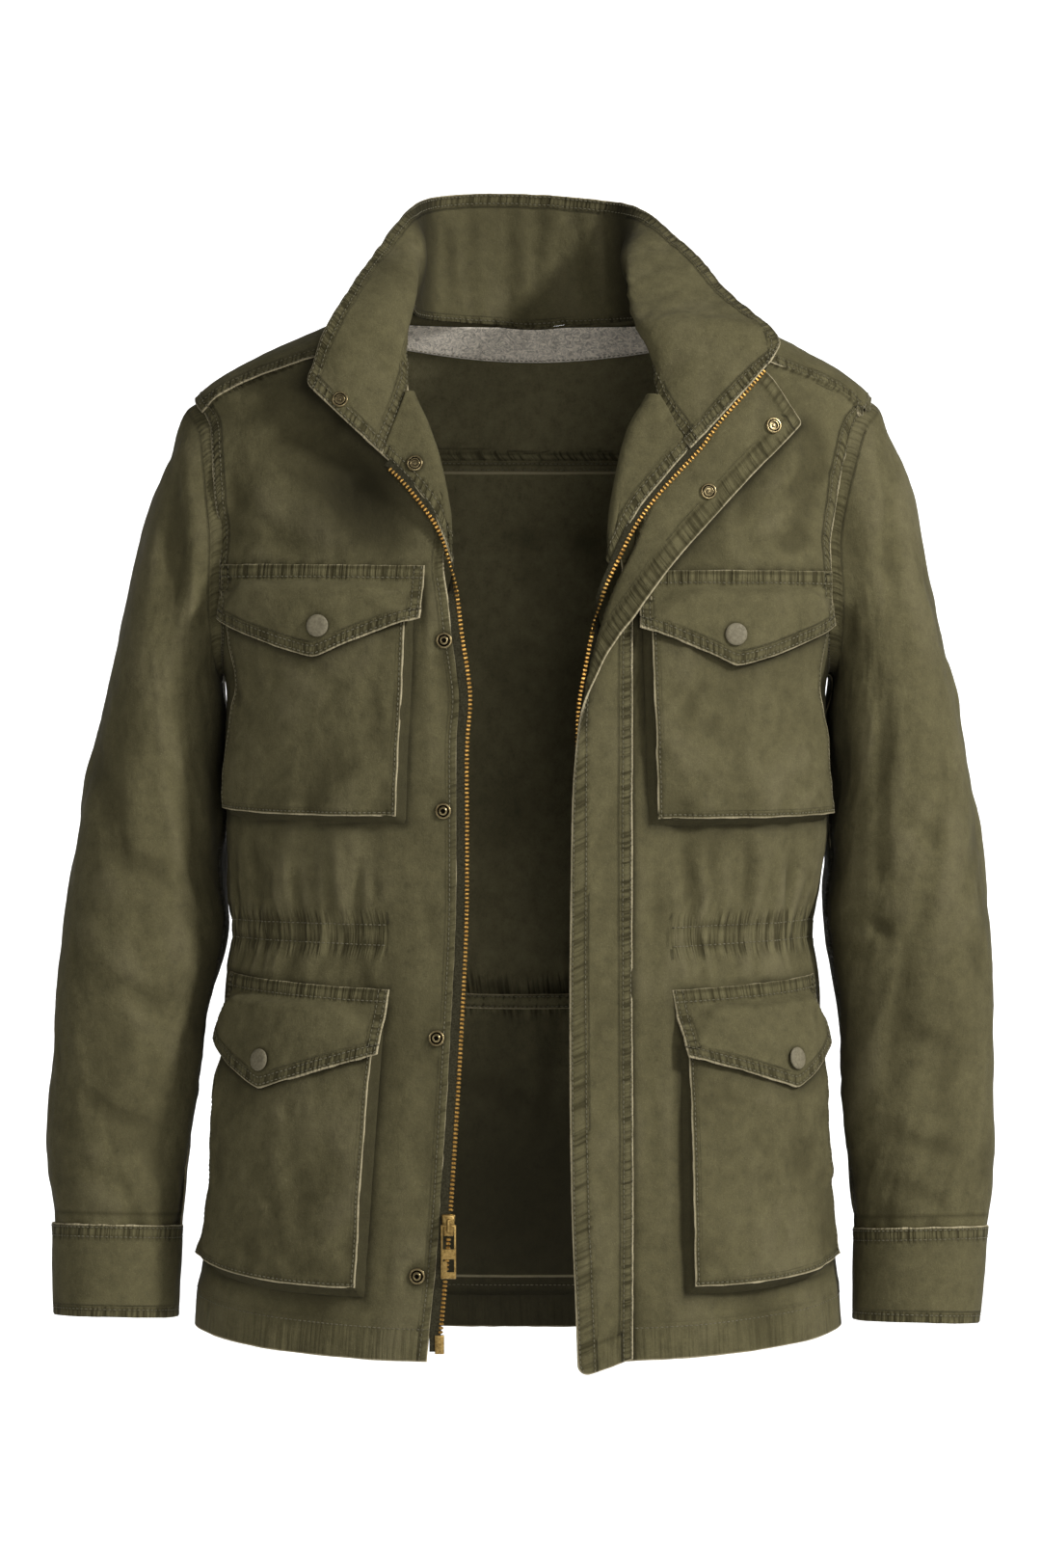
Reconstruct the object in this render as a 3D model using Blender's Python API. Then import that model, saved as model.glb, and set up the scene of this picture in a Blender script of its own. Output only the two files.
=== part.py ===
"""Field jacket, open at the front, filled out as if worn.

Metres, +Z up.  The origin is the middle of the neck opening at the height of the back neck seam.
+X is the wearer's left, the front faces -Y.  Every cut piece of cloth is a wall of its own, and the
hard trimmings (zip slider, pull tab, snaps) are solids of their own.
"""

import math
from types import SimpleNamespace

import bmesh
import bpy
import numpy as np
from mathutils import Matrix, Vector

# --- Driving sizes -------------------------------------------------------------------------------
CLOTH = 0.0016            # one ply of the shell cloth with its seam allowances
DOUBLE = 0.0024           # two plies: collar, lapels, storm flap, pocket flaps, cuffs
TAPE = 0.0010             # zip tape, waist tape and neck facing
SEAM = 0.0003             # clearance between two pieces that meet at a seam
LAY = 0.0016              # clearance under a piece that lies on a panel

NECK_CENTRE_X = 0.009     # the collar leans a little to the wearer's left
NECK_HALF_WIDTH = 0.092
NECK_BACK_Y = 0.075
ARM_TOP_Z = -0.060        # armhole oval
ARM_BOTTOM_Z = -0.255
ARM_MIDDLE_Y = 0.004
ARM_FRONT_REACH = 0.080
ARM_BACK_REACH = 0.084
ARM_SQUARE = 2.4
HEM_FRONT_Z = -0.7315
HEM_SIDE_Z = -0.7170
HEM_BACK_Z = -0.7400
WAIST_Z = -0.4400         # middle of the gathered waist line, front and sides
WAIST_BACK_DIP = 0.0560   # the same line is lower at the middle of the back
BACK_YOKE_Z = -0.0940
GATHER_HEIGHT = 0.0030
YOKE_SEAM_SHIFT = 0.0024  # of the yoke's front edge in the plan; the slope leaves 0.3 mm of it
YOKE_ROWS = 7             # of faces, from the neck to the outer edge
YOKE_CORNER_ANGLE = 42    # round the neck, where the lines of the shoulder meet those of the back
COLLAR_STANDOFF = 0.0028  # of the middle of the collar's lower edge above the sloping yoke
ROLL_STANDOFF = 0.0036    # of the middle of a lapel outside the panel's edge at the roll line
SLEEVE_SQUARE = 2.2
SLEEVE_SEAM = 0.0018      # between the outer faces of the sleeve pieces; their inner faces close in on it
SLEEVE_RADIUS = 0.07      # about half way down the arm
CUFF_LIFT = 0.0006
FLAP_CLEARANCE = 0.0036   # between a pocket bag and the flap over it
FLAP_BAND = 0.0090        # stitched band along the top of a pocket flap
ZIP_TAPE_STEPS = 44
ZIP_TAPE_REACH = (0.0050, 0.0012)     # of the tape, towards the cloth and away from it, from the teeth
ZIP_TAPE_TURN = {"right": (-0.1720, -0.2080), "left": (-0.2000, -0.2350)}    # heights where it swings round
ZIP_TAPE_TURN_DRAW = 0.45               # share of the reach that is lost half way round
ZIP_END_Z = -0.7190
NECK_FACING_DEPTH = 0.0270
NECK_FACING_ANGLE = 28                  # of its ends round the neck, from the side
NECK_FACING_STEPS = 14
WAIST_TAPE_WIDTH = 0.0110
WAIST_TAPE_STEPS = 44
WAIST_TAPE_ENDS = (-0.0930, 0.1030)
NUMERIC_STEP = 0.0005

SIDES = {"left": 1, "right": -1}      # the wearer's left is +X


class SizeTable:
    """Sizes against a first column, read between the rows on a smooth curve."""

    def __init__(self, columns, *rows):
        data = np.array(sorted(rows))
        self.columns = columns.split()[1:]
        self.keys = data[:, 0]
        self.values = data[:, 1:]
        self.slopes = np.gradient(self.values, self.keys, axis=0)

    def at(self, key):
        key = float(np.clip(key, self.keys[0], self.keys[-1]))
        i = int(np.clip(np.searchsorted(self.keys, key) - 1, 0, len(self.keys) - 2))
        span = self.keys[i + 1] - self.keys[i]
        t = (key - self.keys[i]) / span
        row = ((1 + 2 * t) * (1 - t) ** 2 * self.values[i]
               + t * (1 - t) ** 2 * span * self.slopes[i]
               + t * t * (3 - 2 * t) * self.values[i + 1]
               - t * t * (1 - t) * span * self.slopes[i + 1])
        return SimpleNamespace(**dict(zip(self.columns, row)))


def named_rows(columns, *rows):
    return [SimpleNamespace(**dict(zip(columns.split(), row))) for row in rows]


# --- The worn form -------------------------------------------------------------------------------
TORSO = SizeTable(
    "z       half    centre   front   back    square",
    (0.0300, 0.0700, 0.0120, 0.0350, 0.0400, 2.3),
    (0.0120, 0.1000, 0.0120, 0.0560, 0.0600, 2.3),
    (0.0000, 0.1300, 0.0120, 0.0680, 0.0750, 2.3),
    (-0.0200, 0.1765, 0.0120, 0.0790, 0.0930, 2.4),
    (-0.0400, 0.2160, 0.0105, 0.0880, 0.1060, 2.6),
    (-0.0600, 0.2400, 0.0085, 0.0950, 0.1150, 2.8),
    (-0.0800, 0.2430, 0.0075, 0.1000, 0.1200, 2.8),
    (-0.1060, 0.2500, 0.0055, 0.1070, 0.1240, 2.8),
    (-0.1320, 0.2487, 0.0035, 0.1130, 0.1270, 2.8),
    (-0.1580, 0.2415, 0.0025, 0.1180, 0.1280, 2.8),
    (-0.2000, 0.2346, 0.0030, 0.1220, 0.1270, 2.8),
    (-0.2350, 0.2230, 0.0035, 0.1245, 0.1260, 2.7),
    (-0.2550, 0.2160, 0.0035, 0.1250, 0.1250, 2.6),
    (-0.3100, 0.2155, 0.0040, 0.1245, 0.1210, 2.5),
    (-0.3600, 0.2150, 0.0040, 0.1230, 0.1170, 2.5),
    (-0.4060, 0.2110, 0.0015, 0.1190, 0.1140, 2.5),
    (-0.4430, 0.2065, 0.0005, 0.1150, 0.1120, 2.5),
    (-0.4710, 0.2105, 0.0000, 0.1190, 0.1125, 2.5),
    (-0.5180, 0.2130, 0.0000, 0.1240, 0.1150, 2.5),
    (-0.5650, 0.2150, -0.0005, 0.1270, 0.1210, 2.5),
    (-0.6350, 0.2200, -0.0010, 0.1290, 0.1270, 2.5),
    (-0.7000, 0.2290, -0.0020, 0.1300, 0.1300, 2.5),
    (-0.7450, 0.2320, -0.0025, 0.1300, 0.1300, 2.5))

# Inner edge of each front: neck edge, then the line on which the lapel rolls, then the front edge.
FRONT_EDGE = {
    "right": SizeTable(
        "z       x",
        (-0.0160, -0.0820), (-0.0450, -0.0800), (-0.0680, -0.0770), (-0.0873, -0.0690),
        (-0.1086, -0.0617), (-0.1370, -0.0550), (-0.1630, -0.0515), (-0.1810, -0.0535),
        (-0.2100, -0.0500), (-0.2320, -0.0475), (-0.2570, -0.0437), (-0.2740, -0.0418),
        (-0.3000, -0.0437), (-0.3500, -0.0440), (-0.4300, -0.0445), (-0.4870, -0.0470),
        (-0.5760, -0.0520), (-0.6760, -0.0590), (-0.7310, -0.0655)),
    "left": SizeTable(
        "z       x",
        (-0.0160, 0.1000), (-0.0450, 0.0985), (-0.0714, 0.0910), (-0.0853, 0.0827),
        (-0.1139, 0.0735), (-0.1464, 0.0662), (-0.1670, 0.0645), (-0.1870, 0.0690),
        (-0.2159, 0.0618), (-0.2358, 0.0577), (-0.2564, 0.0537), (-0.2770, 0.0498),
        (-0.2970, 0.0475), (-0.3300, 0.0485), (-0.4000, 0.0500), (-0.7300, 0.0540))}

# Line of the zip teeth.  lift is how far it stands in front of the worn form.
TEETH = {
    "right": SizeTable(
        "z       x        lift",
        (-0.1146, -0.0937, 0.0085), (-0.1270, -0.0812, 0.0085), (-0.1390, -0.0713, 0.0080),
        (-0.1568, -0.0587, 0.0060), (-0.1706, -0.0521, 0.0030), (-0.1870, -0.0480, 0.0005),
        (-0.2109, -0.0442, -0.0008), (-0.2321, -0.0417, -0.0008), (-0.2566, -0.0378, -0.0008),
        (-0.2739, -0.0359, -0.0008), (-0.3050, -0.0378, -0.0008), (-0.3700, -0.0380, -0.0008),
        (-0.4300, -0.0385, -0.0008), (-0.4870, -0.0410, -0.0008), (-0.5760, -0.0460, -0.0008),
        (-0.6760, -0.0530, -0.0008), (-0.7110, -0.0562, -0.0008)),
    "left": SizeTable(
        "z       x       lift",
        (-0.0466, 0.1693, 0.0240), (-0.0650, 0.1540, 0.0205), (-0.0855, 0.1361, 0.0165),
        (-0.1030, 0.1235, 0.0145), (-0.1190, 0.1089, 0.0130), (-0.1360, 0.0936, 0.0110),
        (-0.1515, 0.0817, 0.0100), (-0.1650, 0.0737, 0.0090), (-0.1815, 0.0657, 0.0070),
        (-0.2000, 0.0571, 0.0040), (-0.2180, 0.0518, 0.0010), (-0.2380, 0.0478, 0.0000),
        (-0.2590, 0.0438, -0.0006), (-0.2790, 0.0402, -0.0008), (-0.3050, 0.0392, -0.0008),
        (-0.4000, 0.0430, -0.0008), (-0.5600, 0.0450, -0.0008), (-0.7110, 0.0470, -0.0008))}

# Largest soft folds of the body.  height is out of the cloth where positive and into it where negative.
FOLDS = named_rows(
    "face x z reach_x reach_z height slant",
    (-1, -0.187, -0.400, 0.012, 0.040, -0.0035, 0.10),
    (-1, -0.150, -0.395, 0.014, 0.045, -0.0045, 0.15),
    (-1, -0.112, -0.400, 0.013, 0.040, -0.0035, 0.25),
    (-1, -0.170, -0.335, 0.030, 0.060, -0.0030, 0.40),
    (-1, 0.115, -0.395, 0.013, 0.045, -0.0040, -0.25),
    (-1, 0.150, -0.400, 0.014, 0.045, -0.0045, -0.15),
    (-1, 0.190, -0.398, 0.012, 0.040, -0.0040, -0.10),
    (-1, -0.120, -0.480, 0.016, 0.030, -0.0030, -0.20),
    (-1, 0.135, -0.480, 0.016, 0.030, -0.0030, 0.20),
    (1, -0.150, -0.410, 0.020, 0.060, -0.0050, 0.20),
    (1, -0.080, -0.420, 0.018, 0.070, -0.0045, 0.10),
    (1, -0.010, -0.430, 0.020, 0.060, -0.0040, 0.00),
    (1, 0.070, -0.420, 0.018, 0.070, -0.0050, -0.10),
    (1, 0.145, -0.410, 0.020, 0.060, -0.0045, -0.20),
    (1, -0.100, -0.560, 0.022, 0.060, -0.0040, -0.10),
    (1, 0.030, -0.570, 0.024, 0.060, -0.0045, 0.00),
    (1, 0.120, -0.560, 0.022, 0.060, -0.0040, 0.10))

# Sleeve sections: outer and inner edge seen from the front, and the half depth from front to back.
SLEEVE_COLUMNS = "row outer_x outer_z inner_x inner_z middle_y half_depth tilt"
SLEEVE = {
    "right": SizeTable(
        SLEEVE_COLUMNS,
        (1, -0.2450, -0.0830, -0.2150, -0.2590, 0.004, 0.0815, 0.000),
        (2, -0.2570, -0.1170, -0.2155, -0.2660, 0.004, 0.0815, 0.000),
        (3, -0.2690, -0.1520, -0.2155, -0.2760, 0.004, 0.0800, 0.000),
        (4, -0.2810, -0.1940, -0.2152, -0.2920, 0.004, 0.0785, 0.000),
        (5, -0.2930, -0.2460, -0.2150, -0.3150, 0.005, 0.0765, 0.000),
        (6, -0.3050, -0.2980, -0.2145, -0.3450, 0.005, 0.0735, 0.000),
        (7, -0.3145, -0.3480, -0.2135, -0.3780, 0.004, 0.0705, 0.000),
        (8, -0.3220, -0.3960, -0.2125, -0.4120, 0.002, 0.0675, 0.001),
        (9, -0.3280, -0.4420, -0.2105, -0.4420, 0.000, 0.0645, 0.002),
        (10, -0.3320, -0.4800, -0.2205, -0.4770, -0.003, 0.0615, 0.003),
        (11, -0.3345, -0.5160, -0.2272, -0.5130, -0.006, 0.0585, 0.003),
        (12, -0.3362, -0.5520, -0.2298, -0.5500, -0.009, 0.0555, 0.004),
        (13, -0.3375, -0.5850, -0.2345, -0.5850, -0.012, 0.0530, 0.004),
        (14, -0.3362, -0.6160, -0.2390, -0.6170, -0.015, 0.0505, 0.004),
        (15, -0.3320, -0.6480, -0.2422, -0.6500, -0.018, 0.0480, 0.004),
        (16, -0.3315, -0.6800, -0.2440, -0.6820, -0.020, 0.0470, 0.004),
        (17, -0.3305, -0.7110, -0.2455, -0.7130, -0.022, 0.0460, 0.004)),
    "left": SizeTable(
        SLEEVE_COLUMNS,
        (1, 0.2600, -0.0800, 0.2225, -0.2590, 0.004, 0.0815, 0.000),
        (2, 0.2720, -0.1120, 0.2230, -0.2660, 0.004, 0.0815, 0.000),
        (3, 0.2835, -0.1480, 0.2230, -0.2760, 0.004, 0.0800, 0.000),
        (4, 0.2955, -0.1930, 0.2228, -0.2920, 0.004, 0.0785, 0.000),
        (5, 0.3065, -0.2460, 0.2225, -0.3150, 0.005, 0.0765, 0.000),
        (6, 0.3165, -0.2990, 0.2220, -0.3450, 0.005, 0.0735, 0.000),
        (7, 0.3240, -0.3500, 0.2200, -0.3780, 0.004, 0.0705, 0.000),
        (8, 0.3305, -0.3960, 0.2165, -0.4120, 0.002, 0.0675, 0.001),
        (9, 0.3355, -0.4380, 0.2165, -0.4420, 0.000, 0.0645, 0.002),
        (10, 0.3370, -0.4760, 0.2232, -0.4770, -0.003, 0.0615, 0.003),
        (11, 0.3382, -0.5140, 0.2275, -0.5130, -0.006, 0.0585, 0.003),
        (12, 0.3386, -0.5520, 0.2288, -0.5500, -0.009, 0.0555, 0.004),
        (13, 0.3383, -0.5870, 0.2300, -0.5870, -0.012, 0.0530, 0.004),
        (14, 0.3352, -0.6190, 0.2335, -0.6190, -0.015, 0.0505, 0.004),
        (15, 0.3300, -0.6500, 0.2372, -0.6520, -0.018, 0.0480, 0.004),
        (16, 0.3270, -0.6840, 0.2370, -0.6850, -0.020, 0.0470, 0.004),
        (17, 0.3235, -0.7170, 0.2370, -0.7150, -0.022, 0.0460, 0.004))}
SLEEVE_LAST_ROW = 15
CUFF_ROWS = (15, 16, 17)
UNDER_SLEEVE_STEPS = 4                  # of faces across the under sleeve, from under the arm backwards
SHOULDER_STEPS = 8                      # of faces of the yoke over a shoulder

# Largest sleeve creases: row is the place along the sleeve, phi the angle round it.
SLEEVE_CREASES = named_rows(
    "row phi reach_row reach_phi height",
    (2.2, 75, 0.9, 26, -0.0040), (3.6, 95, 1.2, 30, -0.0035), (5.5, 120, 1.0, 34, -0.0045),
    (7.6, 150, 0.7, 46, -0.0050), (9.0, 140, 0.6, 50, -0.0055), (10.4, 120, 0.6, 46, -0.0045),
    (12.0, 60, 0.7, 50, -0.0035), (13.4, 100, 0.6, 55, -0.0030), (6.4, 260, 0.9, 40, -0.0045),
    (8.6, 240, 0.7, 46, -0.0050), (10.8, 250, 0.7, 46, -0.0040), (13.0, 280, 0.6, 50, -0.0030),
    (4.4, 20, 1.3, 26, -0.0030))

# Collar sections: seam at the neck, the line on which it turns outwards, top edge.
COLLAR = SizeTable(
    "row seam_x seam_y seam_z turn_x turn_y turn_z top_x top_y top_z",
    (0, -0.0960, -0.1135, -0.1080, -0.1220, -0.1110, -0.0840, -0.1500, -0.1000, -0.0570),
    (1, -0.0800, -0.0970, -0.0640, -0.0960, -0.1010, -0.0470, -0.1330, -0.0920, -0.0130),
    (2, -0.0815, -0.0860, -0.0360, -0.0820, -0.0900, -0.0180, -0.1210, -0.0760, 0.0090),
    (3, -0.0820, -0.0640, -0.0060, -0.0755, -0.0660, 0.0120, -0.1100, -0.0520, 0.0290),
    (4, -0.0830, -0.0300, 0.0190, -0.0735, -0.0320, 0.0420, -0.0940, -0.0200, 0.0560),
    (5, -0.0810, 0.0080, 0.0215, -0.0735, 0.0080, 0.0640, -0.0810, 0.0150, 0.0780),
    (6, -0.0700, 0.0400, 0.0150, -0.0680, 0.0440, 0.0600, -0.0680, 0.0480, 0.0905),
    (7, -0.0400, 0.0650, 0.0050, -0.0400, 0.0690, 0.0500, -0.0380, 0.0740, 0.0975),
    (8, 0.0090, 0.0760, 0.0015, 0.0090, 0.0800, 0.0500, 0.0090, 0.0850, 0.0985),
    (9, 0.0580, 0.0650, 0.0050, 0.0570, 0.0690, 0.0500, 0.0560, 0.0740, 0.0935),
    (10, 0.0880, 0.0400, 0.0150, 0.0790, 0.0440, 0.0640, 0.0830, 0.0500, 0.0850),
    (11, 0.0985, 0.0080, 0.0215, 0.0770, 0.0080, 0.0480, 0.1060, 0.0160, 0.0640),
    (12, 0.1010, -0.0300, 0.0190, 0.0815, -0.0320, 0.0260, 0.1300, -0.0200, 0.0340),
    (13, 0.1000, -0.0640, -0.0060, 0.0880, -0.0660, -0.0030, 0.1490, -0.0520, 0.0080),
    (14, 0.0970, -0.0860, -0.0380, 0.0960, -0.0920, -0.0280, 0.1640, -0.0760, -0.0090),
    (15, 0.0945, -0.1030, -0.0690, 0.1080, -0.1060, -0.0520, 0.1785, -0.0925, -0.0225),
    (16, 0.1140, -0.1180, -0.0985, 0.1410, -0.1130, -0.0665, 0.1700, -0.1020, -0.0330))
COLLAR_YOKE_ROWS = (3, 13)              # between these rows the collar stands on the yoke
COLLAR_SECTIONS = 28

# Lapels, from the collar seam downwards: the roll line and the edge next to the zip tape.
LAPEL_COLUMNS = "row roll_x roll_z edge_x edge_z lift"
LAPEL = {
    "right": SizeTable(
        LAPEL_COLUMNS,
        (0, -0.0785, -0.0690, -0.0925, -0.1085, 0.0085),
        (1, -0.0690, -0.0873, -0.0780, -0.1215, 0.0085),
        (2, -0.0617, -0.1086, -0.0680, -0.1335, 0.0080),
        (3, -0.0550, -0.1330, -0.0584, -0.1475, 0.0065)),
    "left": SizeTable(
        LAPEL_COLUMNS,
        (0, 0.0925, -0.0725, 0.1135, -0.1010, 0.0150),
        (1, 0.0827, -0.0870, 0.1020, -0.1120, 0.0140),
        (2, 0.0765, -0.1040, 0.0925, -0.1235, 0.0130),
        (3, 0.0735, -0.1160, 0.0850, -0.1330, 0.0125),
        (4, 0.0697, -0.1320, 0.0775, -0.1430, 0.0110),
        (5, 0.0662, -0.1480, 0.0715, -0.1560, 0.0090))}

# Storm flap on the wearer's left front, top to bottom: sewn edge a, fold b, free edge c.
STORM_FLAP = SizeTable(
    "row a_x a_z a_lift b_x b_z b_lift c_x c_z c_lift",
    (0, 0.1610, -0.0420, 0.0170, 0.1740, -0.0530, 0.0185, 0.1950, -0.0850, 0.0140),
    (1, 0.1440, -0.0610, 0.0150, 0.1590, -0.0720, 0.0155, 0.1830, -0.0980, 0.0120),
    (2, 0.1270, -0.0790, 0.0125, 0.1420, -0.0920, 0.0130, 0.1660, -0.1150, 0.0100),
    (3, 0.1130, -0.0950, 0.0100, 0.1290, -0.1090, 0.0105, 0.1510, -0.1310, 0.0090),
    (4, 0.0990, -0.1110, 0.0070, 0.1150, -0.1250, 0.0085, 0.1340, -0.1500, 0.0085),
    (5, 0.0880, -0.1280, 0.0060, 0.1000, -0.1420, 0.0080, 0.1170, -0.1690, 0.0100),
    (6, 0.0820, -0.1450, 0.0050, 0.0880, -0.1570, 0.0085, 0.1020, -0.1870, 0.0145),
    (7, 0.0790, -0.1650, 0.0042, 0.0790, -0.1720, 0.0095, 0.0880, -0.2060, 0.0165),
    (8, 0.0780, -0.1850, 0.0036, 0.0690, -0.1900, 0.0090, 0.0775, -0.2210, 0.0150),
    (9, 0.0770, -0.2050, 0.0034, 0.0600, -0.2110, 0.0080, 0.0680, -0.2330, 0.0130),
    (10, 0.0765, -0.2280, 0.0032, 0.0525, -0.2340, 0.0070, 0.0580, -0.2480, 0.0110),
    (11, 0.0763, -0.2520, 0.0032, 0.0470, -0.2550, 0.0062, 0.0510, -0.2630, 0.0095),
    (12, 0.0762, -0.2750, 0.0032, 0.0430, -0.2760, 0.0052, 0.0432, -0.2790, 0.0072),
    (13, 0.0762, -0.2980, 0.0032, 0.0430, -0.2980, 0.0042, 0.0385, -0.2980, 0.0052))
STORM_FLAP_LOW = SizeTable(
    "z       a_x     b_x     c_x     a_lift  b_lift  c_lift",
    (-0.3100, 0.0762, 0.0460, 0.0362, 0.0034, 0.0044, 0.0048),
    (-0.4200, 0.0764, 0.0480, 0.0335, 0.0034, 0.0044, 0.0046),
    (-0.6200, 0.0765, 0.0480, 0.0340, 0.0034, 0.0044, 0.0046),
    (-0.7250, 0.0766, 0.0480, 0.0385, 0.0032, 0.0036, 0.0038))
STORM_FLAP_TIP = (-0.7290, -0.7385, -0.7410)     # heights of its lower edge at a, b and c

# Pockets: the inner edges of bag and flap as seen from the front, the outer edge as an angle from
# the side seam, the flap's point and snap as a share of its width, then the heights of both.
POCKETS = named_rows(
    "name side bag_top_x bag_low_x flap_top_x flap_low_x angle_top angle_low tip_share "
    "top_inner top_outer corner_inner corner_outer tip bag_inner bag_outer depth cap",
    ("chest_pocket_right", "right", -0.0725, -0.0795, -0.0663, -0.0690, 36, 17, 0.41,
     -0.1850, -0.1820, -0.2212, -0.2175, -0.2467, -0.3625, -0.3570, 0.0064, -0.2262),
    ("chest_pocket_left", "left", 0.0820, 0.0872, 0.0800, 0.0805, 34, 16, 0.39,
     -0.1885, -0.1870, -0.2275, -0.2220, -0.2530, -0.3640, -0.3600, 0.0064, -0.2320),
    ("lower_pocket_right", "right", -0.0945, -0.1078, -0.0907, -0.0967, 15, 14, 0.53,
     -0.4767, -0.4675, -0.5213, -0.5147, -0.5471, -0.6875, -0.6720, 0.0080, -0.5255),
    ("lower_pocket_left", "left", 0.1085, 0.1125, 0.1036, 0.1120, 15, 14, 0.58,
     -0.4773, -0.4688, -0.5226, -0.5174, -0.5468, -0.6865, -0.6720, 0.0080, -0.5250))
BAG_COLUMNS = (0.0, 0.03, 0.12, 0.30, 0.50, 0.70, 0.88, 0.97, 1.0)
BAG_ROWS = (0.0, 0.035, 0.14, 0.40, 0.70, 1.0)
FLAP_COLUMNS = (0.0, 0.03, 0.12, 0.30, 0.50, 0.70, 0.88, 0.98, 1.01)
FLAP_ROWS = (0.0, 0.07, 0.20, 0.28, 0.50, 0.75, 1.0)
BAG_MOUTH_DROP = 0.0180                 # the bag's open top lies this far below the flap's top
BAG_CROWN = 0.18                        # share of the bag's depth that is a crown between its edges
BAG_FULL_SHARE = 0.70                   # above this share of its height the bag closes in
BAG_MOUTH_SHARE = 0.45                  # to this share of its depth at the mouth

# Snap parts on the front edge of the wearer's right front (studs), and on the turned-out cloth.
STUDS = ((-0.0530, -0.2365), (-0.0536, -0.3535), (-0.0582, -0.5096), (-0.0714, -0.6723))
FLAT_FLAP_Z = -0.3100                   # below this the storm flap lies flat over the zip
HIDDEN_SOCKET_X = 0.0470                # on the inner face of the storm flap, level with the studs
CAP_RADIUS = 0.0077
SOCKET_RADIUS = 0.0056
SLIDER_Z = -0.6370                      # height of the pull tab's axis
SLIDER_LIFT = 0.0024                    # of the slider's middle in front of the worn form
SLIDER_SIZE = (0.0096, 0.0042, 0.0150)
AXIS_STANDOFF = 0.0017                  # from the slider's front face to the pull tab's axis
BRIDGE_SIZE = (0.0024, 0.0044, 0.0092)
TUNNEL_SIZE = (0.0060, 0.0030, 0.0036)
TAB_LENGTH = 0.0370
TAB_WIDTH = 0.0106
TAB_PLATE = 0.0013
TAB_RAIL = 0.0014
TAB_CROSSBAR_DROP = 0.0215              # from the axis to the crossbar between the two windows
TAB_FOOT = 0.0046

COLOURS = {
    "shell_cloth": ((0.118, 0.106, 0.062, 1.0), 0.92, 0.0),
    "neck_facing": ((0.200, 0.195, 0.180, 1.0), 0.95, 0.0),
    "zip_tape": ((0.055, 0.048, 0.028, 1.0), 0.90, 0.0),
    "brass": ((0.560, 0.390, 0.130, 1.0), 0.35, 1.0),
    "antique_brass": ((0.300, 0.240, 0.150, 1.0), 0.40, 1.0),
    "painted_cap": ((0.170, 0.160, 0.125, 1.0), 0.60, 0.0)}


# --- Points on the worn form ----------------------------------------------------------------------
def signed_power(value, power):
    return math.copysign(abs(value) ** power, value)


def excess(x, y, z):
    """Zero on the worn form, above zero outside it."""
    row = TORSO.at(z)
    depth = row.front if y < 0 else row.back
    return abs((x - row.centre) / row.half) ** row.square + abs(y / depth) ** row.square - 1


def form_normal(x, y, z):
    step = NUMERIC_STEP
    slope = [(excess(x + step, y, z) - excess(x - step, y, z)),
             (excess(x, y + step, z) - excess(x, y - step, z)),
             (excess(x, y, z + step) - excess(x, y, z - step))]
    return Vector(slope).normalized()


def fold_height(x, y, z):
    total = 0.0
    for fold in FOLDS:
        if y * fold.face > 0:
            across = (x - fold.x - fold.slant * (z - fold.z)) / fold.reach_x
            along = (z - fold.z) / fold.reach_z
            total += fold.height * math.exp(-across ** 2 - along ** 2)
    return total


def form_point(theta, z, lift=0.0):
    """A point at theta degrees round the body: 0 and 180 are the side seams, 90 the front middle."""
    row = TORSO.at(z)
    c, s = math.cos(math.radians(theta)), math.sin(math.radians(theta))
    depth = row.front if s > 0 else row.back
    x = row.centre - row.half * signed_power(c, 2 / row.square)
    y = -depth * signed_power(s, 2 / row.square)
    return Vector((x, y, z)) + form_normal(x, y, z) * (lift + fold_height(x, y, z))


def theta_at(x, z):
    """The angle of a point of the front that is seen at x."""
    row = TORSO.at(z)
    ratio = float(np.clip((row.centre - x) / row.half, -1, 1))
    return math.degrees(math.acos(signed_power(ratio, row.square / 2)))


def front_point(x, z, lift=0.0):
    """A point straight in front of the worn form, at a place seen from the front."""
    row = TORSO.at(z)
    ratio = min(abs((x - row.centre) / row.half), 0.98)
    y = -row.front * (1 - ratio ** row.square) ** (1 / row.square)
    return Vector((x, y - lift - fold_height(x, y, z), z))


def form_height(x, y):
    """Height of the shoulders above a place in the plan."""
    low, high = -0.26, 0.03
    for _ in range(40):
        middle = (low + high) / 2
        if excess(x, y, middle) > 0:
            high = middle
        else:
            low = middle
    return low


def plan_point(x, y):
    return Vector((x, y, form_height(x, y)))


def armhole_point(side, phi, outward=0.0):
    """The armhole seam: phi 0 on the shoulder, 90 in front, 180 under the arm, 270 behind."""
    c, s = math.cos(math.radians(phi)), math.sin(math.radians(phi))
    half_height = (ARM_TOP_Z - ARM_BOTTOM_Z) / 2
    z = (ARM_TOP_Z + ARM_BOTTOM_Z) / 2 + half_height * signed_power(c, 2 / ARM_SQUARE)
    reach = ARM_FRONT_REACH if s > 0 else ARM_BACK_REACH
    y = ARM_MIDDLE_Y - reach * signed_power(s, 2 / ARM_SQUARE)
    row = TORSO.at(z)
    depth = row.front if y < 0 else row.back
    width = row.half * (1 - abs(y / depth) ** row.square) ** (1 / row.square)
    return Vector((row.centre + SIDES[side] * (width + outward), y, z))


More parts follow.
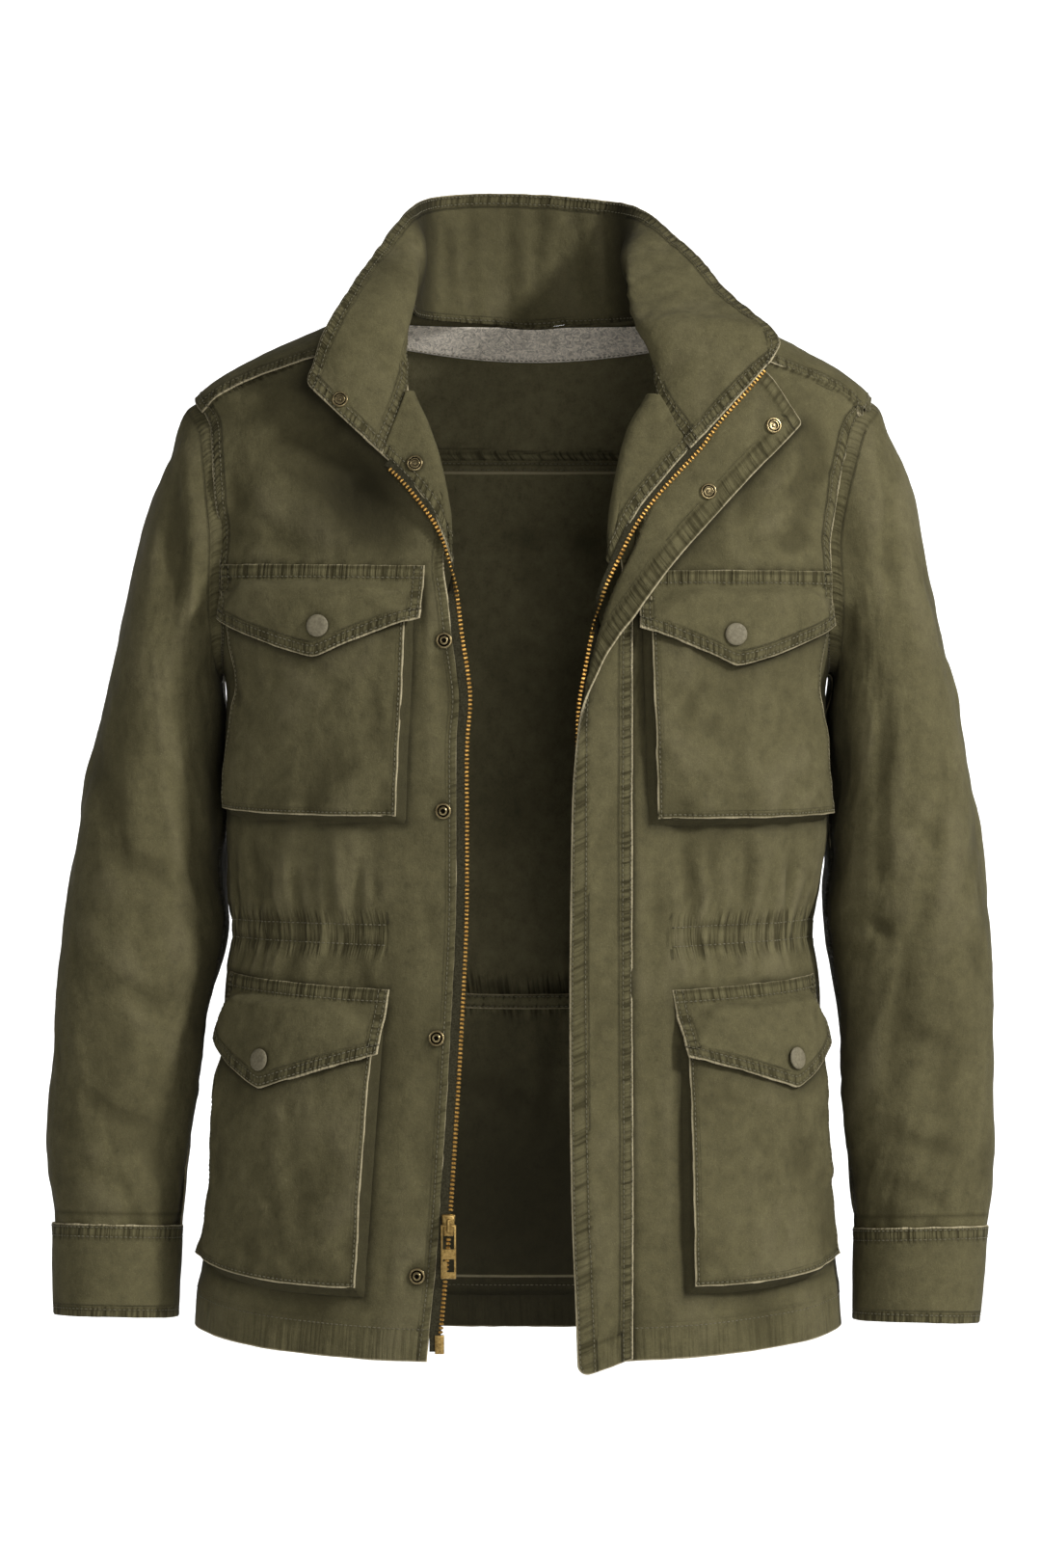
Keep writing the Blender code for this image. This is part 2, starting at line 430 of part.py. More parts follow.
def armhole_theta(side, z, back):
    """Angle round the body at which the armhole seam passes height z."""
    half_height = (ARM_TOP_Z - ARM_BOTTOM_Z) / 2
    ratio = float(np.clip((z - (ARM_TOP_Z + ARM_BOTTOM_Z) / 2) / half_height, -1, 1))
    c = signed_power(ratio, ARM_SQUARE / 2)
    phi = math.degrees(math.acos(c))
    y = armhole_point(side, 360 - phi if back else phi).y
    row = TORSO.at(z)
    depth = row.front if y < 0 else row.back
    angle = math.degrees(math.asin(min(abs(y / depth), 1) ** (row.square / 2)))
    angle = angle if (y > 0) == back else -angle
    if side == "right":
        return 360 - angle if back else angle
    return 180 + angle if back else 180 - angle


def hem_z(theta):
    s = math.sin(math.radians(theta))
    low = HEM_FRONT_Z if s > 0 else HEM_BACK_Z
    return HEM_SIDE_Z + (low - HEM_SIDE_Z) * abs(s) ** 1.5


def waist_shift(theta, z):
    """How far the rows near the waist are moved down on the back."""
    dip = WAIST_BACK_DIP * max(0.0, -math.sin(math.radians(theta))) ** 1.5
    return -dip * math.exp(-((z - WAIST_Z) / 0.09) ** 2)


# --- Building helpers -----------------------------------------------------------------------------
def make_material(name):
    colour, roughness, metallic = COLOURS[name]
    material = bpy.data.materials.new(name)
    material.use_nodes = True
    shader = material.node_tree.nodes["Principled BSDF"]
    shader.inputs["Base Color"].default_value = colour
    shader.inputs["Roughness"].default_value = roughness
    shader.inputs["Metallic"].default_value = metallic
    return material


def add_object(name, mesh, material, parent=None):
    piece = bpy.data.objects.new(name, mesh)
    mesh.materials.append(make_material(material))
    mesh.materials[0].name = name + "_" + material
    bpy.context.collection.objects.link(piece)
    mesh.shade_smooth()
    mesh.set_sharp_from_angle(angle=math.radians(45))
    piece.parent = parent
    return piece


def stitch_rows(lower, upper):
    """Faces between two rows of points, of which one may have several times as many points."""
    if len(lower) < len(upper):
        return [face[::-1] for face in stitch_rows(upper, lower)]
    ratio = (len(lower) - 1) // (len(upper) - 1)
    if ratio == 1:
        return [(lower[i], upper[i], upper[i + 1], lower[i + 1]) for i in range(len(lower) - 1)]
    faces = []
    for i in range(len(upper) - 1):
        fine = lower[i * ratio:(i + 1) * ratio + 1]
        half = ratio // 2
        faces += [(fine[k], upper[i], fine[k + 1]) for k in range(half)]
        faces.append((upper[i], upper[i + 1], fine[half]))
        faces += [(fine[k], upper[i + 1], fine[k + 1]) for k in range(half, ratio)]
    return faces


def cloth_piece(name, rows, thickness, offset=-1.0, material="shell_cloth", closed=False):
    """A wall through rows of points.  offset -1 puts the points on its outer face, 0 in its middle."""
    numbered, points = [], []
    for row in rows:
        numbered.append(list(range(len(points), len(points) + len(row))))
        points += row
    faces = []
    for lower, upper in zip(numbered, numbered[1:]):
        if closed:
            lower, upper = lower + lower[:1], upper + upper[:1]
        faces += stitch_rows(lower, upper)
    mesh = bpy.data.meshes.new(name)
    mesh.from_pydata(points, [], faces)
    piece = add_object(name, mesh, material)
    wall = piece.modifiers.new("wall", "SOLIDIFY")
    wall.thickness = thickness
    wall.offset = offset
    wall.use_even_offset = False
    return piece


def mix(a, b, t):
    return a + (b - a) * t


def turned(name, profile, place, outward, material, steps=12):
    """A round piece from (radius, height) pairs, standing on a place and facing outward."""
    bm = bmesh.new()
    rings = []
    for radius, height in profile:
        if radius == 0:
            rings.append([bm.verts.new((0, 0, height))])
        else:
            angles = [2 * math.pi * k / steps for k in range(steps)]
            rings.append([bm.verts.new((radius * math.cos(a), radius * math.sin(a), height))
                          for a in angles])
    for low, high in zip(rings, rings[1:]):
        for k in range(steps):
            corners = [low[k % len(low)], low[(k + 1) % len(low)],
                       high[(k + 1) % len(high)], high[k % len(high)]]
            bm.faces.new(list(dict.fromkeys(corners)))
    bmesh.ops.recalc_face_normals(bm, faces=bm.faces)
    turn = outward.to_track_quat("Z", "Y").to_matrix().to_4x4()
    bmesh.ops.transform(bm, matrix=Matrix.Translation(place) @ turn, verts=bm.verts)
    mesh = bpy.data.meshes.new(name)
    bm.to_mesh(mesh)
    bm.free()
    return add_object(name, mesh, material)


# --- Fronts, back and yoke ------------------------------------------------------------------------
# Rows of the body panels from the hem upwards: heights at the inner edge and at the side, and
# whether the row is a fine one that carries gathers, with the share of their height.
PANEL_ROWS = (
    (-0.7250, -0.7150, 1, 0.0), (-0.6950, -0.6900, 1, 0.0), (-0.6500, -0.6500, 1, 0.0),
    (-0.6050, -0.6050, 1, 0.0), (-0.5600, -0.5600, 1, 0.0), (-0.5200, -0.5200, 1, 0.0),
    (-0.4850, -0.4850, 1, 0.0), (-0.4580, -0.4580, 4, 0.7), (-0.4400, -0.4400, 4, 1.0),
    (-0.4220, -0.4220, 4, 0.7), (-0.3900, -0.3900, 1, 0.0), (-0.3550, -0.3550, 1, 0.0),
    (-0.3150, -0.3150, 1, 0.0), (-0.2800, -0.2750, 1, 0.0), (-0.2480, -0.2549, 1, 0.0),
    (-0.2150, -0.2400, 1, 0.0), (-0.1780, -0.2050, 1, 0.0), (-0.1400, -0.1650, 1, 0.0),
    (-0.1050, -0.1250, 1, 0.0), (-0.0680, -0.0980, 1, 0.0), (-0.0160, -0.0735, 1, 0.0))
FRONT_COLUMNS = 13
BACK_COLUMNS = 24
BACK_TOP_ROW = 19
GATHER_END = 0.80                       # the gathers of a front end at this share of its width


def gather_wave(column, spacing_seed):
    """Height of the gathers across a fine row, uneven from one gather to the next."""
    index = math.floor(column)
    uneven = 0.65 + 0.35 * math.sin(index * 2.4 + spacing_seed)
    return GATHER_HEIGHT * uneven * (0.5 - 0.5 * math.cos(2 * math.pi * column))


def side_theta(side, z, back):
    """Angle of the outer edge of a panel: the side seam, and above it the armhole."""
    if z <= ARM_BOTTOM_Z:
        seam = 0.15
        if side == "right":
            return 360 - seam if back else seam
        return 180 + seam if back else 180 - seam
    return armhole_theta(side, z, back)


def front_panel(side):
    rows = []
    for order, (inner_z, outer_z, fineness, gather) in enumerate(PANEL_ROWS):
        columns = FRONT_COLUMNS * fineness
        outer_theta = side_theta(side, outer_z, back=False)
        inner_theta = theta_at(FRONT_EDGE[side].at(inner_z).x, inner_z)
        row = []
        for i in range(columns + 1):
            t = i / columns
            theta = mix(outer_theta, inner_theta, t)
            z = mix(outer_z, inner_z, t)
            if order == 0:
                z = hem_z(theta)
            column = t * FRONT_COLUMNS
            fade = min(1.0, max(0.0, (GATHER_END - t) / 0.08)) * min(1.0, t / 0.04)
            lift = gather * fade * gather_wave(column, SIDES[side]) if gather else 0.0
            row.append(form_point(theta, z, lift))
        rows.append(row if side == "left" else row[::-1])
    return cloth_piece("front_" + side, rows, CLOTH)


def back_panel():
    rows = []
    for order, (_, outer_z, fineness, gather) in enumerate(PANEL_ROWS[:BACK_TOP_ROW + 1]):
        if order == BACK_TOP_ROW:
            outer_z = BACK_YOKE_Z - SEAM
        columns = BACK_COLUMNS * fineness
        start = side_theta("left", outer_z, back=True)
        end = side_theta("right", outer_z, back=True)
        row = []
        for i in range(columns + 1):
            t = i / columns
            theta = mix(start, end, t)
            z = hem_z(theta) if order == 0 else outer_z + waist_shift(theta, outer_z)
            fade = min(1.0, t / 0.03, (1 - t) / 0.03)
            lift = gather * fade * gather_wave(t * BACK_COLUMNS, 0.7) if gather else 0.0
            row.append(form_point(theta, z, lift))
        rows.append(row[::-1])
    return cloth_piece("back", rows, CLOTH)


def armhole_phi(z):
    """Angle round the armhole, from the shoulder, at which its seam passes height z."""
    half_height = (ARM_TOP_Z - ARM_BOTTOM_Z) / 2
    ratio = (z - (ARM_TOP_Z + ARM_BOTTOM_Z) / 2) / half_height
    return math.degrees(math.acos(signed_power(ratio, ARM_SQUARE / 2)))


def front_seam_point(side, t):
    """The seam between a front and the yoke, from the neck to the armhole, on the yoke's side."""
    inner_z, outer_z = PANEL_ROWS[-1][:2]
    inner_theta = theta_at(FRONT_EDGE[side].at(inner_z).x, inner_z)
    theta = mix(inner_theta, side_theta(side, outer_z, back=False), t)
    z = mix(inner_z, outer_z, t)
    place = form_point(theta, z)
    return plan_point(place.x, place.y + YOKE_SEAM_SHIFT)


def neck_plan(angle):
    """The neck seam in the plan; the angle runs from the wearer's right round the back."""
    half = NECK_HALF_WIDTH - 5 * SEAM
    return (NECK_CENTRE_X - half * math.cos(math.radians(angle)),
            NECK_BACK_Y * math.sin(math.radians(angle)))


def yoke_columns():
    """Lines from the neck edge to the outer edge, round the yoke from one front seam to the other."""
    lines = {}
    for side, sign in SIDES.items():
        front_phi = armhole_phi(PANEL_ROWS[-1][1])
        back_phi = -armhole_phi(BACK_YOKE_Z)
        seam = [front_seam_point(side, i / YOKE_ROWS) for i in range(YOKE_ROWS + 1)]
        lines[side] = []
        for i in range(SHOULDER_STEPS + 1):
            t = i / SHOULDER_STEPS
            outer = armhole_point(side, mix(front_phi, back_phi, t) % 360, -SEAM)
            if t < 0.5:
                neck_x = mix(seam[0].x, NECK_CENTRE_X + sign * (NECK_HALF_WIDTH - 5 * SEAM), 2 * t)
                neck_y = mix(seam[0].y, 0, 2 * t)
            else:
                angle = mix(0, YOKE_CORNER_ANGLE, 2 * t - 1)
                neck_x, neck_y = neck_plan(angle if side == "right" else 180 - angle)
            line = []
            for k in range(YOKE_ROWS + 1):
                u = k / YOKE_ROWS
                pull = (1 - t) ** 2
                straight_x, straight_y = mix(seam[0].x, seam[-1].x, u), mix(seam[0].y, seam[-1].y, u)
                x = mix(neck_x, outer.x, u) + pull * (seam[k].x - straight_x)
                y = mix(neck_y, outer.y, u) + pull * (seam[k].y - straight_y)
                line.append(plan_point(x, y))
            lines[side].append(line)
    back = []
    start, end = (side_theta(side, BACK_YOKE_Z, back=True) for side in ("right", "left"))
    for i in range(1, BACK_COLUMNS):
        t = i / BACK_COLUMNS
        neck_x, neck_y = neck_plan(mix(YOKE_CORNER_ANGLE, 180 - YOKE_CORNER_ANGLE, t))
        edge = form_point(mix(start, end, t), BACK_YOKE_Z + SEAM)
        back.append([plan_point(mix(neck_x, edge.x, k / YOKE_ROWS), mix(neck_y, edge.y, k / YOKE_ROWS))
                     for k in range(YOKE_ROWS + 1)])
    return lines["right"] + back + lines["left"][::-1]


def yoke():
    rows = [list(row) for row in zip(*yoke_columns()[::-1])]
    return cloth_piece("yoke", rows, CLOTH)


# --- Sleeves and cuffs ----------------------------------------------------------------------------
def crease_height(row, phi):
    total = 0.0
    for crease in SLEEVE_CREASES:
        along = (row - crease.row) / crease.reach_row
        turn = ((phi - crease.phi + 180) % 360 - 180) / crease.reach_phi
        total += crease.height * math.exp(-along ** 2 - turn ** 2)
    return total


def sleeve_angles():
    """Angles round a sleeve, from under the arm over the front: those of the panels' own points."""
    front = [armhole_phi(z) for _, z, _, _ in PANEL_ROWS if z > ARM_BOTTOM_Z + SEAM]
    back_top = armhole_phi(BACK_YOKE_Z - SEAM)
    over = [mix(front[-1], -back_top, i / SHOULDER_STEPS) for i in range(1, SHOULDER_STEPS)]
    back = [-back_top] + [-phi for phi in front[::-1] if phi > back_top + 1 and phi < 179]
    return [180.0] + [phi for phi in front if phi < 179] + over + back + [-180.0]


def sleeve_point(side, row, phi, lift=0.0):
    """A point of a sleeve: phi 0 on the outer side, 90 in front, 180 next to the body."""
    if row == 0:
        over = max(0.0, math.cos(math.radians(phi)))
        return armhole_point(side, phi % 360, 2 * SEAM + CLOTH * over)
    size = SLEEVE[side].at(row)
    outer = Vector((size.outer_x, size.middle_y, size.outer_z))
    inner = Vector((size.inner_x, size.middle_y, size.inner_z))
    across = (outer - inner) / 2
    c, s = math.cos(math.radians(phi)), math.sin(math.radians(phi))
    offset = (across * signed_power(c, 2 / SLEEVE_SQUARE)
              - Vector((0, size.half_depth, 0)) * signed_power(s, 2 / SLEEVE_SQUARE)
              + Vector((0, 0, size.tilt * s)))
    return (outer + inner) / 2 + offset * (1 + (lift + crease_height(row, phi)) / offset.length)


def sleeve_pieces(side):
    """The upper sleeve, round the front, and the under sleeve behind: seams under the arm and behind."""
    angles = sleeve_angles()
    gap = math.degrees(SLEEVE_SEAM / SLEEVE_RADIUS) / 2
    split = len(angles) - 1 - UNDER_SLEEVE_STEPS
    for name, phis in (("upper_sleeve_", angles[:split + 1]), ("under_sleeve_", angles[split:])):
        phis = [phis[0] - gap] + phis[1:-1] + [phis[-1] + gap]
        rows = []
        for row in range(SLEEVE_LAST_ROW + 1):
            line = [sleeve_point(side, row, phi) for phi in phis]
            rows.append(line[::-1] if side == "right" else line)
        cloth_piece(name + side, rows, CLOTH)


def cuff(side):
    rows = []
    for row in CUFF_ROWS:
        start = row + 0.04 if row == CUFF_ROWS[0] else row
        line = [sleeve_point(side, start, phi, CUFF_LIFT) for phi in sleeve_angles()[:-1]]
        rows.append(line[::-1] if side == "right" else line)
    return cloth_piece("cuff_" + side, rows, DOUBLE, closed=True)


# --- Collar, lapels and storm flap ----------------------------------------------------------------
def curve_through(start, middle, end, t):
    """A point on the smooth curve through three points."""
    bend = (middle - start).length / ((middle - start).length + (end - middle).length)
    return (start * (1 - t) * (bend - t) / bend
            + middle * t * (1 - t) / (bend * (1 - bend))
            + end * t * (t - bend) / (1 - bend))


def collar():
    lines = []
    for i in range(COLLAR_SECTIONS + 1):
        row = 16 * i / COLLAR_SECTIONS
        size = COLLAR.at(row)
        seam = Vector((size.seam_x, size.seam_y, size.seam_z))
        if COLLAR_YOKE_ROWS[0] <= row <= COLLAR_YOKE_ROWS[1]:
            seam.z = form_height(seam.x, seam.y) + COLLAR_STANDOFF
        turn = Vector((size.turn_x, size.turn_y, size.turn_z))
        top = Vector((size.top_x, size.top_y, size.top_z))
        lines.append([curve_through(seam, turn, top, k / 5) for k in range(6)])
    rows = [list(row) for row in zip(*lines)]
    return cloth_piece("collar", rows, DOUBLE, offset=0)


def lapel(side):
    """The turned-back top of a front: it leaves the roll line forwards and lies over the panel."""
    table = LAPEL[side]
    lines = []
    count = int(table.keys[-1]) * 2
    for i in range(count + 1):
        size = table.at(i / 2)
        sign = SIDES[side]
        roll_x = size.roll_x - sign * ROLL_STANDOFF
        roll = [front_point(roll_x, size.roll_z, 0.0004), front_point(roll_x, size.roll_z, size.lift * 0.6)]
        line = roll[:]
        for t in (0.25, 0.6, 1.0):
            x, z = mix(size.roll_x, size.edge_x, t), mix(size.roll_z, size.edge_z, t)
            line.append(front_point(x, z, size.lift * (0.92 + 0.08 * t)))
        lines.append(line)
    rows = [list(row) for row in zip(*lines)]
    return cloth_piece("lapel_" + side, rows, DOUBLE, offset=0)


def storm_flap():
    guides = []
    for row in range(int(STORM_FLAP.keys[-1]) + 1):
        size = STORM_FLAP.at(row)
        guides.append(((size.a_x, size.a_z, size.a_lift), (size.b_x, size.b_z, size.b_lift),
                       (size.c_x, size.c_z, size.c_lift)))
    low_rows = [z for z, _, _, _ in PANEL_ROWS if z < FLAT_FLAP_Z]
    for z in sorted(low_rows, reverse=True):
        size = STORM_FLAP_LOW.at(z)
        heights = STORM_FLAP_TIP if z == low_rows[0] else (z, z, z)
        guides.append(tuple(zip((size.a_x, size.b_x, size.c_x), heights,
                                (size.a_lift, size.b_lift, size.c_lift))))
    lines = []
    for row in guides:
        a, b, c = (front_point(x, z, lift) for x, z, lift in row)
        lines.append([a, mix(a, b, 0.5), b, mix(b, c, 0.33), mix(b, c, 0.67), c])
    rows = [list(row) for row in zip(*lines)]
    return cloth_piece("storm_flap", rows, DOUBLE, offset=0)


# --- Pockets --------------------------------------------------------------------------------------
def pocket_theta(pocket, inner_x, s, z):
    """Angle round the body across a pocket: s is 0 at its inner edge and 1 at its outer edge."""
    t = (z - pocket.top_outer) / (pocket.bag_outer - pocket.top_outer)
    outer = mix(pocket.angle_top, pocket.angle_low, t)
    if pocket.side == "left":
        outer = 180 - outer
    return mix(theta_at(inner_x, z), outer, s)


def bag_lift(pocket, s, t):
    """How far the outer face of the bag stands off the panel; t is 0 at the bottom, 1 at the mouth."""
    side_wall = min(1.0, s / BAG_COLUMNS[1], (1 - s) / BAG_COLUMNS[1])
    across = (1 - BAG_CROWN) * side_wall + 1.4 * BAG_CROWN * math.sin(math.pi * s)
    rise = min(1.0, t / BAG_ROWS[1])
    if t > BAG_FULL_SHARE:
        rise = mix(1.0, BAG_MOUTH_SHARE, (t - BAG_FULL_SHARE) / (1 - BAG_FULL_SHARE))
    return LAY + CLOTH + pocket.depth * max(0.0, across) * rise


def bag_height(pocket, s, t):
    bottom = mix(pocket.bag_inner, pocket.bag_outer, s ** 2)
    return mix(bottom, mix(pocket.top_inner, pocket.top_outer, s) - BAG_MOUTH_DROP, t)


def pocket_bag(pocket):
    rows = []
    for t in BAG_ROWS:
        line = []
        for s in BAG_COLUMNS:
            z = bag_height(pocket, s, t)
            theta = pocket_theta(pocket, mix(pocket.bag_low_x, pocket.bag_top_x, t), s, z)
            line.append(form_point(theta, z, bag_lift(pocket, s, t)))
        rows.append(line if pocket.side == "left" else line[::-1])
    return cloth_piece(pocket.name + "_bag", rows[::-1], CLOTH)


def flap_lift(pocket, s, z):
    """Outer face of the flap: flat on the panel at its top, then over the bag."""
    inside = float(np.clip(s, 0.12, 0.88))
    bottom, mouth = bag_height(pocket, inside, 0), bag_height(pocket, inside, 1)
    t = (z - bottom) / (mouth - bottom)
    over_bag = bag_lift(pocket, inside, min(t, 1.0)) + FLAP_CLEARANCE
    band_end = mouth + BAG_MOUTH_DROP - FLAP_BAND
    ease = float(np.clip((band_end - z) / (BAG_MOUTH_DROP - FLAP_BAND), 0, 1))
    return mix(LAY, over_bag, ease) + DOUBLE


def flap_point(pocket, share, t):
    """A point of a flap's outer face: share of its width as if its point were in the middle."""
    tip = pocket.tip_share
    s = 2 * tip * share if share < 0.5 else 1 - 2 * (1 - tip) * (1 - share)
    top = mix(pocket.top_inner, pocket.top_outer, s)
    corner = pocket.corner_inner if share < 0.5 else pocket.corner_outer
    z = mix(top, mix(corner, pocket.tip, 1 - min(1.0, abs(2 * share - 1))), t)
    theta = pocket_theta(pocket, mix(pocket.flap_top_x, pocket.flap_low_x, t), s, z)
    return form_point(theta, z, flap_lift(pocket, s, z))


def pocket_flap(pocket):
    rows = []
    for t in FLAP_ROWS:
        line = [flap_point(pocket, share, t) for share in FLAP_COLUMNS]
        rows.append(line if pocket.side == "left" else line[::-1])
    return cloth_piece(pocket.name + "_flap", rows, DOUBLE)


# --- Tapes and facing -----------------------------------------------------------------------------
def zip_tape(side):
    """The tape beside a front's edge.  Above, where the front is turned out, the cloth is on the neck's
    side of the teeth; below it is on the other, and between the two the tape swings round behind them."""
    table = TEETH[side]
    turn_start, turn_end = ZIP_TAPE_TURN[side]
    outer, inner = [], []
    for z in np.linspace(table.keys[-1], table.keys[0], ZIP_TAPE_STEPS + 1):
        size, ahead = table.at(z), table.at(z - 0.004)
        along = Vector((ahead.x - size.x, 0, -0.004)).normalized()
        to_neck = Vector((-along.z, 0, along.x)) * -SIDES[side]
        turn = math.pi * float(np.clip((turn_start - z) / (turn_start - turn_end), 0, 1))
        to_cloth = to_neck * math.cos(turn) + Vector((0, 1, 0)) * math.sin(turn)
        reach = ZIP_TAPE_REACH[0] * (1 - ZIP_TAPE_TURN_DRAW * math.sin(turn))
        place = front_point(size.x, z, size.lift)
        inner.append(place + to_cloth * reach)
        outer.append(place - to_cloth * ZIP_TAPE_REACH[1])
    return cloth_piece("zip_tape_" + side, [inner, outer], TAPE, offset=0, material="zip_tape")


def neck_facing():
    rows = []
    for k in range(3):
        line = []
        for i in range(NECK_FACING_STEPS + 1):
            t = i / NECK_FACING_STEPS
            angle = mix(NECK_FACING_ANGLE, 180 - NECK_FACING_ANGLE, t)
            neck_x, neck_y = neck_plan(angle)
            depth = NECK_FACING_DEPTH * (0.35 + 0.65 * math.sin(math.pi * t)) * k / 2
            out = Vector((neck_x - NECK_CENTRE_X, neck_y, 0)).normalized() * (depth * 0.75 + 0.0010)
            place = plan_point(neck_x + out.x, neck_y + out.y)
            inward = form_normal(place.x, place.y, place.z) * -(CLOTH + TAPE / 2 + LAY)
            line.append(place + inward)
        rows.append(line)
    return cloth_piece("neck_facing", rows, TAPE, offset=0, material="neck_facing")


def waist_tape():
    """The tape inside the waist: from one front round the back to the other front."""
    rows = []
    start = theta_at(WAIST_TAPE_ENDS[0], WAIST_Z)
    end = theta_at(WAIST_TAPE_ENDS[1], WAIST_Z)
    for height in (-WAIST_TAPE_WIDTH / 2, WAIST_TAPE_WIDTH / 2):
        line = []
        for i in range(WAIST_TAPE_STEPS + 1):
            theta = mix(start, end - 360, i / WAIST_TAPE_STEPS) % 360
            z = WAIST_Z + height + waist_shift(theta, WAIST_Z)
            line.append(form_point(theta, z, -(CLOTH + TAPE / 2 + LAY)))
        rows.append(line)
    return cloth_piece("waist_tape", rows, TAPE, offset=0)


# --- Hard trimmings -------------------------------------------------------------------------------
def seat_on(piece, x, z, from_behind=False):
    """The place and outward direction on a piece's front or back face, at a place seen from the front."""
    depsgraph = bpy.context.evaluated_depsgraph_get()
    evaluated = piece.evaluated_get(depsgraph)
    direction = Vector((0, -1 if from_behind else 1, 0))
    hit, place, normal, _ = evaluated.ray_cast(Vector((x, 0, z)) - direction * 0.3, direction)
    if not hit:
        raise ValueError("nothing to seat on at %.4f, %.4f of %s" % (x, z, piece.name))
    return place, normal


def snap_cap(name, piece, x, z):
    place, outward = seat_on(piece, x, z)
    base = 3 * SEAM
    profile = ((0, base), (CAP_RADIUS, base), (CAP_RADIUS, base + 0.0009),
               (CAP_RADIUS * 0.82, base + 0.0018), (0, base + 0.0021))
    return turned(name, profile, place, outward, "painted_cap", 14)


def snap_socket(name, piece, x, z, from_behind=False):
    place, outward = seat_on(piece, x, z, from_behind)
    r, base = SOCKET_RADIUS, 3 * SEAM if from_behind else 2 * SEAM
    profile = ((0, base), (r, base), (r, base + 0.0008), (0.72 * r, base + 0.0013),
               (0.42 * r, base + 0.0010), (0.42 * r, base + 0.0004), (0, base + 0.0004))
    return turned(name, profile, place, outward, "antique_brass")


def snap_stud(name, piece, x, z):
    place, outward = seat_on(piece, x, z)
    r, base = SOCKET_RADIUS, SEAM
    profile = ((0, base), (r, base), (r, base + 0.0006), (0.45 * r, base + 0.0010),
               (0.34 * r, base + 0.0030), (0.24 * r, base + 0.0035), (0, base + 0.0035))
    return turned(name, profile, place, outward, "antique_brass")


def box_mesh(name, size, centre):
    bm = bmesh.new()
    bmesh.ops.create_cube(bm, size=1)
    bmesh.ops.scale(bm, vec=size, verts=bm.verts)
    bmesh.ops.translate(bm, vec=centre, verts=bm.verts)
    mesh = bpy.data.meshes.new(name)
    bm.to_mesh(mesh)
    bm.free()
    return mesh


def shaped_by(piece, operation, name, size, centre):
    """Add a box to a piece or cut it away."""
    tool = bpy.data.objects.new(name, box_mesh(name, size, centre))
    bpy.context.collection.objects.link(tool)
    tool.hide_render = True
    tool.display_type = "WIRE"
    tool.parent = piece.parent
    cut = piece.modifiers.new(name, "BOOLEAN")
    cut.operation = operation
    cut.object = tool


def zip_slider_and_tab():
    size = TEETH["right"].at(SLIDER_Z)
    middle = front_point(size.x, SLIDER_Z, SLIDER_LIFT)
    axis = middle + Vector((0, -SLIDER_SIZE[1] / 2 - AXIS_STANDOFF, 0))
    slider = add_object("zip_slider", box_mesh("zip_slider", SLIDER_SIZE, middle), "brass")
    bridge_centre = axis + Vector((0, AXIS_STANDOFF - BRIDGE_SIZE[1] / 2 + 0.0004, 0))
    shaped_by(slider, "UNION", "slider_bridge", BRIDGE_SIZE, bridge_centre)
    shaped_by(slider, "DIFFERENCE", "slider_tunnel", TUNNEL_SIZE, axis)

    hinge = bpy.data.objects.new("pull_tab_axis", None)
    hinge.location = axis
    bpy.context.collection.objects.link(hinge)
    bar = TAB_PLATE / 2
    plate_size = (TAB_WIDTH, TAB_PLATE, TAB_LENGTH)
    plate_centre = (0, 0, bar - TAB_LENGTH / 2)
    tab = add_object("zip_pull_tab", box_mesh("zip_pull_tab", plate_size, plate_centre),
                     "brass", hinge)
    window = TAB_WIDTH - 2 * TAB_RAIL
    upper = TAB_CROSSBAR_DROP - bar
    shaped_by(tab, "DIFFERENCE", "upper_window", (window, 0.004, upper), (0, 0, -bar - upper / 2))
    lower_top = -TAB_CROSSBAR_DROP - TAB_RAIL
    lower = TAB_LENGTH - bar - TAB_FOOT + lower_top
    shaped_by(tab, "DIFFERENCE", "lower_window", (window, 0.004, lower), (0, 0, lower_top - lower / 2))


def zip_end(name, side, size):
    place = TEETH[side].at(ZIP_END_Z)
    centre = front_point(place.x, ZIP_END_Z, place.lift)
    return add_object(name, box_mesh(name, size, centre), "brass")


# --- The jacket -----------------------------------------------------------------------------------
for old in list(bpy.data.objects):
    bpy.data.objects.remove(old)

fronts = {side: front_panel(side) for side in SIDES}
back_panel()
yoke()
lapels = {side: lapel(side) for side in SIDES}
for side_name in SIDES:
    sleeve_pieces(side_name)
    cuff(side_name)
    zip_tape(side_name)
leaf = collar()
flap_over_zip = storm_flap()
neck_facing()
waist_tape()
for pocket_sizes in POCKETS:
    pocket_bag(pocket_sizes)
    flap = pocket_flap(pocket_sizes)
    cap_x = flap_point(pocket_sizes, 0.5, 0.75).x
    snap_cap(pocket_sizes.name + "_snap", flap, cap_x, pocket_sizes.cap)
for number, (stud_x, stud_z) in enumerate(STUDS, 1):
    snap_stud("front_stud_%d" % number, fronts["right"], stud_x, stud_z)
    if stud_z < FLAT_FLAP_Z:
        snap_socket("storm_flap_socket_%d" % (number + 1), flap_over_zip, HIDDEN_SOCKET_X, stud_z, True)
snap_socket("storm_flap_socket_1", flap_over_zip, 0.1742, -0.0873)
snap_socket("storm_flap_socket_2", flap_over_zip, 0.1286, -0.1338)
snap_socket("collar_socket", leaf, -0.1252, -0.0698)
snap_socket("lapel_socket", lapels["right"], -0.0734, -0.1145)
zip_slider_and_tab()
zip_end("zip_box", "right", (0.0064, 0.0030, 0.0130))
zip_end("zip_pin", "left", (0.0030, 0.0024, 0.0130))
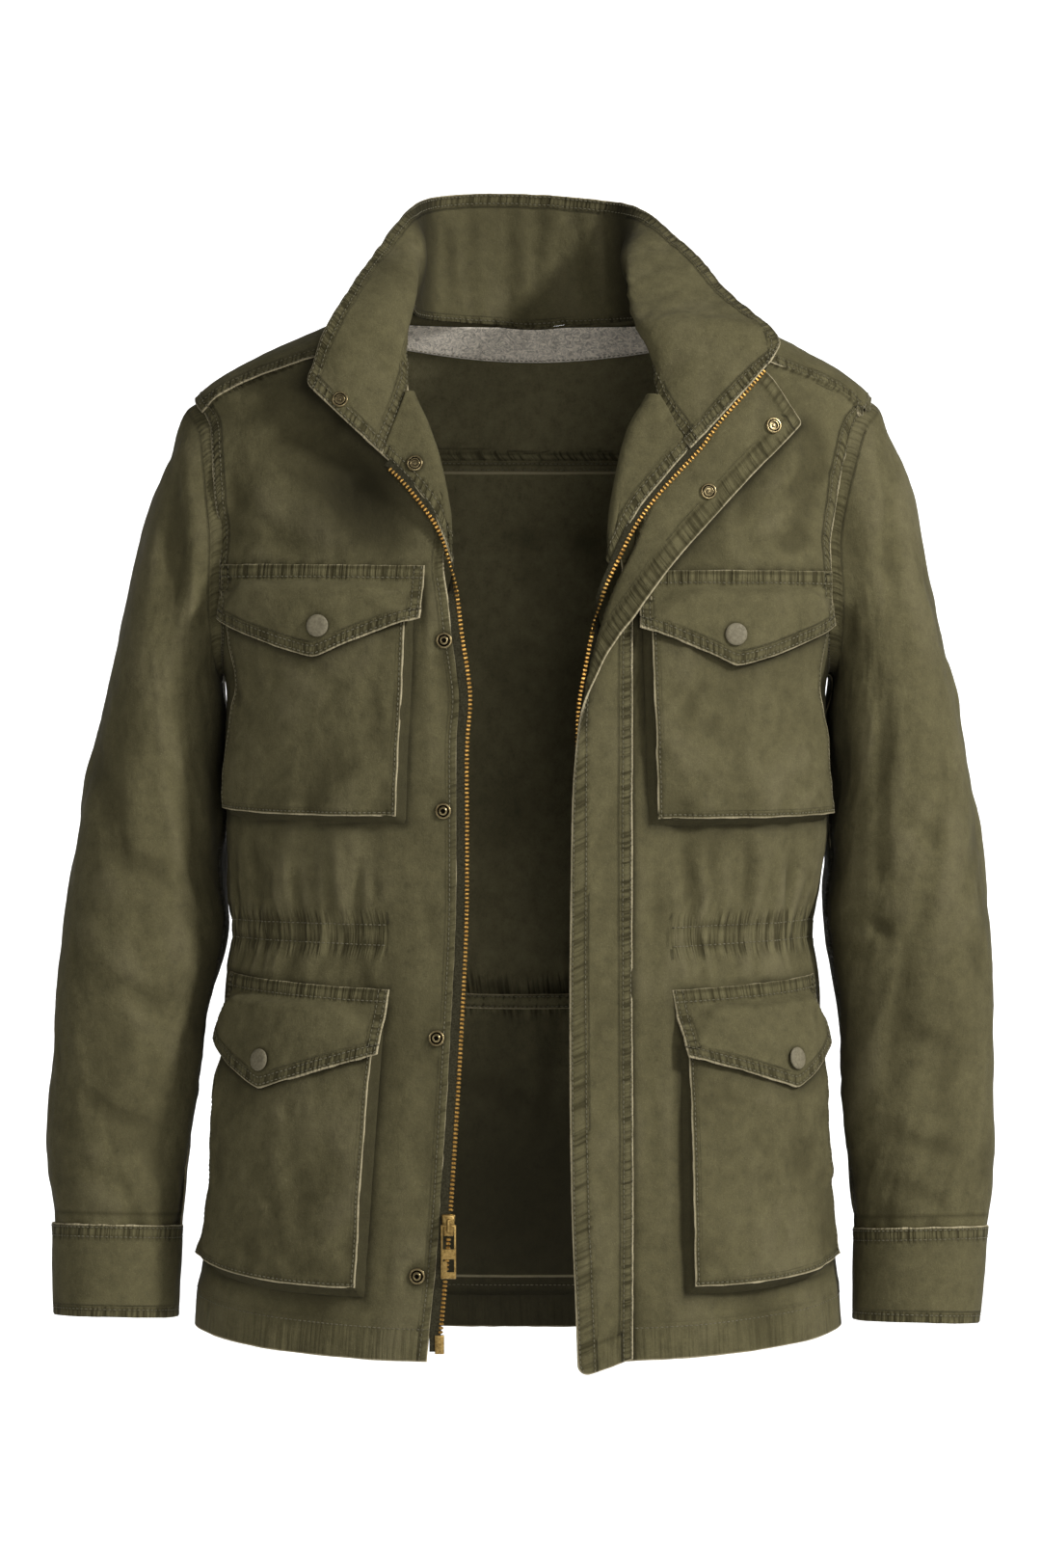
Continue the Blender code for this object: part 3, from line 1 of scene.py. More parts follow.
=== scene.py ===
"""Field jacket, open at the front and filled out as if worn: cloth, stitching, zip and snaps."""
import math
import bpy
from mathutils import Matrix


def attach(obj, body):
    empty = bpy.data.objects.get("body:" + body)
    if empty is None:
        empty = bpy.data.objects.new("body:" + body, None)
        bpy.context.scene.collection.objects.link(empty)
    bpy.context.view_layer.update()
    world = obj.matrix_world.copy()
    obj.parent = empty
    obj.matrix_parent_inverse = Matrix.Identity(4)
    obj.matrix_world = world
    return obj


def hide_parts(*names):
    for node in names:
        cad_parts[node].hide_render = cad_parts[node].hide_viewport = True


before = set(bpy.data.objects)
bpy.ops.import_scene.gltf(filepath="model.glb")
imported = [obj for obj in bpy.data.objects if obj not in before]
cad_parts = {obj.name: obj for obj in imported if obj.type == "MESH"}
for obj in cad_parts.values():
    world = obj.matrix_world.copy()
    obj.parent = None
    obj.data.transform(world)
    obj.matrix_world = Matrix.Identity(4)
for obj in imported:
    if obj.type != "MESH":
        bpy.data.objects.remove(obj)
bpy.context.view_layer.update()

from types import SimpleNamespace

import bmesh
import bpy
import numpy as np
from mathutils import Matrix, Vector

MM = 0.001
BODY = "jacket"
SIDES = {"left": 1, "right": -1}      # the wearer's left is +X

# --- Sizes shared with the solids ----------------------------------------------------------------
CLOTH = 0.0016
DOUBLE = 0.0024
TAPE = 0.001
LAY = 0.0016
NECK_CENTRE_X = 0.009
NECK_HALF_WIDTH = 0.092
NECK_BACK_Y = 0.075
ARM_TOP_Z = -0.06
ARM_BOTTOM_Z = -0.255
ARM_MIDDLE_Y = 0.004
ARM_FRONT_REACH = 0.08
ARM_BACK_REACH = 0.084
ARM_SQUARE = 2.4
HEM_FRONT_Z = -0.7315
HEM_SIDE_Z = -0.717
HEM_BACK_Z = -0.74
WAIST_Z = -0.44
WAIST_BACK_DIP = 0.056
BACK_YOKE_Z = -0.094
SLEEVE_SQUARE = 2.2
SLEEVE_LAST_ROW = 15
CUFF_LAST_ROW = 17
FLAP_CLEARANCE = 0.0036
FLAP_BAND = 0.009
BAG_MOUTH_DROP = 0.018
BAG_CROWN = 0.18
BAG_FULL_SHARE = 0.7
BAG_MOUTH_SHARE = 0.45
NUMERIC_STEP = 0.0005


def hermite(start, start_slope, end, end_slope, t):
    return ((1 + 2 * t) * (1 - t) ** 2 * start + t * (1 - t) ** 2 * start_slope
            + t * t * (3 - 2 * t) * end - t * t * (1 - t) * end_slope)


class SizeTable:
    """Sizes against a first column, read between the rows on a smooth curve.

    The rows are written in millimetres and read in metres; row numbers and the power "square" are plain.
    """
    PLAIN = ("row", "square")

    def __init__(self, columns, *rows):
        data = np.array(sorted(rows)) / [1 if name in self.PLAIN else 1000 for name in columns.split()]
        self.columns = columns.split()[1:]
        self.keys = data[:, 0]
        self.values = data[:, 1:]
        self.slopes = np.gradient(self.values, self.keys, axis=0)

    def at(self, key):
        key = np.clip(np.asarray(key, float), self.keys[0], self.keys[-1])
        i = np.clip(np.searchsorted(self.keys, key) - 1, 0, len(self.keys) - 2)
        span = (self.keys[i + 1] - self.keys[i])[..., None]
        t = (key - self.keys[i])[..., None] / span
        row = hermite(self.values[i], span * self.slopes[i], self.values[i + 1], span * self.slopes[i + 1], t)
        return SimpleNamespace(**{name: row[..., n] for n, name in enumerate(self.columns)})


def named_rows(columns, *rows):
    return [SimpleNamespace(**dict(zip(columns.split(), row))) for row in rows]


TORSO = SizeTable(
    "z       half    centre   front   back    square",
    (30, 70, 12, 35, 40, 2.3), (12, 100, 12, 56, 60, 2.3),
    (0, 130, 12, 68, 75, 2.3), (-20, 176.5, 12, 79, 93, 2.4),
    (-40, 216, 10.5, 88, 106, 2.6), (-60, 240, 8.5, 95, 115, 2.8),
    (-80, 243, 7.5, 100, 120, 2.8), (-106, 250, 5.5, 107, 124, 2.8),
    (-132, 248.7, 3.5, 113, 127, 2.8), (-158, 241.5, 2.5, 118, 128, 2.8),
    (-200, 234.6, 3, 122, 127, 2.8), (-235, 223, 3.5, 124.5, 126, 2.7),
    (-255, 216, 3.5, 125, 125, 2.6), (-310, 215.5, 4, 124.5, 121, 2.5),
    (-360, 215, 4, 123, 117, 2.5), (-406, 211, 1.5, 119, 114, 2.5),
    (-443, 206.5, 0.5, 115, 112, 2.5), (-471, 210.5, 0, 119, 112.5, 2.5),
    (-518, 213, 0, 124, 115, 2.5), (-565, 215, -0.5, 127, 121, 2.5),
    (-635, 220, -1, 129, 127, 2.5), (-700, 229, -2, 130, 130, 2.5),
    (-745, 232, -2.5, 130, 130, 2.5))

FRONT_EDGE = {
    "right": SizeTable(
        "z       x",
        (-16, -82), (-45, -80), (-68, -77), (-87.3, -69), (-108.6, -61.7),
        (-137, -55), (-163, -51.5), (-181, -53.5), (-210, -50), (-232, -47.5),
        (-257, -43.7), (-274, -41.8), (-300, -43.7), (-350, -44), (-430, -44.5),
        (-487, -47), (-576, -52), (-676, -59), (-731, -65.5)),
    "left": SizeTable(
        "z       x",
        (-16, 100), (-45, 98.5), (-71.4, 91), (-85.3, 82.7), (-113.9, 73.5),
        (-146.4, 66.2), (-167, 64.5), (-187, 69), (-215.9, 61.8), (-235.8, 57.7),
        (-256.4, 53.7), (-277, 49.8), (-297, 47.5), (-330, 48.5), (-400, 50),
        (-730, 54))}

TEETH = {
    "right": SizeTable(
        "z       x        lift",
        (-114.6, -93.7, 8.5), (-127, -81.2, 8.5), (-139, -71.3, 8), (-156.8, -58.7, 6),
        (-170.6, -52.1, 3), (-187, -48, 0.5), (-210.9, -44.2, -0.8), (-232.1, -41.7, -0.8),
        (-256.6, -37.8, -0.8), (-273.9, -35.9, -0.8), (-305, -37.8, -0.8), (-370, -38, -0.8),
        (-430, -38.5, -0.8), (-487, -41, -0.8), (-576, -46, -0.8), (-676, -53, -0.8),
        (-711, -56.2, -0.8)),
    "left": SizeTable(
        "z       x       lift",
        (-46.6, 169.3, 24), (-65, 154, 20.5), (-85.5, 136.1, 16.5), (-103, 123.5, 14.5),
        (-119, 108.9, 13), (-136, 93.6, 11), (-151.5, 81.7, 10), (-165, 73.7, 9),
        (-181.5, 65.7, 7), (-200, 57.1, 4), (-218, 51.8, 1), (-238, 47.8, 0),
        (-259, 43.8, -0.6), (-279, 40.2, -0.8), (-305, 39.2, -0.8), (-400, 43, -0.8),
        (-560, 45, -0.8), (-711, 47, -0.8))}

# Largest soft folds of the body, as in the solids.
FOLDS = named_rows(
    "face x z reach_x reach_z height slant",
    (-1, -0.187, -0.4, 0.012, 0.04, -0.0035, 0.1),
    (-1, -0.15, -0.395, 0.014, 0.045, -0.0045, 0.15),
    (-1, -0.112, -0.4, 0.013, 0.04, -0.0035, 0.25),
    (-1, -0.17, -0.335, 0.03, 0.06, -0.003, 0.4),
    (-1, 0.115, -0.395, 0.013, 0.045, -0.004, -0.25),
    (-1, 0.15, -0.4, 0.014, 0.045, -0.0045, -0.15),
    (-1, 0.19, -0.398, 0.012, 0.04, -0.004, -0.1),
    (-1, -0.12, -0.48, 0.016, 0.03, -0.003, -0.2),
    (-1, 0.135, -0.48, 0.016, 0.03, -0.003, 0.2),
    (1, -0.15, -0.41, 0.02, 0.06, -0.005, 0.2),
    (1, -0.08, -0.42, 0.018, 0.07, -0.0045, 0.1),
    (1, -0.01, -0.43, 0.02, 0.06, -0.004, 0.0),
    (1, 0.07, -0.42, 0.018, 0.07, -0.005, -0.1),
    (1, 0.145, -0.41, 0.02, 0.06, -0.0045, -0.2),
    (1, -0.1, -0.56, 0.022, 0.06, -0.004, -0.1),
    (1, 0.03, -0.57, 0.024, 0.06, -0.0045, 0.0),
    (1, 0.12, -0.56, 0.022, 0.06, -0.004, 0.1))

SLEEVE_COLUMNS = "row outer_x outer_z inner_x inner_z"
SLEEVE = {
    "right": SizeTable(
        SLEEVE_COLUMNS,
        (1, -245, -83, -215, -259), (2, -257, -117, -215.5, -266), (3, -269, -152, -215.5, -276),
        (4, -281, -194, -215.2, -292), (5, -293, -246, -215, -315), (6, -305, -298, -214.5, -345),
        (7, -314.5, -348, -213.5, -378), (8, -322, -396, -212.5, -412), (9, -328, -442, -210.5, -442),
        (10, -332, -480, -220.5, -477), (11, -334.5, -516, -227.2, -513), (12, -336.2, -552, -229.8, -550),
        (13, -337.5, -585, -234.5, -585), (14, -336.2, -616, -239, -617), (15, -332, -648, -242.2, -650),
        (16, -331.5, -680, -244, -682), (17, -330.5, -711, -245.5, -713)),
    "left": SizeTable(
        SLEEVE_COLUMNS,
        (1, 260, -80, 222.5, -259), (2, 272, -112, 223, -266), (3, 283.5, -148, 223, -276),
        (4, 295.5, -193, 222.8, -292), (5, 306.5, -246, 222.5, -315), (6, 316.5, -299, 222, -345),
        (7, 324, -350, 220, -378), (8, 330.5, -396, 216.5, -412), (9, 335.5, -438, 216.5, -442),
        (10, 337, -476, 223.2, -477), (11, 338.2, -514, 227.5, -513), (12, 338.6, -552, 228.8, -550),
        (13, 338.3, -587, 230, -587), (14, 335.2, -619, 233.5, -619), (15, 330, -650, 237.2, -652),
        (16, 327, -684, 237, -685), (17, 323.5, -717, 237, -715))}
SLEEVE_DEPTH = SizeTable(
    "row middle_y half_depth tilt",
    (1, 4, 81.5, 0), (2, 4, 81.5, 0), (3, 4, 80, 0), (4, 4, 78.5, 0), (5, 5, 76.5, 0),
    (6, 5, 73.5, 0), (7, 4, 70.5, 0), (8, 2, 67.5, 1), (9, 0, 64.5, 2), (10, -3, 61.5, 3),
    (11, -6, 58.5, 3), (12, -9, 55.5, 4), (13, -12, 53, 4), (14, -15, 50.5, 4), (15, -18, 48, 4),
    (16, -20, 47, 4), (17, -22, 46, 4))
SLEEVE_SEAM_Z = -0.125       # where the seam between upper and under sleeve meets the armhole
SLEEVE_CREASES = named_rows(
    "row phi reach_row reach_phi height",
    (2.2, 75, 0.9, 26, -0.004), (3.6, 95, 1.2, 30, -0.0035), (5.5, 120, 1.0, 34, -0.0045),
    (7.6, 150, 0.7, 46, -0.005), (9.0, 140, 0.6, 50, -0.0055), (10.4, 120, 0.6, 46, -0.0045),
    (12.0, 60, 0.7, 50, -0.0035), (13.4, 100, 0.6, 55, -0.003), (6.4, 260, 0.9, 40, -0.0045),
    (8.6, 240, 0.7, 46, -0.005), (10.8, 250, 0.7, 46, -0.004), (13.0, 280, 0.6, 50, -0.003),
    (4.4, 20, 1.3, 26, -0.003), (6.6, 212, 2.6, 24, 0.0095), (3.9, 194, 1.5, 32, 0.01),
    (2.7, 190, 1.0, 32, 0.009))

COLLAR = SizeTable(
    "row seam_x seam_y seam_z turn_x turn_y turn_z top_x top_y top_z",
    (0, -96, -113.5, -108, -122, -111, -84, -150, -100, -57),
    (1, -80, -97, -64, -96, -101, -47, -133, -92, -13),
    (2, -81.5, -86, -36, -82, -90, -18, -121, -76, 9),
    (3, -82, -64, -6, -75.5, -66, 12, -110, -52, 29),
    (4, -83, -30, 19, -73.5, -32, 42, -94, -20, 56),
    (5, -81, 8, 21.5, -73.5, 8, 64, -81, 15, 78),
    (6, -70, 40, 15, -68, 44, 60, -68, 48, 90.5),
    (7, -40, 65, 5, -40, 69, 50, -38, 74, 97.5),
    (8, 9, 76, 1.5, 9, 80, 50, 9, 85, 98.5),
    (9, 58, 65, 5, 57, 69, 50, 56, 74, 93.5),
    (10, 88, 40, 15, 76.5, 44, 64, 83, 50, 85),
    (11, 98.5, 8, 21.5, 73.5, 8, 48, 106, 16, 64),
    (12, 101, -30, 19, 75, -32, 26, 130, -20, 34),
    (13, 100, -64, -6, 78.5, -66, -3, 149, -52, 8),
    (14, 97, -86, -38, 85, -92, -28, 164, -76, -9),
    (15, 94.5, -103, -69, 104, -106, -54, 179, -92.5, -26.2),
    (16, 116.2, -118, -104.5, 145, -113, -73.5, 175.2, -102, -39.2))

LAPEL_COLUMNS = "row roll_x roll_z edge_x edge_z lift"
LAPEL = {
    "right": SizeTable(
        LAPEL_COLUMNS,
        (0, -80, -63, -96.6, -107.8, 7.8),
        (1, -69, -87.3, -80.6, -123.2, 8.5),
        (2, -61.7, -108.6, -70.4, -135.4, 8),
        (3, -55, -133, -60.8, -149.6, 6.5),
        (4, -50.5, -160, -52.6, -169, 4),
        (5, -47.8, -181, -48.2, -183, 1.2)),
    "left": SizeTable(
        LAPEL_COLUMNS,
        (0, 95, -65.5, 117.2, -103, 13.8),
        (1, 82.7, -87, 106, -115.2, 14),
        (2, 76.5, -104, 96.5, -126.6, 13),
        (3, 73.5, -116, 89, -135.4, 12.5),
        (4, 69.7, -132, 81.4, -145.2, 11),
        (5, 66.2, -148, 74.4, -157.6, 9),
        (6, 62.5, -164, 68, -171.2, 6.6),
        (7, 59, -182, 61.2, -185.8, 3))}

# Storm flap by height of row: sewn edge a, fold b, free edge c.
STORM_FLAP = SizeTable(
    "row a_x a_z a_lift b_x b_z b_lift c_x c_z c_lift",
    (0, 161, -42, 17, 174, -53, 18.5, 195, -85, 14),
    (1, 144, -61, 15, 159, -72, 15.5, 183, -98, 12),
    (2, 127, -79, 12.5, 142, -92, 13, 166, -115, 10),
    (3, 113, -95, 10, 129, -109, 10.5, 151, -131, 9),
    (4, 99, -111, 7, 115, -125, 8.5, 134, -150, 8.5),
    (5, 88, -128, 6, 100, -142, 8, 117, -169, 10),
    (6, 82, -145, 5, 88, -157, 8.5, 102, -187, 14.5),
    (7, 79, -165, 4.2, 79, -172, 9.5, 88, -206, 16.5),
    (8, 78, -185, 3.6, 69, -190, 9, 77.5, -221, 15),
    (9, 77, -205, 3.4, 60, -211, 8, 68, -233, 13),
    (10, 76.5, -228, 3.2, 52.5, -234, 7, 58, -248, 11),
    (11, 76.3, -252, 3.2, 47, -255, 6.2, 51, -263, 9.5),
    (12, 76.2, -275, 3.2, 43, -276, 5.2, 43.2, -279, 7.2),
    (13, 76.2, -298, 3.2, 43, -298, 4.2, 38.5, -298, 5.2),
    (14, 76.2, -333, 3.4, 46.3, -333, 4.4, 35.5, -333, 4.8),
    (16, 76.4, -420, 3.4, 48, -420, 4.4, 33.5, -420, 4.6),
    (20, 76.5, -620, 3.4, 48, -620, 4.4, 34, -620, 4.6),
    (22, 76.6, -700, 3.3, 48, -702, 4, 37.2, -703, 4.2),
    (23, 76.6, -729, 3.2, 48, -738.5, 3.6, 38.5, -741, 3.8))

# Pockets: the inner edges of bag and flap, the outer edge as an angle from the side seam, the place
# of the flap's point and snap as a share of its width, then the heights of both.
POCKETS = named_rows(
    "name side bag_top_x bag_low_x flap_top_x flap_low_x angle_top angle_low tip_share "
    "top_inner top_outer corner_inner corner_outer tip bag_inner bag_outer depth cap",
    ("chest_pocket_right", "right", -0.0725, -0.0795, -0.0663, -0.069, 32, 13, 0.41,
     -0.185, -0.182, -0.2212, -0.2175, -0.2467, -0.3625, -0.357, 0.0064, -0.2262),
    ("chest_pocket_left", "left", 0.082, 0.0872, 0.08, 0.0805, 31, 13, 0.39,
     -0.1885, -0.187, -0.2275, -0.222, -0.253, -0.364, -0.36, 0.0064, -0.232),
    ("lower_pocket_right", "right", -0.0945, -0.1078, -0.0907, -0.0967, 15, 14, 0.53,
     -0.4767, -0.4675, -0.5213, -0.5147, -0.5471, -0.6875, -0.672, 0.008, -0.5255),
    ("lower_pocket_left", "left", 0.1085, 0.1125, 0.1036, 0.112, 15, 14, 0.58,
     -0.4773, -0.4688, -0.5226, -0.5174, -0.5468, -0.6865, -0.672, 0.008, -0.525))

# Rows of the body panels from the hem upwards: heights at the inner edge and at the side.
PANEL_INNER_Z = (-0.725, -0.695, -0.65, -0.605, -0.56, -0.52, -0.485, -0.458, -0.44,
                 -0.422, -0.39, -0.355, -0.315, -0.28, -0.248, -0.215, -0.178, -0.14,
                 -0.105, -0.068, -0.016)
PANEL_SIDE_Z = (-0.715, -0.69, -0.65, -0.605, -0.56, -0.52, -0.485, -0.458, -0.44,
                -0.422, -0.39, -0.355, -0.315, -0.275, -0.2549, -0.24, -0.205, -0.165,
                -0.125, -0.098, -0.0735)
BACK_TOP_ROW = 19


# --- Points on the worn form ----------------------------------------------------------------------
def mix(a, b, t):
    return a + (b - a) * t


def smooth_step(value):
    t = np.clip(value, 0, 1)
    return t * t * (3 - 2 * t)


def stack(x, y, z):
    return np.stack(np.broadcast_arrays(x, y, z), axis=-1)


def unit(vectors):
    return vectors / np.maximum(np.linalg.norm(vectors, axis=-1, keepdims=True), 1e-12)


def signed_power(value, power):
    return np.sign(value) * np.abs(value) ** power


def excess(x, y, z):
    """Zero on the worn form, above zero outside it."""
    row = TORSO.at(z)
    depth = np.where(y < 0, row.front, row.back)
    return np.abs((x - row.centre) / row.half) ** row.square + np.abs(y / depth) ** row.square - 1


def form_normal(x, y, z):
    step = NUMERIC_STEP
    return unit(stack(excess(x + step, y, z) - excess(x - step, y, z),
                      excess(x, y + step, z) - excess(x, y - step, z),
                      excess(x, y, z + step) - excess(x, y, z - step)))


def fold_height(x, y, z):
    total = np.zeros(np.broadcast(x, y, z).shape)
    for fold in FOLDS:
        across = (x - fold.x - fold.slant * (z - fold.z)) / fold.reach_x
        along = (z - fold.z) / fold.reach_z
        total += np.where(y * fold.face > 0, fold.height * np.exp(-across ** 2 - along ** 2), 0)
    return total


def form_point(theta, z, lift=0.0):
    """Points at theta degrees round the body: 0 and 180 are the side seams, 90 the front middle."""
    row = TORSO.at(z)
    c, s = np.cos(np.radians(theta)), np.sin(np.radians(theta))
    depth = np.where(s > 0, row.front, row.back)
    x = row.centre - row.half * signed_power(c, 2 / row.square)
    y = -depth * signed_power(s, 2 / row.square)
    rise = np.asarray(lift + fold_height(x, y, z))[..., None]
    return stack(x, y, z) + form_normal(x, y, z) * rise


def theta_at(x, z):
    row = TORSO.at(z)
    ratio = np.clip((row.centre - x) / row.half, -1, 1)
    return np.degrees(np.arccos(signed_power(ratio, row.square / 2)))


def front_point(x, z, lift=0.0):
    """Points straight in front of the worn form, at places seen from the front."""
    row = TORSO.at(z)
    ratio = np.minimum(np.abs((x - row.centre) / row.half), 0.98)
    y = -row.front * (1 - ratio ** row.square) ** (1 / row.square)
    return stack(x, y - lift - fold_height(x, y, z), z)


def form_height(x, y):
    low = np.full(np.broadcast(x, y).shape, -0.26)
    high = np.full(low.shape, 0.03)
    for _ in range(30):
        middle = (low + high) / 2
        outside = excess(x, y, middle) > 0
        high = np.where(outside, middle, high)
        low = np.where(outside, low, middle)
    return low


def plan_point(x, y):
    return stack(x, y, form_height(x, y))


def armhole_point(side, phi, outward=0.0):
    """The armhole seam: phi 0 on the shoulder, 90 in front, 180 under the arm, 270 behind."""
    c, s = np.cos(np.radians(phi)), np.sin(np.radians(phi))
    half_height = (ARM_TOP_Z - ARM_BOTTOM_Z) / 2
    z = (ARM_TOP_Z + ARM_BOTTOM_Z) / 2 + half_height * signed_power(c, 2 / ARM_SQUARE)
    reach = np.where(s > 0, ARM_FRONT_REACH, ARM_BACK_REACH)
    y = ARM_MIDDLE_Y - reach * signed_power(s, 2 / ARM_SQUARE)
    row = TORSO.at(z)
    depth = np.where(y < 0, row.front, row.back)
    width = row.half * (1 - np.abs(y / depth) ** row.square) ** (1 / row.square)
    return stack(row.centre + SIDES[side] * (width + outward), y, z)


def armhole_phi(z):
    half_height = (ARM_TOP_Z - ARM_BOTTOM_Z) / 2
    ratio = np.clip((z - (ARM_TOP_Z + ARM_BOTTOM_Z) / 2) / half_height, -1, 1)
    return np.degrees(np.arccos(signed_power(ratio, ARM_SQUARE / 2)))


def side_theta(side, z, back):
    """Angle of the outer edge of a panel: the side seam, and above it the armhole."""
    phi = armhole_phi(np.maximum(z, ARM_BOTTOM_Z))
    place = armhole_point(side, 360 - phi if back else phi)
    y = place[..., 1]
    row = TORSO.at(z)
    depth = np.where(y < 0, row.front, row.back)
    angle = np.degrees(np.arcsin(np.minimum(np.abs(y / depth), 1) ** (row.square / 2)))
    angle = np.where((y > 0) == back, angle, -angle)
    angle = angle * smooth_step((z - ARM_BOTTOM_Z) / 0.03 + 1)
    if side == "right":
        return 360 - angle if back else angle
    return 180 + angle if back else 180 - angle


def hem_z(theta):
    s = np.sin(np.radians(theta))
    low = np.where(s > 0, HEM_FRONT_Z, HEM_BACK_Z)
    return HEM_SIDE_Z + (low - HEM_SIDE_Z) * np.abs(s) ** 1.5


def waist_shift(theta, z):
    dip = WAIST_BACK_DIP * np.maximum(0.0, -np.sin(np.radians(theta))) ** 1.5
    return -dip * np.exp(-((z - WAIST_Z) / 0.09) ** 2)


# --- Uneven cloth ---------------------------------------------------------------------------------
SCRAMBLE = (374761393, 668265263, 974634777, 1274126177)
POSITIVE = 0x7FFFFFFF


def lattice(i, j, seed):
    """A number from -1 to 1 for each whole i and j, always the same one."""
    n = i.astype(np.int64) * SCRAMBLE[0] + j.astype(np.int64) * SCRAMBLE[1] + seed * SCRAMBLE[2]
    n = n & POSITIVE
    n = ((n ^ (n >> 13)) * SCRAMBLE[3]) & POSITIVE
    return ((n ^ (n >> 16)) & 0xFFFF) / 32767.5 - 1


def uneven(x, y, seed):
    """Smooth noise from -1 to 1, with one hump about every unit."""
    x, y = np.broadcast_arrays(np.asarray(x, float), np.asarray(y, float))
    i, j = np.floor(x), np.floor(y)
    fx, fy = x - i, y - j
    fx, fy = (f ** 3 * (f * (f * 6 - 15) + 10) for f in (fx, fy))
    low = mix(lattice(i, j, seed), lattice(i + 1, j, seed), fx)
    high = mix(lattice(i, j + 1, seed), lattice(i + 1, j + 1, seed), fx)
    return mix(low, high, fy)


EDGE_ROLL = 1.4             # how far in from an edge its fold is rounded, mm
EDGE_THINNING = 0.55        # share of the thickness lost at the very edge


class Cloth:
    """One cut piece as a grid of points on its outer face.

    Its four edges are "start" and "end" along the rows, "low" and "high" along the columns.
    """
    FINE = (0.0, 0.5, 1.2, 2.2, 3.4, 4.8, 6.2, 7.6, 9.4, 11.8)     # first lines in from an edge, mm

    def __init__(self, name, surface, pitch_u, pitch_v, outward=1, thickness=CLOTH, centred=False,
                 node=None, material="shell", reverse=None, slot="shell_cloth", closed=False, extra=()):
        self.name, self.thickness, self.centred = name, thickness, centred
        self.node, self.material, self.slot = node or name, material, slot
        self.reverse = reverse or material
        self.closed, self.outward = closed, outward
        self.extra = np.array(extra) * MM       # further rows, at these distances from the low edge in mm
        self.points = self.lay(surface, pitch_u, pitch_v)
        self.measure()
        for value in ("rise", "wear", "inner_wear", "band", "along", "groove", "shade", "inner_shade"):
            setattr(self, value, np.zeros(self.points.shape[:2]))
        self.stitch_lines = []

    def lay(self, surface, pitch_u, pitch_v):
        """A grid whose first lines lie at the same distances from each edge all along it."""
        probe = np.linspace(0, 1, 97)
        coarse = np.linspace(0, 1, 33)
        columns = surface(coarse[None, :] + 0 * probe[:, None], probe[:, None] + 0 * coarse[None, :])
        rises = self.cumulative(columns, 0)
        targets = self.spaced(rises[-1].mean(), pitch_v, self.extra)
        v_rows = np.empty((len(targets(1.0)), len(coarse)))
        for c in range(len(coarse)):
            v_rows[:, c] = np.interp(targets(rises[-1, c]), rises[:, c], probe)
        rows = surface(coarse[None, :] + 0 * v_rows, v_rows)
        spans = self.cumulative(rows, 1)
        targets = self.spaced(spans[:, -1].mean(), pitch_u)
        u = np.array([np.interp(targets(span[-1]), span, coarse) for span in spans])
        v = np.array([np.interp(u[r], coarse, v_rows[r]) for r in range(len(v_rows))])
        self.u, self.v = u, v
        return surface(u, v)

    @staticmethod
    def cumulative(points, axis):
        steps = np.linalg.norm(np.diff(points, axis=axis), axis=2)
        return np.insert(np.cumsum(steps, axis=axis), 0, 0, axis=axis)

    def spaced(self, mean_length, pitch, extra=()):
        fine = np.array(self.FINE) * MM
        middle = max(2, int(round((mean_length - 2 * fine[-1]) / pitch)))

        def lengths(total):
            share = fine * min(1.0, 0.45 * total / fine[-1])
            inside = np.linspace(share[-1], total - share[-1], middle + 1)
            return np.sort(np.concatenate([share[:-1], inside, (total - share[:-1])[::-1], extra]))
        return lengths

    def measure(self):
        self.across = self.cumulative(self.points, 1)
        self.up = self.cumulative(self.points, 0)

    def normals(self):
        du = np.gradient(self.points, axis=1)
        dv = np.gradient(self.points, axis=0)
        return unit(np.cross(du, dv)) * self.outward

    def distance(self, edge):
        return {"start": self.across, "end": self.across[:, -1:] - self.across,
                "low": self.up, "high": self.up[-1:] - self.up}[edge]

    def course(self, edge):
        return self.up if edge in ("start", "end") else self.across

    def soften(self, height, seed, wide=55, tall=130, lean=0.25):
        """Uneven waves all over, in millimetres from hump to hump, each finer set leaning the other way."""
        for size, share in ((1.0, 1.0), (0.48, 0.55), (0.22, 0.22)):
            bend = uneven(self.across / (1.4 * wide * MM), self.up / (1.2 * wide * MM), seed + 50)
            bend = bend * 0.5 * wide * MM
            s = (self.across + lean * self.up + bend) / (size * wide * MM)
            t = (self.up - lean * self.across) / (size * tall * MM)
            self.rise += height * share * uneven(s, t, seed)
            seed, lean = seed + 1, -1.7 * lean

    def rest(self, centres, radius=9):
        """Smooths the cloth round a snap or under a pocket corner, and paints a ring of shade round it; sizes
        in millimetres.
        """
        for centre in centres:
            d = np.linalg.norm(self.points - np.asarray(centre), axis=-1)
            kept = smooth_step((d / MM - 0.75 * radius) / (0.6 * radius))
            self.rise *= kept
            self.band *= kept
            # Painted shade in a ring just outside the snap.
            self.paint_shade(0.7 * np.exp(-(np.maximum(0, d / MM - 0.62 * radius) / 2.2) ** 2))

    def paint_shade(self, amount):
        """Painted shade: darkens the cloth's colour where it lies covered, in a hollow or beside a piece over
        it.
        """
        self.shade = np.maximum(self.shade, amount)

    def paint_shadow_beside(self, line, reach=2.4, most=0.75):
        """Painted shadow beside the edge of what lies on the cloth: a line of x and z, a reach in
        millimetres.
        """
        x, z = self.points[..., 0], self.points[..., 2]
        nearest = np.full(x.shape, 1.0)
        for (x0, z0), (x1, z1) in zip(line[:-1], line[1:]):
            length = max(math.hypot(x1 - x0, z1 - z0), 1e-9)
            ax, az = (x1 - x0) / length, (z1 - z0) / length
            t = np.clip((x - x0) * ax + (z - z0) * az, 0, length)
            nearest = np.minimum(nearest, np.hypot(x - x0 - t * ax, z - z0 - t * az))
        d = nearest / (reach * MM)
        self.paint_shade(most * (0.62 * np.exp(-d ** 2) + 0.38 * np.exp(-(d / 3.2) ** 2)))

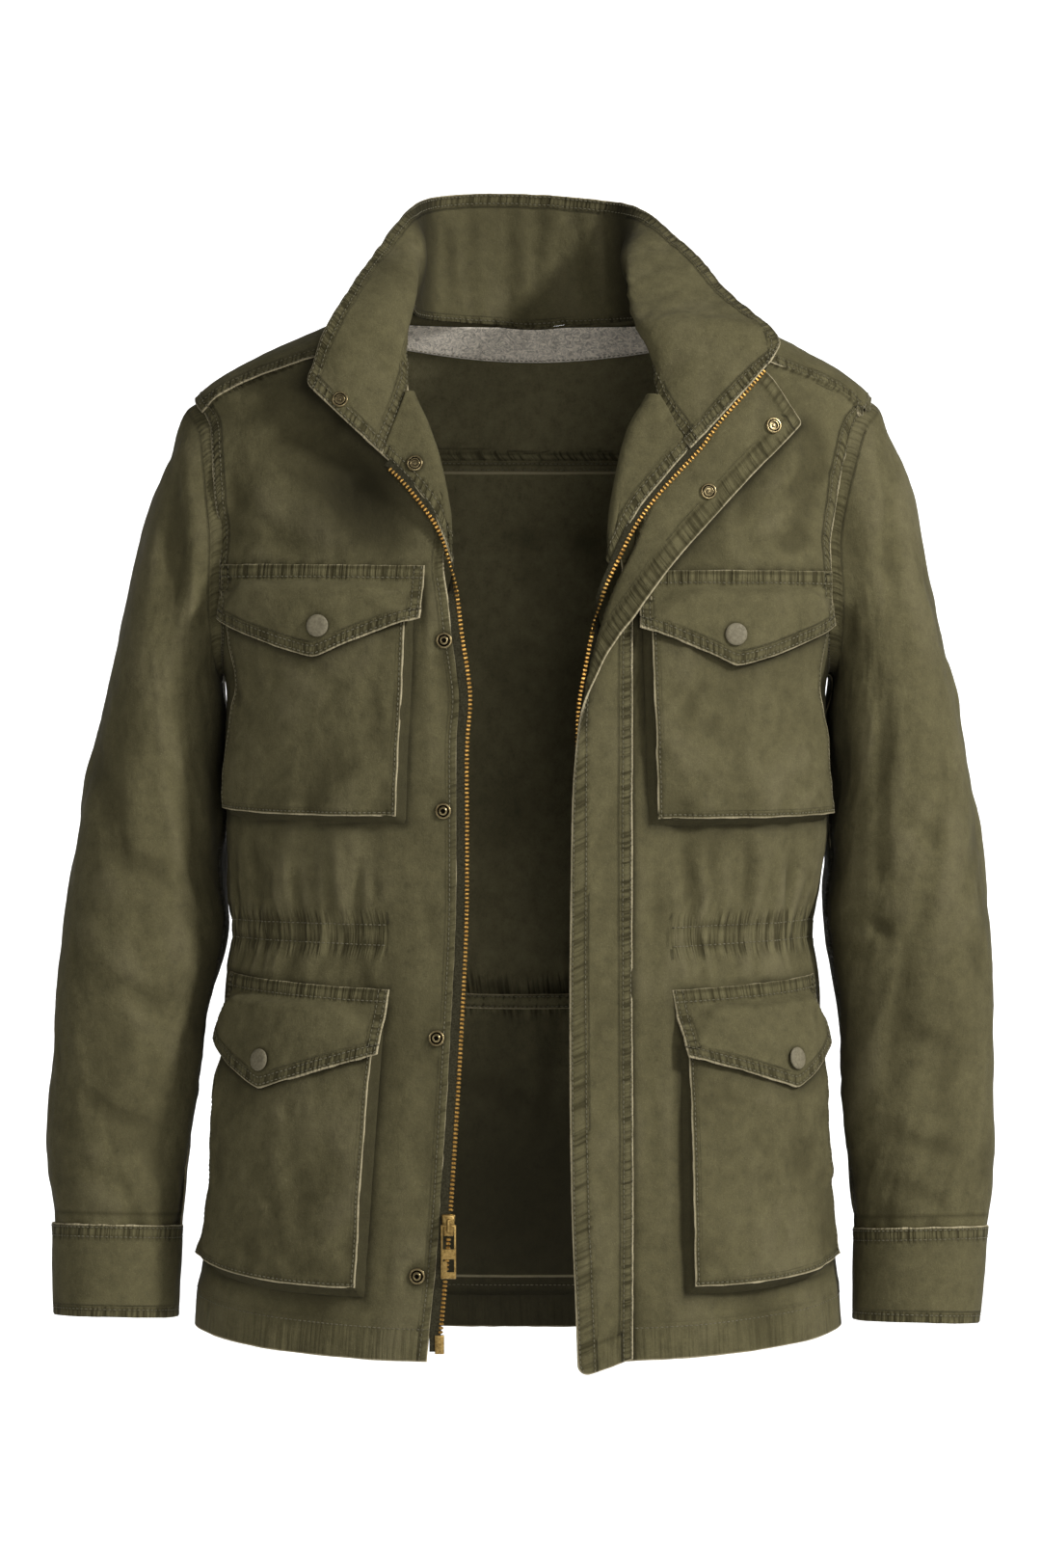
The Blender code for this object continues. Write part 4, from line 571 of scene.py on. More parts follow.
    def press(self, mask, most=0.0002):
        """Keeps the cloth low where something lies on it."""
        self.rise = mix(self.rise, np.minimum(self.rise, most), mask)

    def pucker(self, edge, offsets, height=0.35, reach=9, spacing=8.5, slant=0.0, seed=1, wear=1.0,
               where=None, ribs=1.0, valley=0.25):
        """Rows of stitches along an edge draw the cloth in; all sizes in millimetres."""
        d, s = self.distance(edge), self.course(edge)
        inside = 1.0 if where is None else where
        waves = uneven((s + slant * d) / (spacing * MM), d / (16 * MM), seed)
        strength = 0.6 + 0.4 * uneven(s / (6 * spacing * MM), 0 * s, seed + 7)
        reach_m = reach * MM
        lobe = np.exp(-np.maximum(0, d - offsets[-1] * MM) / reach_m) * smooth_step(d / (1.5 * MM) + 0.4)
        self.rise += inside * height * MM * waves * strength * lobe
        for offset in offsets:
            line = np.exp(-((d - offset * MM) / (1.1 * MM)) ** 2) * inside
            self.rise -= valley * MM * line
            self.groove = np.maximum(self.groove, line)
        edge_worn = np.exp(-d / (1.4 * MM)) * (0.88 + 0.12 * uneven(s / (9 * MM), 0 * s, seed + 3))
        self.wear = np.maximum(self.wear, wear * edge_worn * inside)
        band = ribs * inside * np.clip(1 - np.maximum(0, d - offsets[-1] * MM) / (3.5 * MM), 0, 1)
        nearer = band > self.band
        self.along = np.where(nearer, s + slant * d, self.along)
        self.band = np.maximum(self.band, band)

    def seam(self, edge, offsets, first=0.0, last=1.0, **puckers):
        """Rows of stitches along an edge, and the puckers beside them."""
        self.pucker(edge, offsets, **puckers)
        for offset in offsets:
            self.stitch(edge, offset, first, last)

    def stitch(self, edge, offset, first=0.0, last=1.0, inner=False):
        """A row of stitches at a distance in millimetres from an edge, over a share of its length."""
        d = self.distance(edge)
        beside = edge in ("start", "end")
        path = []
        for n, line in enumerate(d if beside else d.T):
            order = np.argsort(line)
            place = np.interp(offset * MM, line[order], order)
            path.append((n, place) if beside else (place, n))
        count = len(path) - 1
        path = path[int(first * count):int(math.ceil(last * count)) + 1]
        self.stitch_lines.append((np.array(path), inner))

    def stitch_path(self, rows, columns, inner=False):
        self.stitch_lines.append((np.stack([rows, columns], axis=1), inner))

    def inner_seam(self, edge, fold, stitches):
        """On the inner face: a folded edge, and a row of stitches, each at its distance from an edge."""
        d = self.distance(edge) / MM
        self.inner_wear = np.maximum(self.inner_wear, np.exp(-((d - fold) / 1.1) ** 2))
        self.stitch(edge, stitches, inner=True)

    def round_corner(self, edge_a, edge_b, radius):
        """Draws the corner between two edges in to a round one; the radius is in millimetres."""
        reach = radius * MM
        da, db = self.distance(edge_a), self.distance(edge_b)
        inside = (da < reach) & (db < reach)
        a, b = 1 - np.clip(da / reach, 0, 1), 1 - np.clip(db / reach, 0, 1)
        size = np.sqrt(a * a + b * b)
        square = np.maximum(a, b)
        shrink = np.where(size > 1e-6, square / np.maximum(size, 1e-6), 1.0)
        steps = {"start": (0, 1), "end": (0, -1), "low": (1, 0), "high": (-1, 0)}
        rows, columns = self.points.shape[:2]
        r, c = np.meshgrid(np.arange(rows), np.arange(columns), indexing="ij")
        shift = np.zeros(self.points.shape)
        for edge, near in ((edge_a, a), (edge_b, b)):
            step = steps[edge]
            ahead = self.points[np.clip(r + step[0], 0, rows - 1), np.clip(c + step[1], 0, columns - 1)]
            behind = self.points[np.clip(r - step[0], 0, rows - 1), np.clip(c - step[1], 0, columns - 1)]
            shift += unit(ahead - behind + 1e-12) * (near * (1 - shrink) * reach)[..., None]
        self.points = self.points + np.where(inside[..., None], shift, 0)

    def crease(self, creases, x=None, z=None):
        """Troughs laid between two places, with a low ridge along each side."""
        x = self.points[..., 0] if x is None else x
        z = self.points[..., 2] if z is None else z
        for c in creases:
            length = math.hypot(c.x1 - c.x0, c.z1 - c.z0)
            ax, az = (c.x1 - c.x0) / length, (c.z1 - c.z0) / length
            t = ((x - c.x0) * ax + (z - c.z0) * az) / length
            bow = c.bow * MM * 4 * t * (1 - t)
            d = (x - c.x0) * -az + (z - c.z0) * ax - bow
            wobble = uneven(t * length / 0.03, d / 0.05, int(abs(c.x0) * 1e4) + 3)
            width = c.width * MM * (1 + 0.25 * wobble)
            fade = np.where((t > 0) & (t < 1), np.sin(np.pi * np.clip(t, 0, 1)) ** 0.7, 0)
            trough = np.exp(-(d / width) ** 2)
            ridge = np.exp(-((np.abs(d) - 1.7 * width) / width) ** 2)
            self.rise -= c.depth * MM * fade * (trough - 0.45 * ridge)

    def finish(self):
        """Moves the points out by the heights gathered so far, and rounds the folded edges."""
        self.points = self.points + self.normals() * self.rise[..., None]
        self.face_normals = self.normals()
        roll = np.zeros(self.rise.shape)
        for edge in ("low", "high") if self.closed else ("start", "end", "low", "high"):
            roll = np.maximum(roll, np.clip(1 - self.distance(edge) / (EDGE_ROLL * MM), 0, 1) ** 2)
        half = self.thickness / 2
        middle = self.points if self.centred else self.points - self.face_normals * half
        step = self.face_normals * (half * (1 - EDGE_THINNING * roll))[..., None]
        self.outer, self.inner = middle + step, middle - step

    def grid_point(self, path, inner):
        """Points and outward directions at fractional rows and columns."""
        r, c = path[:, 0], path[:, 1]
        face = self.inner if inner else self.outer
        r0 = np.clip(np.floor(r).astype(int), 0, face.shape[0] - 2)
        c0 = np.clip(np.floor(c).astype(int), 0, face.shape[1] - 2)
        fr, fc = (r - r0)[:, None], (c - c0)[:, None]

        def read(grid):
            return ((grid[r0, c0] * (1 - fr) + grid[r0 + 1, c0] * fr) * (1 - fc)
                    + (grid[r0, c0 + 1] * (1 - fr) + grid[r0 + 1, c0 + 1] * fr) * fc)
        outward = unit(read(self.face_normals))
        return read(face), -outward if inner else outward

    def mesh(self):
        rows, columns = self.outer.shape[:2]
        if self.closed:
            columns -= 1
        index = np.arange(rows * columns).reshape(rows, columns)
        if self.closed:
            index = np.concatenate([index, index[:, :1]], axis=1)
        a, b, c, d = index[:-1, :-1], index[:-1, 1:], index[1:, 1:], index[1:, :-1]
        quads = np.stack([a, b, c, d], axis=-1).reshape(-1, 4)
        if self.outward < 0:
            quads = quads[:, ::-1]
        size = rows * columns
        walls = [quads, quads[:, ::-1] + size]
        rims = [(index[0, :-1], index[0, 1:]), (index[-1, 1:], index[-1, :-1])]
        if not self.closed:
            rims += [(index[1:, 0], index[:-1, 0]), (index[:-1, -1], index[1:, -1])]
        for first, second in rims:
            rim = np.stack([second, first, first + size, second + size], axis=-1)
            walls.append(rim if self.outward > 0 else rim[:, ::-1])
        faces = np.concatenate(walls)
        points = np.concatenate([side[:, :columns].reshape(-1, 3) for side in (self.outer, self.inner)])
        mesh = bpy.data.meshes.new(self.name)
        mesh.from_pydata(points.tolist(), [], faces.tolist())
        inner = {"wear": np.maximum(self.wear, self.inner_wear), "shade": self.inner_shade}
        for name in ("wear", "band", "along", "groove", "across", "up", "rise", "shade"):
            values = getattr(self, name) / (MM if name == "rise" else 1)
            both = [face[:, :columns].reshape(-1) for face in (values, inner.get(name, values))]
            both = np.concatenate(both)
            mesh.attributes.new(name, "FLOAT", "POINT").data.foreach_set("value", both.astype(np.float32))
        self.reverse_faces = slice(len(quads), 2 * len(quads))
        mesh.shade_smooth()
        return mesh


# --- Building helpers -----------------------------------------------------------------------------
def link(name, mesh, *materials):
    piece = bpy.data.objects.new(name, mesh)
    bpy.context.scene.collection.objects.link(piece)
    mesh.materials.clear()
    for material in materials:
        mesh.materials.append(material)
    return piece


def carried(piece, slot, *nodes, body=BODY):
    """Rides on a body and stands for CAD nodes; the slot is not used."""
    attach(piece, body)
    if nodes:
        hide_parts(*nodes)
    return piece


def node_points(name):
    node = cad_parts[name]
    return np.array([node.matrix_world @ v.co for v in node.data.vertices])


def joined(name, points, faces, copies):
    """One mesh of many copies of a small shape; copies are (places, three axes)."""
    places, axes = copies
    points = np.asarray(points)
    spots = np.einsum("pk,nkj->npj", points, axes) + places[:, None, :]
    shift = (np.arange(len(places)) * len(points))[:, None, None]
    mesh = bpy.data.meshes.new(name)
    kept = []
    for size in sorted({len(f) for f in faces}):
        block = np.array([f for f in faces if len(f) == size])
        kept += (block[None] + shift).reshape(-1, size).tolist()
    mesh.from_pydata(spots.reshape(-1, 3).tolist(), [], kept)
    return mesh


STITCH_PITCH = 3.4
STITCH_LENGTH = 2.5
STITCH_WIDTH = 0.85
STITCH_HEIGHT = 0.62


def stitch_shape():
    """One thread between two needle holes: a low grain, pointed at both ends."""
    points = [(-0.5, 0, -0.25)]
    for x, swell in ((-0.28, 0.85), (0.28, 0.85)):
        points += [(x, 0.5 * swell, 0), (x, 0, swell * 0.75), (x, -0.5 * swell, 0), (x, 0, -0.5)]
    points.append((0.5, 0, -0.25))
    faces = []
    for k in range(4):
        n = (k + 1) % 4
        faces.append((0, 1 + k, 1 + n))
        faces.append((1 + k, 5 + k, 5 + n, 1 + n))
        faces.append((9, 5 + n, 5 + k))
    scale = np.array([STITCH_LENGTH, STITCH_WIDTH, STITCH_HEIGHT]) * MM
    return np.array(points) * scale, faces


def resampled(points, directions, pitch):
    steps = np.linalg.norm(np.diff(points, axis=0), axis=1)
    length = np.concatenate([[0], np.cumsum(steps)])
    count = int(length[-1] / pitch)
    if count < 1:
        return None
    at = (np.arange(count) + 0.5) * length[-1] / count

    def read(values, where):
        return np.stack([np.interp(where, length, values[:, k]) for k in range(3)], axis=1)
    ahead = read(points, np.minimum(at + 0.6 * MM, length[-1])) - read(points, np.maximum(at - 0.6 * MM, 0))
    up = unit(read(directions, at))
    along = unit(ahead)
    side = unit(np.cross(up, along))
    return read(points, at), np.stack([along, side, np.cross(along, side)], axis=1)


def sew(cloth):
    """The stitches of one piece, as one mesh."""
    places, axes = [], []
    for path, inner in cloth.stitch_lines:
        points, directions = cloth.grid_point(path, inner)
        laid = resampled(points, directions, STITCH_PITCH * MM)
        if laid:
            places.append(laid[0] + laid[1][:, 2] * 0.12 * MM)
            axes.append(laid[1])
    if places:
        shape, faces = stitch_shape()
        copies = np.concatenate(places), np.concatenate(axes)
        mesh = joined(cloth.name + "_stitches", shape, faces, copies)
        mesh.shade_smooth()
        carried(link(cloth.name + "_stitches", mesh, MATERIALS["thread"]), "shell_cloth")


def make(cloth, flat, area, held="hung"):
    """Turns a cut piece into a mesh, with its stitches; its flat size is not used."""
    cloth.finish()
    piece = link(cloth.name + "_cloth", cloth.mesh(), MATERIALS[cloth.material], MATERIALS[cloth.reverse])
    for face in piece.data.polygons[cloth.reverse_faces]:
        face.material_index = 1
    carried(piece, cloth.slot, cloth.node)
    sew(cloth)


# --- Surfaces of the cut pieces -------------------------------------------------------------------
def away_from(x, y, z):
    return lambda points: points - np.array([x, y, z])


def facing(x, y, z):
    return lambda points: np.array([x, y, z]) + 0 * points


def panel_heights(v, last_row):
    row = v * last_row
    steps = np.arange(len(PANEL_INNER_Z))
    return row, np.interp(row, steps, PANEL_INNER_Z), np.interp(row, steps, PANEL_SIDE_Z)


def front_surface(side):
    def surface(u, v):
        row, inner_z, outer_z = panel_heights(v, len(PANEL_INNER_Z) - 1)
        inner_theta = theta_at(FRONT_EDGE[side].at(inner_z).x, inner_z)
        theta = mix(side_theta(side, outer_z, False), inner_theta, u)
        z = mix(outer_z, inner_z, u)
        hem_shift = hem_z(theta) - mix(PANEL_SIDE_Z[0], PANEL_INNER_Z[0], u)
        return form_point(theta, z + np.clip(1 - row, 0, 1) * hem_shift)
    return surface


def back_surface(u, v):
    row, _, outer_z = panel_heights(v, BACK_TOP_ROW)
    last = np.clip(row - BACK_TOP_ROW + 1, 0, 1)
    outer_z = outer_z + last * (BACK_YOKE_Z - PANEL_SIDE_Z[BACK_TOP_ROW])
    theta = mix(side_theta("left", outer_z, True), side_theta("right", outer_z, True), u)
    low = PANEL_SIDE_Z[0] + waist_shift(theta, PANEL_SIDE_Z[0])
    z = outer_z + waist_shift(theta, outer_z) + np.clip(1 - row, 0, 1) * (hem_z(theta) - low)
    return form_point(theta, z)


def neck_plan(angle):
    return (NECK_CENTRE_X - NECK_HALF_WIDTH * np.cos(np.radians(angle)),
            NECK_BACK_Y * np.sin(np.radians(angle)))


def seam_plan(side, t):
    """The seam between a front and the yoke in the plan, from the neck to the armhole."""
    inner_z, outer_z = PANEL_INNER_Z[-1], PANEL_SIDE_Z[-1]
    inner_theta = theta_at(FRONT_EDGE[side].at(inner_z).x, inner_z)
    place = form_point(mix(inner_theta, side_theta(side, outer_z, False), t), mix(inner_z, outer_z, t))
    return place[..., 0], place[..., 1] - YOKE_LAP


YOKE_LAP = 0.0022
YOKE_CORNER = 42


def yoke_surface(u, v):
    """u runs from the right front's seam round the back to the left front's, v from the neck outwards."""
    column = 40 * u
    points = None
    for side, sign in SIDES.items():
        t = np.clip((column if side == "right" else 40 - column) / 8, 0, 1)
        front_phi, back_phi = armhole_phi(PANEL_SIDE_Z[-1]), -armhole_phi(BACK_YOKE_Z)
        outer = armhole_point(side, mix(front_phi, back_phi, t) % 360)
        first_x, first_y = seam_plan(side, 0 * t)
        last_x, last_y = seam_plan(side, 0 * t + 1)
        seam_x, seam_y = seam_plan(side, v + 0 * t)
        side_x = NECK_CENTRE_X + sign * NECK_HALF_WIDTH
        angle = mix(0, YOKE_CORNER, 2 * t - 1)
        round_x, round_y = neck_plan(angle if side == "right" else 180 - angle)
        neck_x = np.where(t < 0.5, mix(first_x, side_x, 2 * t), round_x)
        neck_y = np.where(t < 0.5, mix(first_y, 0, 2 * t), round_y)
        pull = (1 - t) ** 2
        x = mix(neck_x, outer[..., 0], v) + pull * (seam_x - mix(first_x, last_x, v))
        y = mix(neck_y, outer[..., 1], v) + pull * (seam_y - mix(first_y, last_y, v))
        if points is None:
            points = stack(x, y, 0)
        here = column < 8 if side == "right" else column > 32
        points[here] = stack(x, y, 0)[here]
    t = np.clip((column - 8) / 24, 0, 1)
    start, end = (side_theta(side, BACK_YOKE_Z, True) for side in ("right", "left"))
    neck_x, neck_y = neck_plan(mix(YOKE_CORNER, 180 - YOKE_CORNER, t))
    edge = form_point(mix(start, end, t), BACK_YOKE_Z - 0.0015)
    middle = (column >= 8) & (column <= 32)
    points[middle] = stack(mix(neck_x, edge[..., 0], v), mix(neck_y, edge[..., 1], v), 0)[middle]
    return plan_point(points[..., 0], points[..., 1])


def crease_height(row, phi):
    total = 0.0
    for crease in SLEEVE_CREASES:
        along = (row - crease.row) / crease.reach_row
        turn = ((phi - crease.phi + 180) % 360 - 180) / crease.reach_phi
        total = total + crease.height * np.exp(-along ** 2 - turn ** 2)
    return total


def sleeve_ring(side, row, phi, lift=0.0):
    """A point of a sleeve: phi 0 on the outer side, 90 in front, 180 next to the body."""
    size, depth = SLEEVE[side].at(row), SLEEVE_DEPTH.at(row)
    outer = stack(size.outer_x, depth.middle_y, size.outer_z)
    inner = stack(size.inner_x, depth.middle_y, size.inner_z)
    c, s = np.cos(np.radians(phi)), np.sin(np.radians(phi))
    offset = ((outer - inner) / 2 * signed_power(c, 2 / SLEEVE_SQUARE)[..., None]
              - stack(0, depth.half_depth * signed_power(s, 2 / SLEEVE_SQUARE), 0)
              + stack(0, 0, depth.tilt * s))
    grow = (lift + crease_height(row, phi)) / np.linalg.norm(offset, axis=-1)
    return (outer + inner) / 2 + offset * (1 + grow)[..., None]


def sleeve_surface(side, first_phi, last_phi, lift=0.0, first_row=0.0, last_row=SLEEVE_LAST_ROW):
    """The head is tucked under the edge of the armhole; v runs down the arm."""
    sign = SIDES[side]

    def surface(u, v):
        row = mix(first_row, last_row, v)
        phi = mix(first_phi, last_phi, u)
        lower = sleeve_ring(side, np.maximum(row, 1), phi, lift)
        if first_row >= 1:
            return lower
        over = np.maximum(0, np.cos(np.radians(phi)))
        head = armhole_point(side, phi % 360, -0.0024) - stack(0, 0, 0.0012 * over)
        first = sleeve_ring(side, np.ones_like(row), phi)
        slope = (sleeve_ring(side, np.full_like(row, 1.25), phi) - first) / 0.25
        start = first - head + stack(sign * 0.022 * over, 0, 0.004 * over)
        t = np.clip(row, 0, 1)[..., None]
        return np.where(row[..., None] < 1, hermite(head, start, first, slope, t), lower)
    return surface


def curve_through(start, middle, end, t):
    first = np.linalg.norm(middle - start, axis=-1)
    bend = (first / (first + np.linalg.norm(end - middle, axis=-1)))[..., None]
    t = np.asarray(t)[..., None]
    return (start * (1 - t) * (bend - t) / bend
            + middle * t * (1 - t) / (bend * (1 - bend))
            + end * t * (t - bend) / (1 - bend))


COLLAR_FOOT = 0.0004


def collar_surface(u, v):
    row = 16 * u
    size = COLLAR.at(row)
    seam = stack(size.seam_x, size.seam_y, size.seam_z)
    on_yoke = smooth_step((row - 2.0) / 1.0) * smooth_step((14.0 - row) / 1.0)
    foot = form_height(size.seam_x, size.seam_y) + COLLAR_FOOT
    inside_neck = smooth_step((row - 4.0) / 1.5) * smooth_step((12.0 - row) / 1.5)
    foot = mix(foot, np.minimum(foot, COLLAR_SEAM_Z), inside_neck)
    seam[..., 2] = mix(seam[..., 2], foot, on_yoke)
    middle = np.array([NECK_CENTRE_X, 0.0])
    seam[..., :2] = mix(seam[..., :2], middle, (0.035 * inside_neck)[..., None])
    turn = stack(size.turn_x, size.turn_y, size.turn_z)
    top = stack(size.top_x, size.top_y, size.top_z)
    return curve_through(seam, turn, top, v)


LAPEL_TURN = 0.16       # share of a lapel's width that is the roll itself


def lapel_surface(side):
    """From the panel's own edge round the roll line and out to the edge beside the zip."""
    table = LAPEL[side]
    sign = SIDES[side]

    def surface(u, v):
        size = table.at(u * table.keys[-1])
        a = np.clip(v / LAPEL_TURN, 0, 1)
        t = np.clip((v - LAPEL_TURN) / (1 - LAPEL_TURN), 0, 1)
        radius = size.lift * 0.46
        start_x = FRONT_EDGE[side].at(size.roll_z).x
        x = mix(mix(start_x, size.roll_x, a), size.edge_x, t) - sign * radius * np.sin(np.pi * a) * 1.1
        z = mix(size.roll_z, size.edge_z, t)
        lift = radius * (1 - np.cos(np.pi * a)) + size.lift * 0.08 * t
        return front_point(x, z, lift)
    return surface


def storm_flap_surface(u, v):
    """u runs from the sewn edge over the fold to the free edge, v from the neck to the hem."""
    size = STORM_FLAP.at(v * 23)
    a = front_point(size.a_x, size.a_z, size.a_lift - 0.0019)
    b = front_point(size.b_x, size.b_z, size.b_lift)
    c = front_point(size.c_x, size.c_z, size.c_lift)

    def bent(s):
        s = np.asarray(s)[..., None]
        return np.where(s < 0.5, mix(a, b, 2 * s), mix(b, c, 2 * s - 1))
    soft = np.minimum(0.09, np.minimum(u, 1 - u))
    return (bent(u - soft) + 2 * bent(u) + bent(u + soft)) / 4


# --- Pockets --------------------------------------------------------------------------------------
BAG_WALL_SHARE = 0.03
BAG_FOOT_SHARE = 0.035
BAG_MOUTH_SIDE_SHARE = 0.12
FLAP_SIDE_EASE = 0.026


def pocket_theta(pocket, inner_x, s, z):
    t = (z - pocket.top_outer) / (pocket.bag_outer - pocket.top_outer)
    outer = mix(pocket.angle_top, pocket.angle_low, t)
    if pocket.side == "left":
        outer = 180 - outer
    return mix(theta_at(inner_x, z), outer, s)


def bag_lift(pocket, s, t):
    side_wall = np.minimum(1.0, np.minimum(s, 1 - s) / BAG_WALL_SHARE)
    across = (1 - BAG_CROWN) * side_wall + 1.4 * BAG_CROWN * np.sin(np.pi * np.clip(s, 0, 1))
    rise = np.minimum(1.0, t / BAG_FOOT_SHARE)
    beside = smooth_step((np.abs(2 * s - 1) - 0.6) / 0.4)
    mouth = mix(BAG_MOUTH_SHARE, BAG_MOUTH_SIDE_SHARE, beside)
    closing = mix(1.0, mouth, (t - BAG_FULL_SHARE) / (1 - BAG_FULL_SHARE))
    rise = np.where(t > BAG_FULL_SHARE, closing, rise)
    return LAY + CLOTH + pocket.depth * np.maximum(0.0, across) * rise


def bag_height(pocket, s, t):
    bottom = mix(pocket.bag_inner, pocket.bag_outer, s ** 2)
    return mix(bottom, mix(pocket.top_inner, pocket.top_outer, s) - BAG_MOUTH_DROP, t)


def bag_point(pocket, s, t, lift):
    z = bag_height(pocket, s, t)
    theta = pocket_theta(pocket, mix(pocket.bag_low_x, pocket.bag_top_x, t), s, z)
    return form_point(theta, z, lift)


def bag_face(pocket):
    def surface(u, v):
        s = mix(BAG_WALL_SHARE, 1 - BAG_WALL_SHARE, u)
        t = mix(BAG_FOOT_SHARE, 1.0, v)
        return bag_point(pocket, s, t, bag_lift(pocket, s, t))
    return surface


def gusset(pocket):
    """The strip round three sides: u runs down the inner side, along the bottom and up the outer side."""
    def surface(u, v):
        leg = 3 * u
        s = np.where(leg < 1, 0, np.where(leg > 2, 1, leg - 1))
        t = np.where(leg < 1, 1 - leg, np.where(leg > 2, leg - 2, 0))
        face_s = mix(BAG_WALL_SHARE, 1 - BAG_WALL_SHARE, s)
        face_t = mix(BAG_FOOT_SHARE, 1.0, t)
        low = bag_point(pocket, s, t, -0.0003)
        high = bag_point(pocket, face_s, face_t, bag_lift(pocket, face_s, face_t) - 0.0023)
        middle = mix(s, 0.5, 0.012), mix(t, 0.5, 0.014 * (leg > 1) * (leg < 2))
        inward = bag_point(pocket, mix(face_s, 0.5, 0.03), np.maximum(face_t, middle[1]), LAY + CLOTH)
        fold = 0.3 * np.sin(np.pi * v)[..., None]
        return mix(mix(low, high, v[..., None]), inward, fold)
    return surface


def flap_lift(pocket, s, z):
    inside = np.clip(s, 0.12, 0.88)
    bottom, mouth = bag_height(pocket, inside, 0), bag_height(pocket, inside, 1)
    t = (z - bottom) / (mouth - bottom)
    over_bag = bag_lift(pocket, inside, np.minimum(t, 1.0)) + FLAP_CLEARANCE - 0.0012
    band_end = mouth + BAG_MOUTH_DROP - FLAP_BAND
    beside = smooth_step((np.abs(2 * s - 1) - 0.6) / 0.4)
    ease = smooth_step((band_end - z) / (BAG_MOUTH_DROP - FLAP_BAND + FLAP_SIDE_EASE * beside))
    return mix(-0.0004, over_bag, ease) + DOUBLE


def flap_surface(pocket):
    """u runs across, v from the top edge down to the pointed edge."""
    def surface(u, v):
        tip = pocket.tip_share
        s = np.where(u < 0.5, 2 * tip * u, 1 - 2 * (1 - tip) * (1 - u))
        top = mix(pocket.top_inner, pocket.top_outer, s)
        corner = np.where(u < 0.5, pocket.corner_inner, pocket.corner_outer)
        point = np.sqrt((2 * u - 1) ** 2 + 0.0016)
        z = mix(top, mix(corner, pocket.tip, 1 - np.minimum(1.0, point)), v)
        theta = pocket_theta(pocket, mix(pocket.flap_top_x, pocket.flap_low_x, v), s, z)
        return form_point(theta, z, flap_lift(pocket, s, z))
    return surface


# --- Tapes and facing -----------------------------------------------------------------------------
ZIP_TAPE_TURN = {"right": (-0.172, -0.208), "left": (-0.2, -0.235)}     # where it swings round
TAPE_LOW_Z = -0.724
TEETH_LOW_Z = -0.712
COLLAR_SEAM_Z = 0.0015          # of the collar's seam inside the neck
NECK_FACING_ANGLE = 24          # of its ends round the neck, from the side
NECK_FACING_MIDDLE_Z = -0.0225
NECK_FACING_END_Z = -0.009
ZIP_TAPE_REACH = {                  # towards the cloth, at four heights
    "right": ((-0.208, -0.172, -0.15, -0.13), (0.007, 0.003, 0.0042, 0.006)),
    "left": ((-0.235, -0.2, -0.165, -0.14), (0.0075, 0.0035, 0.005, 0.0085))}


def teeth_frame(side, z, out=0.0):
    """The line of the teeth: place, direction along it and direction across it away from the cloth."""
    size, ahead = TEETH[side].at(z), TEETH[side].at(z - 0.004)
    along = unit(stack(ahead.x - size.x, 0, -0.004))
    to_neck = stack(-along[..., 2], 0, along[..., 0]) * -SIDES[side]
    start, end = ZIP_TAPE_TURN[side]
    turn = (math.pi * np.clip((start - z) / (start - end), 0, 1))[..., None]
    to_cloth = to_neck * np.cos(turn) + np.array([0, 1, 0]) * np.sin(turn)
    return front_point(size.x, z, size.lift + out), along, -to_cloth


def tape_surface(side):
    """Above the turn it reaches under the lapel, below it under the edge of the front."""
    low, high = TAPE_LOW_Z, TEETH[side].keys[-1]

    def surface(u, v):
        z = mix(low, high, v)
        place, _, across = teeth_frame(side, z)
        reach = np.interp(z, *ZIP_TAPE_REACH[side])
        return place + across * mix(-reach, 0.001, u)[..., None]
    return surface


def neck_facing_surface(u, v):
    """It hangs inside the yoke from the collar seam; v runs down to its curved lower edge."""
    neck_x, neck_y = neck_plan(mix(NECK_FACING_ANGLE, 180 - NECK_FACING_ANGLE, u))
    target = mix(COLLAR_SEAM_Z, mix(NECK_FACING_END_Z, NECK_FACING_MIDDLE_Z, np.sin(np.pi * u) ** 1.2), v)
    out = unit(stack(neck_x - NECK_CENTRE_X, neck_y, 0))
    near, far = np.zeros(u.shape), np.full(u.shape, 0.05)
    for _ in range(24):
        middle = (near + far) / 2
        above = form_height(neck_x + out[..., 0] * middle, neck_y + out[..., 1] * middle) > target
        near, far = np.where(above, middle, near), np.where(above, far, middle)
    place = plan_point(neck_x + out[..., 0] * near, neck_y + out[..., 1] * near)
    return place - form_normal(place[..., 0], place[..., 1], place[..., 2]) * (CLOTH + TAPE + 0.0006)


def waist_tape_surface(u, v):
    start, end = theta_at(-0.093, WAIST_Z), theta_at(0.103, WAIST_Z)
    theta = mix(start, end - 360, u) % 360
    z = WAIST_Z + 0.011 * (v - 0.5) + waist_shift(theta, WAIST_Z)
    return form_point(theta, z, -(CLOTH + TAPE + 0.0024))


# --- Finishes -------------------------------------------------------------------------------------
RIB_PITCH = 0.003      # about half the distance between two ribs beside a row of stitches
TAPE_RIB = 0.0011       # of the zip tape's weave


